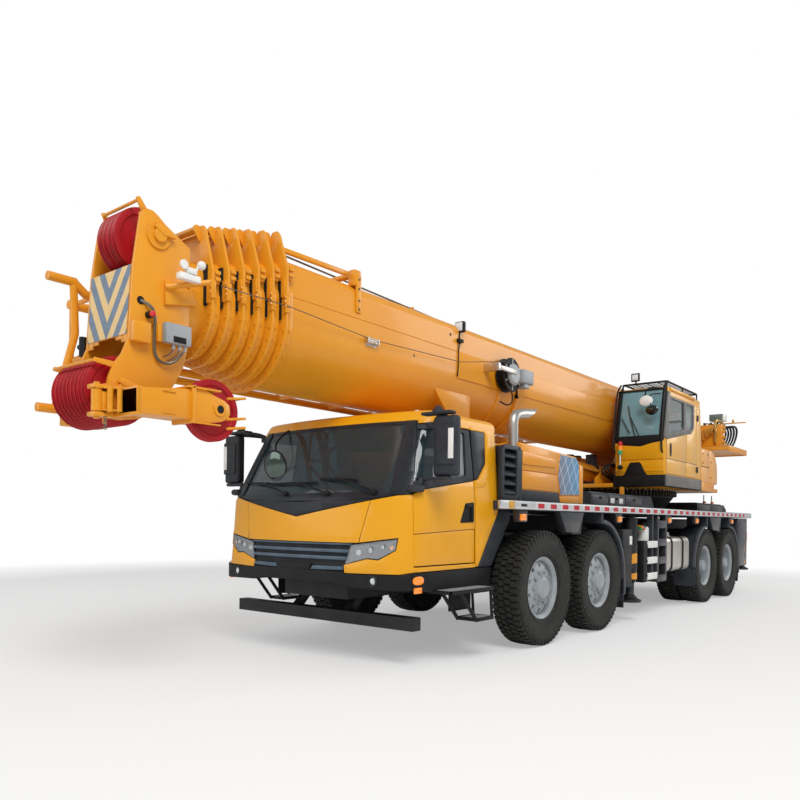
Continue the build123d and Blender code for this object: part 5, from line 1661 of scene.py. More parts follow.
def corner_mirror():
    """Round mirror over the far corner of the windscreen, and the two domes on the roof."""
    x, y, z = cab_skin(-0.482, 1.85, 0.07)
    turn = Vector((1, 0.1, -0.15)).to_track_quat("Z", "X").to_matrix().to_4x4()
    back = spun(
        (
            (0, -0.03), (0.1, -0.028), (0.148, -0.006), (0.155, 0.0), (0.15, 0.006), (0.14, 0.004),
            (0, 0.004)
        ),
        (0, 0, 0), "z", 40
    )
    face = spun(((0, 0.003), (0.14, 0.003), (0.13, 0.008), (0.07, 0.018), (0, 0.022)), (0, 0, 0), "z", 40)
    for piece in (back, face):
        piece.data.transform(Matrix.Translation(at(x, y, z)) @ turn)
    arm = pipe(
        [
            (x - 0.01, y, z + 0.1), (x - 0.03, y - 0.06, z + 0.22), cab_skin(-0.62, 2.2, 0.04),
            cab_skin(-0.62, 2.24, 0.0)
        ],
        0.01, 8
    )
    domes = []
    for width in (-0.88, 0.88):
        dome = spun(
            ((0, -0.01), (0.045, -0.01), (0.044, 0.004), (0.034, 0.018), (0.018, 0.026), (0, 0.028)),
            at(1.49, width, 2.335), "z", 28
        )
        domes.append(dome)
    return coat([back, arm], "black trim") + coat(face, "dark mirror") + coat(domes, "white paint")


def door_pieces():
    """Left door: skin in two levels, frame around its window, handle, hinges and mirror."""
    upper = side_sheet([
        (1.974, 1.196), (1.974, 1.506), (1.962, 1.545), (1.84, 1.587), (1.02, 1.7), (1.02, 1.238)
    ])
    lower = side_sheet([(1.974, 0.913), (1.974, 1.191), (1.02, 1.233), (1.02, 0.913)], -0.007)
    frame_part = side_sheet(
        [(1.956, 1.556), (1.765, 2.197), (1.03, 2.197), (1.02, 1.707), (1.84, 1.593)], 0.0, thick=0.03
    )
    window = eased([(1.925, 1.66), (1.755, 2.15), (1.115, 2.165), (1.14, 1.745)], 0.03)
    frame_part = pierced(frame_part, [drawn(window, "y", 0.9, 1.4)])
    inner = side_sheet(DOOR_PANEL, -0.03, thick=0.012)
    inner = pierced(inner, [drawn(window, "y", 0.9, 1.4)])
    recess = side_sheet(
        [(1.282, 1.293), (1.19, 1.482), (1.04, 1.495), (1.04, 1.302)], 0.003, corner=0.02, thick=0.01
    )
    grip = block((1.065, 1.1), (1.236, 1.262), (1.31, 1.47), 0.01, 3)
    grip_top = block((1.065, 1.19), (1.236, 1.256), (1.44, 1.47), 0.008)
    shell = block((1.745, 1.845), (1.32, 1.565), (1.7, 2.23), 0.034, 4)
    face = block((1.836, 1.86), (1.36, 1.56), (1.8, 2.15), 0.012, 3)
    arms = [
        pipe([(1.56, 1.125, 2.19), (1.62, 1.2, 2.25), (1.74, 1.36, 2.26), (1.8, 1.43, 2.23)], 0.02, 10),
        pipe([(1.5, 1.12, 2.2), (1.6, 1.22, 2.23), (1.78, 1.4, 2.235)], 0.016, 10),
        pipe([(1.9, 1.2, 1.6), (1.86, 1.22, 1.69)], 0.025, 12, False),
        block((1.86, 1.99), (1.14, 1.27), (1.56, 1.625), 0.028, 3),
        block((1.79, 1.87), (1.15, 1.5), (1.666, 1.698), 0.014),
        block((1.75, 1.85), (1.19, 1.51), (2.243, 2.272), 0.013, 3),
        spun(((0, 0), (0.06, 0), (0.02, 0.055), (0, 0.062)), at(1.79, 1.34, 2.268), "z", 24),
        block((1.48, 1.66), (1.08, 1.17), (2.15, 2.215), 0.02, 3)
    ]
    strip = block((1.858, 1.864), (1.5, 1.553), (1.85, 2.11), 0.001)
    silver = block((1.739, 1.746), (1.355, 1.545), (1.73, 2.2), 0.003)
    parts = coat([upper, lower], "cab paint") + coat([frame_part, face, shell, *arms], "grey trim")
    parts += coat([inner, recess, grip, grip_top], "black trim")
    return parts + coat(strip, "white paint") + coat(silver, "mirror")


def cab_liner():
    """Inner lining: the shell's own form drawn in a little, in the grey lining finish."""
    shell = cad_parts["cab_shell"]
    liner = bpy.data.objects.new("liner", shell.data.copy())
    bpy.context.collection.objects.link(liner)
    centre = middle("cab_shell")
    back = Matrix.Translation(-centre)
    liner.data.transform(Matrix.Translation(centre) @ Matrix.Diagonal((0.965, 0.968, 0.968, 1)) @ back)
    edit(liner, MEND[0])
    return coat(liner, "liner")


class CRANE_OT_cab(bpy.types.Operator):
    """Driver's cab: skin, glass, grille, lamps, bumper, steps and doors"""

    bl_idname = "crane.cab"
    bl_label = "Driver's cab"

    def execute(self, context):
        skin = coat(cab_panels(), "cab paint")
        trim = coat(cab_dark_trim(), "pillar trim")
        assemble("cab_skin_and_trim", "carrier", skin + trim + cab_liner(), ("cab_shell",))
        screen = front_sheet(
            [(-1.0, 1.56), (1.0, 1.56), (0.918, 2.21), (-0.918, 2.21)], -0.007, thick=0.006, bevel=0.001
        )
        rear = block((0.57, 0.577), (-0.8, 0.8), (1.64, 2.11), 0.002)
        assemble("cab_windscreen", "carrier", coat([screen, rear], "cab glass"), ("cab_glass",))
        front = mirrored(headlamp()) + grille() + bumper_and_skirts() + steps_and_guard()
        assemble("cab_grille_lamps_and_bumper", "carrier", front, ("bumper",))
        assemble("cab_wipers", "carrier", wipers() + corner_mirror())
        glass = side_sheet(
            [(1.935, 1.65), (1.765, 2.155), (1.105, 2.17), (1.13, 1.735)], -0.014, thick=0.005, bevel=0
        )
        glass = coat(glass, "cab glass")
        door = door_pieces() + glass
        pair = mirrored(door)
        for word, parts in (("left", pair[: len(door)]), ("right", pair[len(door) :])):
            name = "cab_door_" + word
            assemble(name + "_panels", name, parts, (name,))
        ease_solid("cab_interior", 0.02)
        return {"FINISHED"}


# ---------------------------------------------------------------- engine hood

HOOD_Y = 1.213
PLATE = 0.012


def slats(low, high, count, station, y):
    """Louvre blades that hang outwards and down, between two heights."""
    made = []
    pitch = (high - low) / count
    for index in range(count):
        z = low + index * pitch
        outline = [(y[0], z + pitch * 0.92), (y[0] + 0.02, z + pitch), (y[1], z + pitch * 0.3)]
        outline += [(y[1], z + pitch * 0.08), (y[1] - 0.02, z + pitch * 0.08)]
        made.append(drawn(outline, "x", *station, 0.003))
    return made


def hood():
    """Hood: two sides with pressed panels, and the lower middle under the boom."""
    side = ((0.12, 1.523), (0.11, 2.165), (-1.255, 2.108), (-1.33, 2.04), (-1.46, 2.01), (-1.46, 1.523))
    middle_part = ((0.12, 1.523), (0.12, 2.048), (-1.33, 2.034), (-1.46, 2.005), (-1.46, 1.523))
    panels = (
        ((0.11, 1.872), (0.1, 2.146), (-0.795, 2.108), (-0.742, 1.866)),
        ((0.11, 1.668), (0.11, 1.862), (-0.742, 1.856), (-0.79, 1.66)),
        ((-0.805, 2.108), (-1.25, 2.09), (-1.325, 2.02), (-1.338, 1.64), (-0.825, 1.62), (-0.752, 1.86)),
        ((-0.83, 1.54), (-0.8, 1.612), (-1.338, 1.632), (-1.338, 1.54)),
        ((-1.348, 1.54), (-1.345, 2.022), (-1.448, 1.995), (-1.448, 1.54))
    )
    blister = ((0.095, 1.93), (0.095, 2.07), (-0.67, 2.034), (-0.73, 1.985), (-0.69, 1.938))
    paint = [drawn(side, "y", 0.43, HOOD_Y, 0.014, 3)]
    paint += [drawn(outline, "y", HOOD_Y - 0.004, HOOD_Y + PLATE, 0.005) for outline in panels]
    paint.append(drawn(eased(blister, 0.04), "y", HOOD_Y, HOOD_Y + PLATE + 0.012, 0.009, 3))
    for y in (0.55, 0.95):
        paint.append(drawn(
            ((0.05, 2.163), (0.05, 2.178), (-1.2, 2.126), (-1.2, 2.11)), "y", y, y + 0.16, 0.005
        ))
    band = drawn(
        ((0.112, 1.54), (0.112, 1.655), (-0.79, 1.65), (-0.82, 1.54)), "y", HOOD_Y, HOOD_Y + PLATE + 0.003,
        0.003
    )
    art = ((-0.815, 2.102), (-1.245, 2.084), (-1.316, 2.018), (-1.33, 1.648), (-0.83, 1.63), (-0.762, 1.85))
    mark = drawn(art, "y", HOOD_Y + PLATE, HOOD_Y + PLATE + 0.002)
    hinges = [pin(s, 2.1 + s * 0.042, (0.44, 0.52), 0.018, 16) for s in (-0.3, -0.9)]
    made = [coat(paint, "boom paint"), coat(band, "grey trim"), coat(mark, "hood film")]
    made.append(coat(hinges, "black trim"))
    made = mirrored(flat(made))
    made += coat(drawn(middle_part, "y", -0.43, 0.43, 0.01), "boom paint")
    # Black bars for the vent slits: painted shade in the openings
    slit_shade = [
        block((s, s + 0.05), (-0.3, 0.3), (2.03, 2.052), 0.004)
        for s in [-0.1 - 0.11 * n for n in range(10)]
    ]
    return made + coat(slit_shade, "black trim")


def intake():
    """Air intake tower with five louvre blades in a recess of its outer face."""
    outline = ((0.64, 1.523), (0.64, 2.06), (0.56, 2.1), (0.25, 2.1), (0.2, 2.06), (0.2, 1.523))
    deep = ((0.53, 1.523), (0.53, 2.09), (0.5, 2.1), (0.25, 2.1), (0.2, 2.06), (0.2, 1.523))
    core = drawn(deep, "y", 1.02, 1.28, 0.012, 3)
    tower = drawn(outline, "y", 1.255, 1.3, 0.014, 4)
    pierced(core, [block((0.32, 0.6), (1.2, 1.4), (1.58, 2.06), 0.01)])
    pierced(tower, [block((0.325, 0.575), (1.2, 1.4), (1.585, 2.055), 0.02)])
    made = [tower, core] + slats(1.585, 2.055, 5, (0.33, 0.57), (1.205, 1.296))
    for z in (1.56, 2.07):
        made += [pin(s, z, (1.29, 1.306), 0.011, 8) for s in (0.27, 0.61)]
    return coat(made, "intake trim")


def exhaust():
    """Exhaust pipe: up from the hood, bent back, and cut on a slant."""
    points = (
        (0.1, 1.12, 2.08), (0.1, 1.12, 2.24), (0.11, 1.12, 2.45), (-0.06, 1.12, 2.49), (-0.1, 1.12, 2.495)
    )
    tube = pipe(points, 0.058, 32)
    tip = pipe(((-0.09, 1.12, 2.494), (-0.46, 1.12, 2.54)), 0.058, 32, False)
    cut = {"plane_co": at(-0.17, 1.12, 2.46), "plane_no": (-0.5, 0, -0.866), "clear_outer": True}
    edit(tip, ("bisect", cut))
    finish_with(tip, "SOLIDIFY", thickness=0.004, offset=-1)
    collar = spun(
        ((0.056, -0.03), (0.068, -0.03), (0.068, 0.0), (0.056, 0.0)), at(0.1, 1.12, 2.13), "z", 32
    )
    return coat([tube, tip, collar], "exhaust")


# ---------------------------------------------------------------- deck


def side_rail():
    """Rail along the deck's edge with its reflective tape."""
    rail = [
        block((-8.56, 0.7), (1.47, 1.506), (1.437, 1.519), 0.004),
        block((0.7, 0.99), (1.475, 1.506), (1.437, 1.519), 0.003)
    ]
    made = [coat(rail, "rail")]
    made.append(coat(block((-8.1, 0.3), (1.5, 1.5075), (1.452, 1.502), 0), "grey tape"))
    reds = []
    station = 0.24
    while station > -8.1:
        reds.append(block((station - 0.135, station), (1.5, 1.509), (1.452, 1.502), 0))
        station -= 0.2805
    made += [
        coat(reds, "red strip"),
        coat(block((0.72, 0.83), (1.5, 1.5085), (1.44, 1.516), 0.001), "gold tape"),
        coat(block((0.47, 0.59), (1.5, 1.51), (1.464, 1.492), 0.006), "black trim")
    ]
    return made


def hung_parts():
    """Brackets, marker lamps, fender lips drawn grey for a painted highlight, and flaps below the deck."""
    plates = [
        drawn(((-0.3, 1.432), (-0.93, 1.432), (-0.76, 1.2), (-0.47, 1.2)), "y", 1.39, 1.485, 0.008),
        drawn(((-5.88, 1.432), (-6.56, 1.432), (-6.38, 1.2), (-6.06, 1.2)), "y", 1.39, 1.485, 0.008),
        drawn(((0.58, 1.432), (0.38, 1.432), (0.4, 1.31), (0.56, 1.31)), "y", 1.4, 1.47, 0.006)
    ]
    for station in (-1.99, -3.88, -5.19, -7.27):
        outline = (
            (station + 0.11, 1.432), (station - 0.11, 1.432), (station - 0.07, 1.31), (station + 0.07, 1.31)
        )
        plates.append(drawn(outline, "y", 1.42, 1.47, 0.005))
    lamps = [
        block((s - 0.055, s + 0.055), (1.465, 1.49), (1.325, 1.39), 0.006)
        for s in (0.5, -1.99, -3.88, -5.19, -7.27)
    ]
    edges, flaps = [], []
    # Arch centre, inner radius and the angles between which its edge runs
    for centre, radius, start, stop in (
        (AXLE_X[1], 0.69, 92, 182), (AXLE_X[2], 0.634, 0, 80), (AXLE_X[3], 0.634, 100, 182)
    ):
        angles = [math.radians(start + (stop - start) * n / 18) for n in range(19)]
        outline = [(centre + math.cos(a) * radius, TYRE_R + math.sin(a) * radius) for a in angles]
        outline += [
            (centre + math.cos(a) * (radius + 0.045), TYRE_R + math.sin(a) * (radius + 0.045))
            for a in reversed(angles)
        ]
        edges.append(drawn(outline, "y", 1.44, 1.49, 0.006))
    for station, low in ((AXLE_X[1] - 0.71, 0.22), (AXLE_X[3] - 0.655, 0.24)):
        flaps.append(block((station - 0.02, station + 0.008), (1.08, 1.47), (low, 0.68), 0.004))
        edges.append(block((station - 0.03, station + 0.018), (1.44, 1.49), (0.4, 0.6), 0.006))
    made = [coat(plates, "grey gloss"), coat(lamps, "amber lens")]
    # The arch and flap lips are drawn grey: a painted highlight along the fenders' edges
    return made + [coat(edges, "fender edge painted highlight"), coat(flaps, "black trim")]


def ladders():
    """Climbing ladder, stacked steps, filter and leads ahead of the tank."""
    dark = [block((s - 0.028, s + 0.028), (1.39, 1.485), (0.48, 1.432), 0.006) for s in (-3.38, -3.72)]
    for z in (1.25, 0.99, 0.735, 0.48):
        dark += [
            block((-3.72, -3.38), (1.3, 1.487), (z, z + 0.03), 0.004),
            block((-3.72, -3.38), (1.465, 1.488), (z, z + 0.1), 0.004)
        ]
    pale = []
    for z in (0.97, 0.75, 0.53):
        pale += [
            block((-3.36, -2.99), (1.3, 1.487), (z, z + 0.035), 0.006),
            block((-3.36, -2.99), (1.462, 1.489), (z, z + 0.095), 0.01, 3)
        ]
    post = block((-3.01, -2.86), (1.36, 1.47), (0.5, 1.07), 0.01)
    bottle = spun(
        ((0, 0), (0.08, 0), (0.1, 0.02), (0.1, 0.2), (0.085, 0.225), (0, 0.225)), at(-3.19, 1.34, 1.04),
        "z", 32
    )
    head = spun(((0, 0), (0.09, 0), (0.09, 0.06), (0.06, 0.09), (0, 0.09)), at(-3.19, 1.34, 1.265), "z", 24)
    made = [coat(dark, "grey gloss"), coat([*pale, bottle], "white paint")]
    made.append(coat([post, head], "black trim"))
    # Leads in the lens materials: the green, amber and red ones glow a little, a painted glow on leads that
    # are no lamps
    for index, finish in enumerate(("green lens", "amber lens", "red lens", "blue glass")):
        s, z = -2.9 - index * 0.045, 1.225 + index % 2 * 0.02
        made.append(coat(
            pipe(((s, 1.42, z), (s - 0.02, 1.4, z + 0.03), (s - 0.06, 1.3, z + 0.02)), 0.02, 12), finish
        ))
    hoses = []
    for index in range(4):
        s = -2.72 - index * 0.06
        hoses.append(pipe(
            ((s, 1.3, 1.43), (s, 1.32, 1.3), (s - 0.1, 1.33, 1.2), (s - 0.2, 1.28, 1.08)), 0.014, 8
        ))
    return made + coat(hoses, "rubber")


def rear_end():
    """Lamp boards and tape at the back."""
    made = []
    board = block((-8.605, -8.54), (0.89, 1.41), (0.85, 1.19), 0.012)
    made.append(coat(board, "black trim"))
    for y, finish in ((0.92, "red lens"), (1.07, "amber lens"), (1.22, "clear lens")):
        made.append(coat(block((-8.62, -8.6), (y, y + 0.13), (0.92, 1.12), 0.012), finish))
    made.append(coat(block((-8.6, -8.55), (1.405, 1.425), (0.98, 1.17), 0.008), "amber lens"))
    plate = block((-8.562, -8.54), (0.1, 1.49), (1.44, 1.515), 0.003)
    made.append(coat(plate, "rail"))
    tape = [block((-8.568, -8.56), (y, y + 0.14), (1.452, 1.502), 0) for y in (0.12, 0.4, 0.68, 0.96, 1.24)]
    made.append(coat(tape, "red strip"))
    flap = block((-8.2, -8.19), (0.5, 0.86), (0.45, 1.2), 0.004)
    return mirrored(flat(made + coat(flap, "black trim")))


def deck_top():
    """Tread plate, equipment boxes' lids and locks, and the two rods at the back."""
    tread = block((-8.54, 0.68), (-1.468, 1.468), (1.518, 1.526), 0.001)
    made = [coat(tread, "deck plate")]
    dark = [drawn(((-1.99, 1.545), (-1.99, 1.675), (-2.5, 1.68), (-2.5, 1.545)), "y", 1.1, 1.106, 0.002)]
    for low, high in ((-3.1, -2.53), (-3.75, -3.13)):
        dark.append(block((low, high), (1.1, 1.106), (1.545, 1.685), 0.002))
    for low, high in ((-7.4, -6.7), (-8.2, -7.43)):
        dark.append(block((low, high), (1.05, 1.056), (1.545, 1.655), 0.002))
    dark = mirrored(dark)
    for low, high in ((-2.55, -2.0), (-3.3, -2.6), (-4.1, -3.35)):
        dark.append(block((low, high), (-1.05, 1.05), (1.7 - (low + 1.96) * 0.009 - 0.01, 1.72), 0.004))
    for low, high in ((-7.4, -6.65), (-8.3, -7.43)):
        dark.append(block((low, high), (-1.0, 1.0), (1.67, 1.697), 0.004))
    made.append(coat(dark, "grey gloss"))
    locks = [block((s - 0.03, s + 0.03), (1.1, 1.12), (1.63, 1.66), 0.004) for s in (-2.25, -2.8, -3.45)]
    made.append(coat(mirrored(locks), "black trim"))
    plates = [block((s, s + 0.13), (1.104, 1.109), (1.58, 1.65), 0.002) for s in (-2.72, -3.02)]
    made.append(coat(plates, "white paint"))
    collars = []
    for station in (-7.25, -7.75):
        collars += mirrored([spun(
            ((0.009, 0), (0.03, 0), (0.03, 0.03), (0.009, 0.035)), at(station, 0.99, 1.7), "z", 16
        )])
    made.append(coat(collars, "orange cap"))
    wells = []
    for centre in AXLE_X[:2]:
        wells.append(block((centre - 0.5, centre + 0.5), (-1.2, 1.2), (1.16, 1.2), 0.01))
    return made + coat(wells, "black trim")


def tank():
    """Brushed tank with rolled edges, two straps, a cap and its brackets."""
    round_ends = [(0.76, 0.59), (0.76, 1.11), (1.45, 1.11), (1.45, 0.59)]
    body = drawn(eased(round_ends, 0.11, 8), "x", -4.88, -3.76, 0.03, 4)
    seams = []
    for station in (-3.79, -4.3, -4.85):
        seams.append(drawn(
            eased([(0.757, 0.587), (0.757, 1.113), (1.453, 1.113), (1.453, 0.587)], 0.112, 8), "x",
            station - 0.006, station + 0.006, 0.002
        ))
    straps = []
    for station in (-4.07, -4.57):
        loop = eased([(0.75, 0.58), (0.75, 1.12), (1.46, 1.12), (1.46, 0.58)], 0.115, 8)
        straps += [
            drawn(loop, "x", station - 0.026, station + 0.026, 0.004),
            block((station - 0.04, station + 0.04), (0.45, 1.3), (0.5, 0.58), 0.008),
            block((station - 0.03, station + 0.03), (0.38, 0.77), (0.86, 0.96), 0.008),
            pin(station, 0.54, (1.3, 1.36), 0.014, 12)
        ]
    cap = spun(
        ((0, 0), (0.075, 0), (0.075, 0.03), (0.06, 0.04), (0.06, 0.07), (0.05, 0.08), (0, 0.08)),
        at(-4.25, 1.28, 1.1), "z", 32
    )
    tab = block((-4.33, -4.17), (1.27, 1.29), (1.17, 1.195), 0.006)
    return mirrored(coat([body, *seams, cap, tab], "stainless") + coat(straps, "black trim"))


def ring_gear():
    """Toothed slewing ring on its cone."""
    centre = at(SLEW.x - AXLE_1, 0, 0)
    ring = spun(((0.66, 1.76), (0.995, 1.76), (0.995, 1.86), (0.66, 1.86)), centre, "z", 96)
    tooth = block((SLEW.x - AXLE_1 + 0.985, SLEW.x - AXLE_1 + 1.03), (-0.018, 0.018), (1.765, 1.855), 0.005)
    teeth = copies(tooth, round_axis(centre, "z", 96))
    cone = spun(((0.64, 1.523), (0.8, 1.523), (0.97, 1.74), (0.97, 1.762), (0.64, 1.762)), centre, "z", 64)
    return coat([ring, *teeth], "steel ring") + coat(cone, "frame paint")


def outrigger_pieces(place, word):
    """Box, sleeve and foot rings of one outrigger, modelled on the left and turned round for the right."""
    beam, jack = "outrigger_beam_%s_%s" % (place, word), "outrigger_jack_%s_%s" % (place, word)
    low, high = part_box(jack)
    spot = (low + high) / 2
    side = 1 if spot.y > 0 else -1
    station, foot = spot.x - AXLE_1, low.z
    y = abs(spot.y)
    if place == "front":
        rear, front = station + 0.1, station + 0.42
        face = [block((rear, front), (y - 0.12, y + 0.07), (0.47, 1.23), 0.012)]
        for z in (0.48, 0.72, 1.0):
            face.append(block((rear - 0.01, front + 0.008), (y + 0.05, y + 0.078), (z, z + 0.03), 0.004))
        face.append(block((station - 0.1, rear), (y - 0.1, y + 0.04), (1.1, 1.2), 0.01))
        cover = coat(face, "frame paint")
        cover += coat(
            block((station + 0.12, station + 0.2), (y + 0.07, y + 0.076), (1.02, 1.14), 0.001),
            "white paint"
        )
    else:
        face = [block((station - 0.17, station + 0.5), (y - 0.12, y + 0.085), (0.52, 1.42), 0.014)]
        face.append(block((station - 0.13, station + 0.46), (y + 0.08, y + 0.092), (0.6, 1.36), 0.008))
        cover = coat(face, "grey gloss")
    sleeve = spun(
        ((0.088, 0.565), (0.0925, 0.565), (0.0925, 1.02), (0.088, 1.02)), at(station, y, 0), "z", 48
    )
    cover += coat(sleeve, "hazard tape")
    pad = (
        (0, 0.0), (0.148, 0.0), (0.15, 0.01), (0.15, 0.028), (0.11, 0.045), (0.075, 0.085), (0.062, 0.1),
        (0, 0.1)
    )
    pads = [
        spun(pad, at(station, y, foot), "z", 48),
        spun(((0.058, 0), (0.075, 0), (0.075, 0.05), (0.058, 0.05)), at(station, y, 0.52), "z", 32)
    ]
    pads = coat(pads, "black trim")
    if side < 0:
        turn = Matrix.Rotation(math.pi, 4, "Z")
        there = Matrix.Translation(at(station, y, 0))
        back = Matrix.Translation(Vector((spot.x, spot.y, 0)))
        for piece in cover + pads:
            piece.data.transform(back @ turn @ there.inverted())
    assemble(beam + "_cover", beam, cover)
    assemble(jack + "_pads", jack, pads)


class CRANE_OT_hood(bpy.types.Operator):
    """Engine hood with its intake towers and exhaust"""

    bl_idname = "crane.hood"
    bl_label = "Engine hood"

    def execute(self, context):
        assemble(
            "hood_panels", "carrier", [hood(), mirrored(intake()), exhaust()],
            ["engine_hood"]
        )
        return {"FINISHED"}


class CRANE_OT_deck(bpy.types.Operator):
    """Deck's edge, plates, steps, tank and slewing ring"""

    bl_idname = "crane.deck"
    bl_label = "Deck"

    def execute(self, context):
        rails = mirrored(flat([side_rail(), hung_parts(), ladders()]))
        assemble("deck_edges_and_steps", "carrier", [rails, rear_end()])
        assemble("deck_top_plates", "carrier", deck_top())
        assemble("fuel_tank_strapped", "carrier", tank(), ["fuel_tank"])
        assemble("slew_ring_toothed", "carrier", ring_gear(), ["slew_ring"])
        for place in ("front", "rear"):
            for word in ("left", "right"):
                outrigger_pieces(place, word)
        return {"FINISHED"}


# ---------------------------------------------------------------- operator's cab

OP_Y = (0.6, 1.36)
OP_SIDE = ((-3.985, 1.94), (-3.935, 2.64), (-4.085, 3.38), (-5.67, 3.37), (-5.78, 2.6), (-5.735, 1.94))
OP_ROOM = ((-4.03, 1.98), (-3.985, 2.64), (-4.125, 3.34), (-5.64, 3.33), (-5.74, 2.6), (-5.695, 1.98))
OP_DOOR = ((-4.04, 2.06), (-4.035, 2.6), (-4.15, 3.25), (-5.5, 3.25), (-5.512, 2.06))
OP_PANES = (
    ((-4.085, 2.66), (-4.2, 3.215), (-4.83, 3.215), (-4.84, 2.8)),
    ((-4.93, 2.79), (-4.925, 3.215), (-5.27, 3.215), (-5.285, 2.9), (-5.2, 2.83))
)


def front_station(z):
    """Station of the operator cab's front at a height."""
    if z < 2.64:
        return -3.985 + (z - 1.94) / 0.7 * 0.05
    return -3.935 - (z - 2.64) / 0.695 * 0.14


def op_front(outline, thick=0.012, corner=0.0, out=0.0):
    """Sheet on the operator cab's front, from widths and heights."""
    return patch(outline, lambda y, z: (front_station(z) + out, y, z), -thick, 0.2, 0.003, corner)


def op_side_sheet(outline, thick=0.01, corner=0.0, out=0.0):
    """Sheet on the operator cab's outer side, from stations and heights."""
    if corner:
        outline = eased(outline, corner)
    return drawn(outline, "y", OP_Y[1] + out, OP_Y[1] + out + thick, min(0.003, thick / 3))


def op_shell():
    """Operator cab's shell, hollow, with its window and door openings."""
    shell = drawn(OP_SIDE, "y", *OP_Y, 0.035, 3)
    cutters = [
        drawn(OP_ROOM, "y", OP_Y[0] + 0.04, OP_Y[1] - 0.04),
        block((-4.2, -3.8), (0.665, 1.295), (2.63, 3.335), 0.02),
        block((-5.45, -4.25), (0.5, 0.7), (2.66, 3.23), 0.02),
        block((-5.9, -5.6), (0.7, 1.26), (2.75, 3.2), 0.02),
        block((-5.2, -4.3), (0.72, 1.24), (3.2, 3.45), 0.02),
        drawn([(s, z) for s, z in OP_DOOR], "y", 1.25, 1.45)
    ]
    pierced(shell, cutters)
    pad = block((-5.33, -4.16), (0.66, 1.33), (3.375, 3.395), 0.008)
    eave = drawn(((-4.15, 3.325), (-4.16, 3.37), (-5.32, 3.37), (-5.33, 3.325)), "y", 1.355, 1.385, 0.006)
    pillar = drawn(
        ((-3.932, 2.59), (-3.93, 2.64), (-4.065, 3.3), (-4.15, 3.3), (-4.035, 2.585)), "y", 1.335, 1.379,
        0.006
    )
    rear = [op_side_sheet(
        ((-5.522, 2.06), (-5.51, 3.24), (-5.655, 3.24), (-5.745, 2.6), (-5.715, 2.06)), 0.006
    )]
    seat = [
        block((-5.28, -4.78), (0.8, 1.18), (2.28, 2.42), 0.04, 3),
        drawn(((-5.3, 2.38), (-5.16, 2.38), (-5.3, 3.0), (-5.42, 3.0)), "y", 0.82, 1.16, 0.04, 3),
        block((-5.2, -4.86), (0.86, 1.12), (1.99, 2.3), 0.02),
        block((-5.2, -4.7), (0.7, 0.79), (2.44, 2.54), 0.02),
        block((-5.2, -4.7), (1.19, 1.27), (2.44, 2.54), 0.02),
        block((-4.35, -4.08), (0.68, 1.28), (2.0, 2.56), 0.03),
        pipe(((-4.78, 0.74, 2.52), (-4.76, 0.74, 2.72)), 0.016, 12, False),
        pipe(((-4.78, 1.23, 2.52), (-4.76, 1.23, 2.72)), 0.016, 12, False)
    ]
    # The rear side sheet takes the paler amber: painted light on the cab's lit side
    made = coat([shell, pad, eave], "cab paint") + coat(rear, "cab paint with painted light")
    made += coat(pillar, "window frame")
    return made + coat(seat, "seat")


SIGNAL_LAMPS = (-3.86, 0.72)  # station and width of the signal lamps
WINCH_PINS = ((-8.08, 3.04), (-8.64, 3.02))
SLEW_STATION = -5.4


def op_front_sheets():
    """Amber lower front, its black band, the frame round the glass, the step and the glass."""
    lower = [
        op_front(((0.61, 2.04), (0.61, 2.265), (1.35, 2.265), (1.35, 2.04)), 0.012),
        op_front(((0.61, 2.095), (0.61, 2.125), (1.35, 2.125), (1.35, 2.095)), 0.02),
        op_front(
            (
                (0.61, 2.28), (0.61, 2.545), (0.75, 2.50), (1.0, 2.475), (1.18, 2.52), (1.35, 2.545),
                (1.35, 2.28)
            ),
            0.014
        )
    ]
    band = (
        (0.605, 2.55), (0.75, 2.505), (1.0, 2.48), (1.18, 2.525), (1.355, 2.55), (1.355, 2.64),
        (0.605, 2.64)
    )
    foot = (
        (0.71, 2.035), (0.75, 2.06), (0.83, 2.22), (0.855, 2.24), (0.985, 2.24), (1.01, 2.22),
        (1.085, 2.06), (1.125, 2.035)
    )
    black = [
        op_front(band, 0.015),
        op_front(((0.605, 2.6), (0.665, 2.6), (0.675, 3.365), (0.605, 3.365)), 0.014),
        op_front(((1.285, 2.6), (1.355, 2.6), (1.355, 3.365), (1.29, 3.365)), 0.014),
        op_front(((0.605, 3.33), (1.355, 3.33), (1.355, 3.365), (0.605, 3.365)), 0.014),
        op_front(foot, 0.024), block((-4.03, -3.94), (0.575, 1.374), (1.866, 2.04), 0.012)
    ]
    step = block((-3.965, -3.945), (0.62, 1.3), (1.985, 1.998), 0.004)
    glass = op_front(((0.66, 2.6), (1.29, 2.6), (1.295, 3.34), (0.67, 3.34)), 0.006, 0.0, -0.004)
    made = coat(lower, "cab paint") + coat(black, "black trim")
    return made + coat(step, "grey trim") + coat(glass, "blue glass")


def op_mirrors():
    """Two round mirrors in front of the operator's cab, a little lower than wide."""
    discs = []
    for y, z, radius, face in ((1.12, 3.145, 0.1, "white paint"), (1.21, 3.0, 0.095, "dark glass")):
        dish = (
            (0, 0), (radius * 0.8, 0.004), (radius, 0.012), (radius, 0.02), (radius * 0.7, 0.035), (0, 0.04)
        )
        disc = spun(dish, at(-3.85, y, z), "x", 40)
        there = Matrix.Translation(at(0, y, z))
        disc.data.transform(there @ Matrix.Diagonal((1, 1, 0.78, 1)) @ there.inverted())
        discs += coat(disc, face)
    return discs


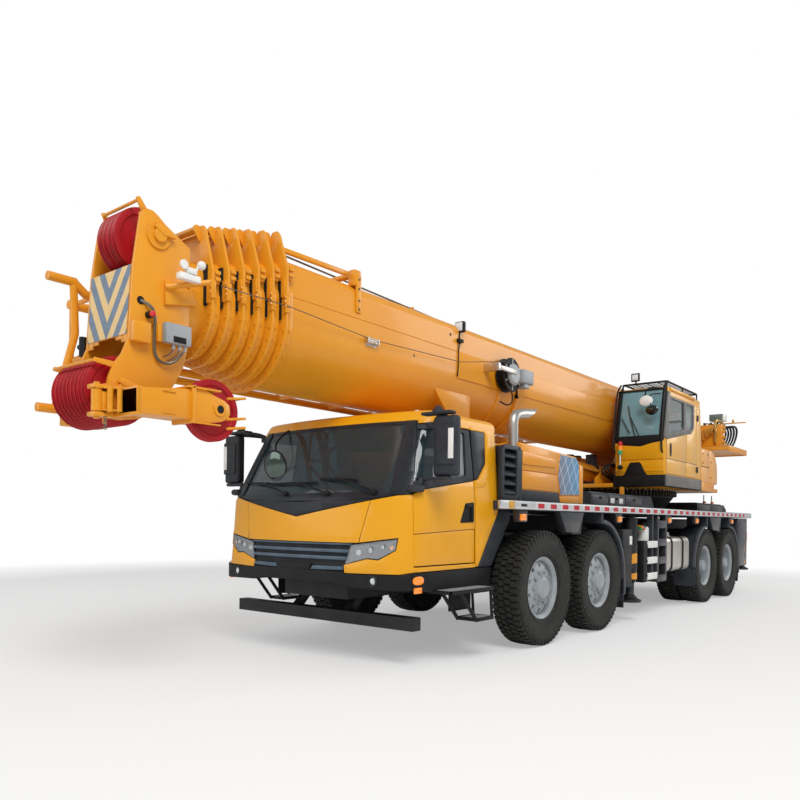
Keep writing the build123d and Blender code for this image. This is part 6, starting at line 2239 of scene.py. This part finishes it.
def op_front_bars():
    """Wiper on the glass, and the handrails down the front's corners."""
    bars = [
        pipe(((-3.935, 0.93, 2.6), (-3.935, 0.86, 2.83), (-4.0, 0.78, 3.12)), 0.008, 8),
        pipe(((-3.955, 0.70, 2.93), (-3.925, 0.84, 2.68)), 0.007, 8, False),
        pipe(((-3.93, 1.0, 2.6), (-3.96, 0.84, 2.93)), 0.006, 8, False),
        pipe(
            (
                (-4.13, 0.615, 3.465), (-4.02, 0.6, 3.39), (-3.93, 0.6, 2.98), (-3.89, 0.6, 2.6),
                (-3.9, 0.6, 2.42), (-3.96, 0.61, 2.38)
            ),
            0.014, 12
        ),
        pipe(
            (
                (-4.13, 1.345, 3.465), (-4.02, 1.345, 3.39), (-3.93, 1.34, 2.98), (-3.89, 1.34, 2.6),
                (-3.9, 1.33, 2.42), (-3.96, 1.335, 2.36)
            ),
            0.014, 12
        ),
        pipe(
            (
                (-4.04, 1.36, 3.33), (-3.94, 1.3, 3.34), (-3.87, 1.15, 3.34), (-3.85, 1.1, 3.3),
                (-3.85, 1.1, 3.2)
            ),
            0.011, 12
        ),
        pipe(((-3.93, 1.3, 3.25), (-3.85, 1.2, 3.25), (-3.83, 1.17, 3.2), (-3.83, 1.19, 3.08)), 0.009, 12)
    ]
    return coat(bars, "frame paint")


def signal_lamps():
    """Three signal lamps over each other."""
    stack = []
    for low, high, finish in (
        (2.49, 2.555, "red lens"), (2.425, 2.49, "amber lens"), (2.36, 2.425, "green lens")
    ):
        edge = (
            (0, low), (0.032, low), (0.034, low + 0.006), (0.034, high - 0.006), (0.032, high), (0, high)
        )
        stack += coat(spun(edge, at(*SIGNAL_LAMPS, 0), "z", 24), finish)
    return stack


def signal_foot():
    """Stalk and foot of the signal lamps."""
    axis = at(*SIGNAL_LAMPS, 0)
    stalk = spun(((0, 2.2), (0.012, 2.2), (0.012, 2.36), (0, 2.36)), axis, "z", 12)
    foot = [
        spun(((0, 2.13), (0.03, 2.135), (0.045, 2.165), (0.03, 2.195), (0, 2.2)), axis, "z", 24),
        pipe(((*SIGNAL_LAMPS, 2.165), (-3.95, 0.72, 2.165)), 0.014, 10, False)
    ]
    return coat(stalk, "white paint") + coat(foot, "black trim")


def op_front_parts():
    """Everything on the front of the operator's cab."""
    return op_front_sheets() + op_mirrors() + signal_lamps() + op_front_bars() + signal_foot()


def op_skirt():
    """Black skirt and slatted step along the cab's side, and the dark underside."""
    made = [block((-5.76, -3.99), (1.3, 1.374), (1.866, 2.045), 0.008)]
    made += [
        block((-5.02, -4.0), (1.37, 1.382), (z, z + 0.014), 0.003) for z in (1.925, 1.955, 1.985, 2.015)
    ]
    sill = block((-5.7, -3.99), (1.36, 1.377), (1.88, 2.04), 0.004)
    grey = coat([*made[1:], sill], "window frame")
    tail = block((-6.66, -5.76), (1.3, 1.355), (1.868, 1.93), 0.004)
    grey += coat(tail, "black trim")
    base = block((-5.73, -4.0), (0.6, 1.35), (1.9, 1.96), 0.01)
    return grey + coat([made[0], base], "black trim")


def op_roof():
    """Guard over the roof, with its crossed bars, and the square lamp."""
    tubes = []
    for y in (0.65, 1.31):
        tubes.append(pipe(
            ((-4.05, y, 3.35), (-4.14, y, 3.47), (-4.22, y, 3.475), (-5.62, y, 3.475)), 0.014, 10
        ))
        for station in (-4.125, -4.9, -5.64):
            tubes.append(pipe(((station, y, 3.37), (station, y, 3.47)), 0.012, 8, False))
    for station in (-4.14, -5.64):
        tubes.append(pipe(((station, 0.65, 3.47), (station, 1.31, 3.47)), 0.012, 8, False))
    for index in range(15):
        station = -4.24 - index * 0.1
        tubes.append(pipe(
            ((station, 0.65, 3.47), (station - 0.05, 0.98, 3.485), (station, 1.31, 3.47)), 0.006, 6
        ))
    for y in (0.81, 0.98, 1.15):
        tubes.append(pipe(((-4.14, y, 3.475), (-5.62, y, 3.475)), 0.006, 6, False))
    lamp = block((-4.145, -4.115), (0.775, 0.91), (3.505, 3.635), 0.012, 3)
    stem = [pipe(((-4.13, 0.85, 3.47), (-4.13, 0.85, 3.52)), 0.013, 10, False)]
    face = block((-4.118, -4.105), (0.795, 0.89), (3.525, 3.615), 0.006, 3)
    return coat([*tubes, lamp, *stem], "black trim") + coat(face, "clear lens")


def op_door():
    """Operator's door: painted lower panel, dark window frame with two panes, handle and hinges."""
    leaf = drawn([(s, z) for s, z in OP_DOOR], "y", 1.325, 1.36, 0.004)
    pierced(leaf, [drawn(pane, "y", 1.2, 1.45) for pane in OP_PANES])
    panel = [
        op_side_sheet(((-4.045, 2.29), (-4.045, 2.575), (-4.98, 2.735), (-4.98, 2.29)), 0.007),
        op_side_sheet(((-4.045, 2.065), (-4.045, 2.28), (-4.98, 2.28), (-4.98, 2.065)), 0.007),
        op_side_sheet(
            (
                (-4.99, 2.29), (-4.99, 2.735), (-5.2, 2.765), (-5.345, 2.87), (-5.36, 3.245), (-5.5, 3.245),
                (-5.508, 2.29)
            ),
            0.007
        ),
        op_side_sheet(((-4.99, 2.065), (-4.99, 2.28), (-5.508, 2.28), (-5.508, 2.065)), 0.007)
    ]
    frame_outline = (
        (-4.05, 2.585), (-4.155, 3.245), (-5.35, 3.245), (-5.338, 2.872), (-5.196, 2.775), (-4.98, 2.745)
    )
    rim = op_side_sheet(frame_outline, 0.009)
    pierced(rim, [drawn(eased(pane, 0.04), "y", 1.2, 1.45) for pane in OP_PANES])
    bars = [
        drawn(((-4.1, 2.845), (-4.1, 2.825), (-4.84, 2.93), (-4.84, 2.95)), "y", 1.352, 1.366, 0.002),
        drawn(((-4.77, 2.83), (-4.8, 2.83), (-4.8, 3.215), (-4.77, 3.215)), "y", 1.352, 1.366, 0.002)
    ]
    panes = [drawn(pane, "y", 1.345, 1.351) for pane in OP_PANES]
    grip = spun(((0, 0), (0.03, 0), (0.028, 0.014), (0, 0.018)), at(-4.2, 1.366, 2.43), "y", 32)
    grip.data.transform(
        Matrix.Translation(at(-4.2, 0, 2.43)) @ Matrix.Diagonal((1, 1, 3.5, 1)) @ Matrix.Translation(-at(
            -4.2, 0, 2.43
        ))
    )
    hinges = []
    for low, high in ((2.15, 2.25), (3.0, 3.1)):
        hinges += [
            spun(((0, low), (0.012, low), (0.012, high), (0, high)), at(-5.505, 1.376, 0), "z", 16),
            block((-5.505, -5.46), (1.36, 1.374), (low + 0.01, high - 0.01), 0.004)
        ]
    # The door's panels take the paler amber: painted light on the cab's lit side
    made = coat(panel, "cab paint with painted light") + coat([*bars, grip, *hinges], "grey trim")
    made += coat([leaf, rim], "window frame")
    # The door's panes are drawn pale: a painted reflection
    return made, coat(panes, "glass with painted reflection")


# ---------------------------------------------------------------- superstructure


def winch(station, height, core, flange):
    """Drum wound with rope between its flanges, with its gearbox and bearing."""
    pitch, wraps = 0.022, 31
    wound = []
    for index in range(wraps):
        y = -0.341 + index * pitch
        wound += [(core - 0.004, y), (core + 0.007, y + pitch / 2)]
    wound = [(0.02, -0.348), *wound, (core - 0.004, 0.341), (0.02, 0.348)]
    rope = spun(wound, at(station, 0, height), "y", 40)
    sides = [pin(station, height, (y, y + 0.03), flange, 48, 0.006) for y in (-0.38, 0.35)]
    sides += [
        pin(station, height, (0.38, 0.5), core * 0.75, 32, 0.01),
        pin(station, height, (-0.526, -0.38), 0.09, 24, 0.01),
        pin(station, height, (0.5, 0.526), 0.1, 24, 0.006)
    ]
    bolts = bolt_ring(at(station, 0, height), "y", core * 0.62, 12, 0.012, 0.505)
    return coat(rope, "rope") + coat([*sides, *bolts], "grey paint")


def valve_group():
    """Valve blocks, gold pipes, hose loops and the light box on the tail's platform."""
    blocks = [
        block((-8.3, -7.9), (0.72, 1.12), (2.792, 2.9), 0.01),
        block((-8.12, -7.92), (0.76, 1.0), (2.9, 3.2), 0.012),
        block((-7.86, -7.72), (0.6, 1.16), (2.79, 3.22), 0.012),
        block((-8.26, -8.14), (0.8, 1.06), (2.9, 3.05), 0.01)
    ]
    blocks += [pin(-7.79, z, (1.15, 1.2), 0.03, 16) for z in (2.88, 2.98, 3.08, 3.16)]
    gold = []
    for index in range(6):
        y, z = 0.78 + index * 0.06, 2.84 + index * 0.06
        gold.append(pipe(
            (
                (-7.72, y, z), (-7.6, y, z), (-7.56, y, z + 0.05), (-7.56, y, 3.02),
                (-7.7, y, 3.1 + index * 0.015)
            ),
            0.013, 8
        ))
    for index in range(5):
        y = 0.8 + index * 0.055
        gold.append(pipe(
            (
                (-7.9, y, 3.22), (-7.96, y, 3.3 - index * 0.012), (-8.3, y, 3.28 - index * 0.012),
                (-8.4, y, 3.2)
            ),
            0.012, 8
        ))
    tall = pipe(
        (
            (-7.95, 0.85, 2.8), (-7.75, 1.03, 2.8), (-7.68, 1.05, 2.9), (-7.68, 1.05, 3.25),
            (-7.8, 1.05, 3.33), (-8.3, 1.05, 3.27)
        ),
        0.026, 12
    )
    hoses = []
    for index in range(5):
        y, reach = 0.92 + index * 0.06, 0.03 * index
        loop = (
            (-8.38, y, 3.24), (-8.68, y, 3.28), (-8.94 + reach, y, 3.2), (-8.84 + reach, y, 3.02),
            (-8.46, y, 2.84), (-8.3, y, 2.83)
        )
        hoses.append(pipe(loop, 0.021, 10))
    caps = [
        spun(((0, 0), (0.022, 0), (0.022, 0.05), (0, 0.05)), at(-7.79, y, 3.22), "z", 12)
        for y in (0.7, 0.82, 0.94, 1.06)
    ]
    box = [block((-8.3, -8.02), (0.84, 1.1), (3.33, 3.46), 0.01)]
    bar = [pipe(((-8.4, 0.95, 3.2), (-8.4, 0.95, 3.31)), 0.014, 8, False)]
    bar.append(block((-8.42, -8.38), (0.93, 1.42), (3.297, 3.317), 0.003))
    bulb = coat(
        spun(
            ((0, 3.32), (0.02, 3.32), (0.024, 3.35), (0.016, 3.385), (0, 3.39)), at(-8.4, 1.19, 0), "z", 16
        ),
        "zinc"
    )
    # The box's front face is grey-green, its other sides white
    face = block((-8.02, -8.01), (0.845, 1.095), (3.335, 3.455), 0.004)
    made = coat(blocks, "boom paint") + coat([*gold, tall], "zinc")
    made += coat([*hoses, *caps], "rubber") + coat(box, "white paint") + bulb
    return made + coat(face, "lamp box face") + coat(bar, "boom paint")


def tail_cover():
    """Rounded cover behind the cab, with its side sheets and locks."""
    arc = [
        (-6.56 - 0.36 * math.sin(a), 2.24 + 0.36 * math.cos(a))
        for a in [math.radians(6 * n) for n in range(16)]
    ]
    outline = [(-5.955, 2.02), (-5.955, 2.606), *arc, (-6.926, 2.02)]
    shell = drawn(outline, "y", 0.614, 1.3, 0.02, 3)
    sheets = [
        drawn(sheet, "y", 1.299, 1.306, 0.004)
        for sheet in (
            ((-5.965, 2.3), (-5.965, 2.585), (-6.42, 2.585), (-6.42, 2.3)),
            ((-5.965, 2.03), (-5.965, 2.29), (-6.42, 2.29), (-6.42, 2.03)),
            (
                (-6.43, 2.03), (-6.43, 2.585), (-6.6, 2.58), (-6.78, 2.5), (-6.88, 2.38), (-6.91, 2.24),
                (-6.91, 2.03)
            )
        )
    ]
    places = ((-6.05, 2.52), (-6.35, 2.52), (-6.05, 2.36), (-6.52, 2.4), (-6.52, 2.12))
    locks = [pin(s, z, (1.305, 1.314), 0.014, 12) for s, z in places]
    return coat([shell, *sheets], "cover paint") + coat(locks, "black trim")


def base_plates():
    """Tail's edges and tread, lugs, bearing plates of boom and winches, and the rings of bolts."""
    paint = [
        block((-8.998, -7.7), (1.29, 1.304), (2.7, 2.81), 0.004),
        block((-8.998, -7.7), (-1.204, -1.19), (2.7, 2.81), 0.004),
        block((-8.998, -8.985), (-1.2, 1.3), (2.7, 2.81), 0.004),
        block((-3.99, -3.945), (0.68, 0.745), (1.71, 1.9), 0.006),
        block((-3.99, -3.945), (-0.745, -0.68), (1.71, 1.9), 0.006)
    ]
    lug = ((-3.96, 1.93), (-3.96, 2.02), (-4.6, 2.3), (-4.8, 2.3), (-4.8, 1.93))
    paint += [drawn(lug, "y", y, y + 0.04, 0.004) for y in (0.26, -0.3)]
    for y in (0.57, -0.59):
        paint.append(pin(*FOOT_PIN, (y, y + 0.02), 0.15, 40, 0.005))
        paint += [pin(*place, (y, y + 0.02), 0.13, 32, 0.005) for place in WINCH_PINS]
    bolts = bolt_ring(at(SLEW_STATION, 0, 1.862), "z", 1.018, 64, 0.014, 0.0)
    top_bolts = bolt_ring(at(SLEW_STATION, 0, 1.93), "z", 0.95, 48, 0.016, 0.01)
    for y in (0.59, -0.61):
        bolts += bolt_ring(at(FOOT_PIN[0], 0, FOOT_PIN[1]), "y", 0.115, 12, 0.012, y)
    tread = block((-8.97, -7.72), (-1.17, 1.27), (2.79, 2.796), 0.001)
    made = coat(paint, "boom paint") + coat([*bolts, *top_bolts], "stainless")
    return made + coat(tread, "deck plate")


def tank_fittings():
    """Filler, filters, gauge and ribs of the oil tank, and the slewing motor."""
    cap = spun(((0, 0), (0.07, 0), (0.07, 0.05), (0.05, 0.06), (0, 0.06)), at(-5.0, -0.95, 2.48), "z", 24)
    gauge = block((-4.66, -4.64), (-1.0, -0.96), (2.1, 2.35), 0.004)
    ribs = [block((s - 0.012, s + 0.012), (-1.256, -1.25), (1.95, 2.46), 0.002) for s in (-6.0, -5.5, -5.0)]
    pot = ((0, 0), (0.09, 0), (0.09, 0.07), (0.07, 0.09), (0, 0.09))
    filters = [spun(pot, at(s, -0.95, 2.48), "z", 24) for s in (-5.6, -5.9)]
    motor = spun(
        ((0, 0), (0.13, 0), (0.13, 0.3), (0.09, 0.34), (0.09, 0.5), (0, 0.5)), at(-4.42, 0.0, 1.93), "z", 24
    )
    made = coat([cap, *filters], "black trim") + coat(gauge, "clear lens")
    return made + coat(ribs, "boom paint") + coat(motor, "grey paint")


def base_hoses():
    """Four hoses up to the winches, and three round the luffing cylinder's foot."""
    hoses = []
    for index in range(4):
        y = -0.44 + index * 0.05
        hoses.append(pipe(
            ((-6.5, y, 2.0), (-6.6, y, 2.5), (-6.9, y, 2.7), (-7.3, y, 2.9), (-7.7, y, 3.0)), 0.017, 8
        ))
    for index in range(3):
        y = 0.36 + index * 0.05
        way = (
            (-4.6, y, 1.97), (-4.2, y, 2.05), (-3.95, y, 2.12 + index * 0.03), (-4.3, y, 2.28),
            (-4.75, y, 2.2)
        )
        hoses.append(pipe(way, 0.016, 8))
    return coat(hoses, "rubber")


def luff_point(share, drop=0.0, y=0.0):
    """Point along the luffing cylinder's line, from its foot to its eye, or below it."""
    foot, eye = Vector((-5.0, 2.08)), Vector((-0.35, 2.35))
    spot = foot.lerp(eye, share)
    return spot.x, y, spot.y - drop


def luff_parts():
    """Bands, gland and pipes of the luffing cylinder's barrel."""
    bands = []
    for low, high, radius in (
        (0.03, 0.07, 0.165), (0.3, 0.31, 0.152), (0.55, 0.56, 0.152), (0.735, 0.768, 0.165)
    ):
        bands.append(pipe((luff_point(low), luff_point(high)), radius, 48, False))
    lines = [
        pipe((luff_point(0.06, 0.0, y), luff_point(0.74, 0.0, y)), 0.016, 10, False)
        for y in (0.165, -0.165)
    ]
    return coat(bands, "boom paint") + coat(lines, "zinc")


class CRANE_OT_operator_cab(bpy.types.Operator):
    """Operator's cab with its door, glass, guard and lamps"""

    bl_idname = "crane.operator_cab"
    bl_label = "Operator's cab"

    def execute(self, context):
        parts = [op_shell(), op_front_parts(), op_skirt(), op_roof()]
        windows = [
            block((-5.455, -4.245), (0.612, 0.62), (2.655, 3.235), 0),
            block((-5.205, -4.295), (0.715, 1.245), (3.312, 3.32), 0),
            drawn(((-5.705, 2.745), (-5.713, 2.745), (-5.66, 3.205), (-5.652, 3.205)), "y", 0.695, 1.265)
        ]
        # The side, roof and rear windows are drawn pale: a painted reflection
        parts.append(coat(windows, "glass with painted reflection"))
        assemble(
            "operator_cab_dressed", "superstructure", parts,
            ["operator_cab", "operator_glass"]
        )
        leaf, panes = op_door()
        assemble("operator_door_leaf", "operator_door", leaf + panes, ["operator_door"])
        return {"FINISHED"}


class CRANE_OT_superstructure(bpy.types.Operator):
    """Winches, valves, cover, base plate's fittings and luffing cylinder's lines"""

    bl_idname = "crane.superstructure"
    bl_label = "Superstructure"

    def execute(self, context):
        drums = [winch(*WINCH_PINS[0], 0.19, 0.245), winch(*WINCH_PINS[1], 0.17, 0.215)]
        assemble("winches_and_valves", "superstructure", [drums, valve_group()], ["winches"])
        fittings = tail_cover() + base_plates() + tank_fittings() + base_hoses()
        assemble("turntable_fittings", "superstructure", fittings)
        assemble("luff_barrel_lines", "luff_barrel", luff_parts())
        for node in ("turntable", "chassis_frame", "jib_fork"):
            ease_solid(node, 0.006)
        return {"FINISHED"}


def set_camera(scene, settings):
    """Camera at the settings' place, looking along their heading."""
    camera = bpy.data.objects.new("camera", bpy.data.cameras.new("camera"))
    scene.collection.objects.link(camera)
    scene.camera = camera
    camera.data.sensor_width = 36
    camera.data.lens = 32.9265
    camera.data.shift_x = 0.002375
    camera.data.shift_y = 0.1498125
    camera.data.clip_end = 400
    heading, lean = settings.camera_heading, settings.camera_roll
    ahead = Vector((math.cos(heading), math.sin(heading), 0))
    right = Vector((math.sin(heading), -math.cos(heading), 0))
    across = right * math.cos(lean) + Vector((0, 0, 1)) * math.sin(lean)
    up = Vector((0, 0, 1)) * math.cos(lean) - right * math.sin(lean)
    turn = Matrix((across, up, -ahead)).transposed().to_4x4()
    camera.matrix_world = Matrix.Translation(at(*settings.camera_place)) @ turn


def lay_floor(settings):
    """White floor that glows to the camera, fully so beyond the machine's shadow."""
    floor = primitive("plane", size=240, location=(0, 0, 0))
    floor.name = "studio_floor"
    made, tree, body = new_material("painted_studio_floor", Roughness=0.85)
    body.inputs["Base Color"].default_value = settings.floor_colour
    place = add_node(tree, "ShaderNodeTexCoord").outputs["Object"]
    reach = add_node(tree, "ShaderNodeVectorMath", {0: place}, operation="LENGTH").outputs["Value"]
    fade = add_node(tree, "ShaderNodeMapRange", {"Value": reach, "From Min": 8.0, "From Max": 15.0})
    glow = add_node(
        tree, "ShaderNodeMath", {0: fade.outputs["Result"], 1: 0.35}, operation="MAXIMUM"
    ).outputs[0]
    direct = add_node(tree, "ShaderNodeLightPath").outputs["Is Camera Ray"]
    seen = add_node(tree, "ShaderNodeMath", {0: glow, 1: direct}, operation="MULTIPLY")
    white = add_node(tree, "ShaderNodeEmission", {"Color": (1, 1, 1, 1), "Strength": 1.0})
    mixed = add_node(tree, "ShaderNodeMixShader", {"Fac": seen.outputs[0]})
    tree.links.new(body.outputs[0], mixed.inputs[1])
    tree.links.new(white.outputs[0], mixed.inputs[2])
    tree.links.new(mixed.outputs[0], tree.nodes["Material Output"].inputs["Surface"])
    floor.data.materials.append(made)


def set_world(scene):
    """White world, dimmer as a light than to the camera and through glass."""
    world = bpy.data.worlds.new("studio")
    scene.world = world
    world.use_nodes = True
    tree = world.node_tree
    back = tree.nodes["Background"]
    rays = add_node(tree, "ShaderNodeLightPath").outputs
    both = {0: rays["Is Camera Ray"], 1: rays["Is Transmission Ray"]}
    seen = add_node(tree, "ShaderNodeMath", both, operation="MAXIMUM")
    level = add_node(tree, "ShaderNodeMapRange", {"Value": seen.outputs[0], "To Min": 0.43, "To Max": 1.0})
    back.inputs["Color"].default_value = (1, 1, 1, 1)
    tree.links.new(level.outputs[0], back.inputs["Strength"])


# Lamp, place from axle 1, aim, size in metres and strength in watts
LAMPS = (
    ("key", (9, 10, 14), (-1, 0, 1.5), 7, 1750), ("fill", (14, -8, 7), (0, 0, 1.5), 9, 430),
    ("tail", (-16, 9, 9), (-5, 0, 2), 8, 620)
)


class CRANE_OT_stage(bpy.types.Operator):
    """Camera, lamps, floor and world of the studio"""

    bl_idname = "crane.stage"
    bl_label = "Studio"

    def execute(self, context):
        scene = context.scene
        scene.view_settings.view_transform = "Standard"
        set_camera(scene, scene.crane)
        lay_floor(scene.crane)
        set_world(scene)
        for name, place, aim, size, power in LAMPS:
            lamp = bpy.data.lights.new(name, "AREA")
            lamp.size = size
            lamp.energy = power
            made = bpy.data.objects.new(name, lamp)
            scene.collection.objects.link(made)
            made.location = at(*place)
            made.rotation_mode = "QUATERNION"
            made.rotation_quaternion = (at(*aim) - at(*place)).to_track_quat("-Z", "Y")
        return {"FINISHED"}


STEPS = [
    CRANE_OT_finishes, CRANE_OT_wheels, CRANE_OT_boom, CRANE_OT_head, CRANE_OT_cab, CRANE_OT_hood,
    CRANE_OT_deck, CRANE_OT_operator_cab, CRANE_OT_superstructure, CRANE_OT_stage
]


class CRANE_PT_pieces(bpy.types.Panel):
    """Buttons for the machine's groups of pieces"""

    bl_label = "Mobile crane"
    bl_idname = "CRANE_PT_pieces"
    bl_space_type = "VIEW_3D"
    bl_region_type = "UI"
    bl_category = "Crane"

    def draw(self, context):
        for name in CraneSettings.__annotations__:
            self.layout.prop(context.scene.crane, name)
        for step in STEPS:
            self.layout.operator(step.bl_idname)


CLASSES = [CraneSettings, *STEPS, CRANE_PT_pieces]


def register():
    """Add the classes and the scene's settings."""
    for item in CLASSES:
        bpy.utils.register_class(item)
    bpy.types.Scene.crane = bpy.props.PointerProperty(type=CraneSettings)


def unregister():
    """Take the settings and classes away again."""
    del bpy.types.Scene.crane
    for item in reversed(CLASSES):
        bpy.utils.unregister_class(item)


def main():
    """Make every group of pieces in order."""
    register()
    for step in STEPS:
        group, name = step.bl_idname.split(".")
        if getattr(getattr(bpy.ops, group), name)() != {"FINISHED"}:
            raise RuntimeError(step.bl_label + " didn't finish")
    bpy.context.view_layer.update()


if __name__ == "__main__":
    main()
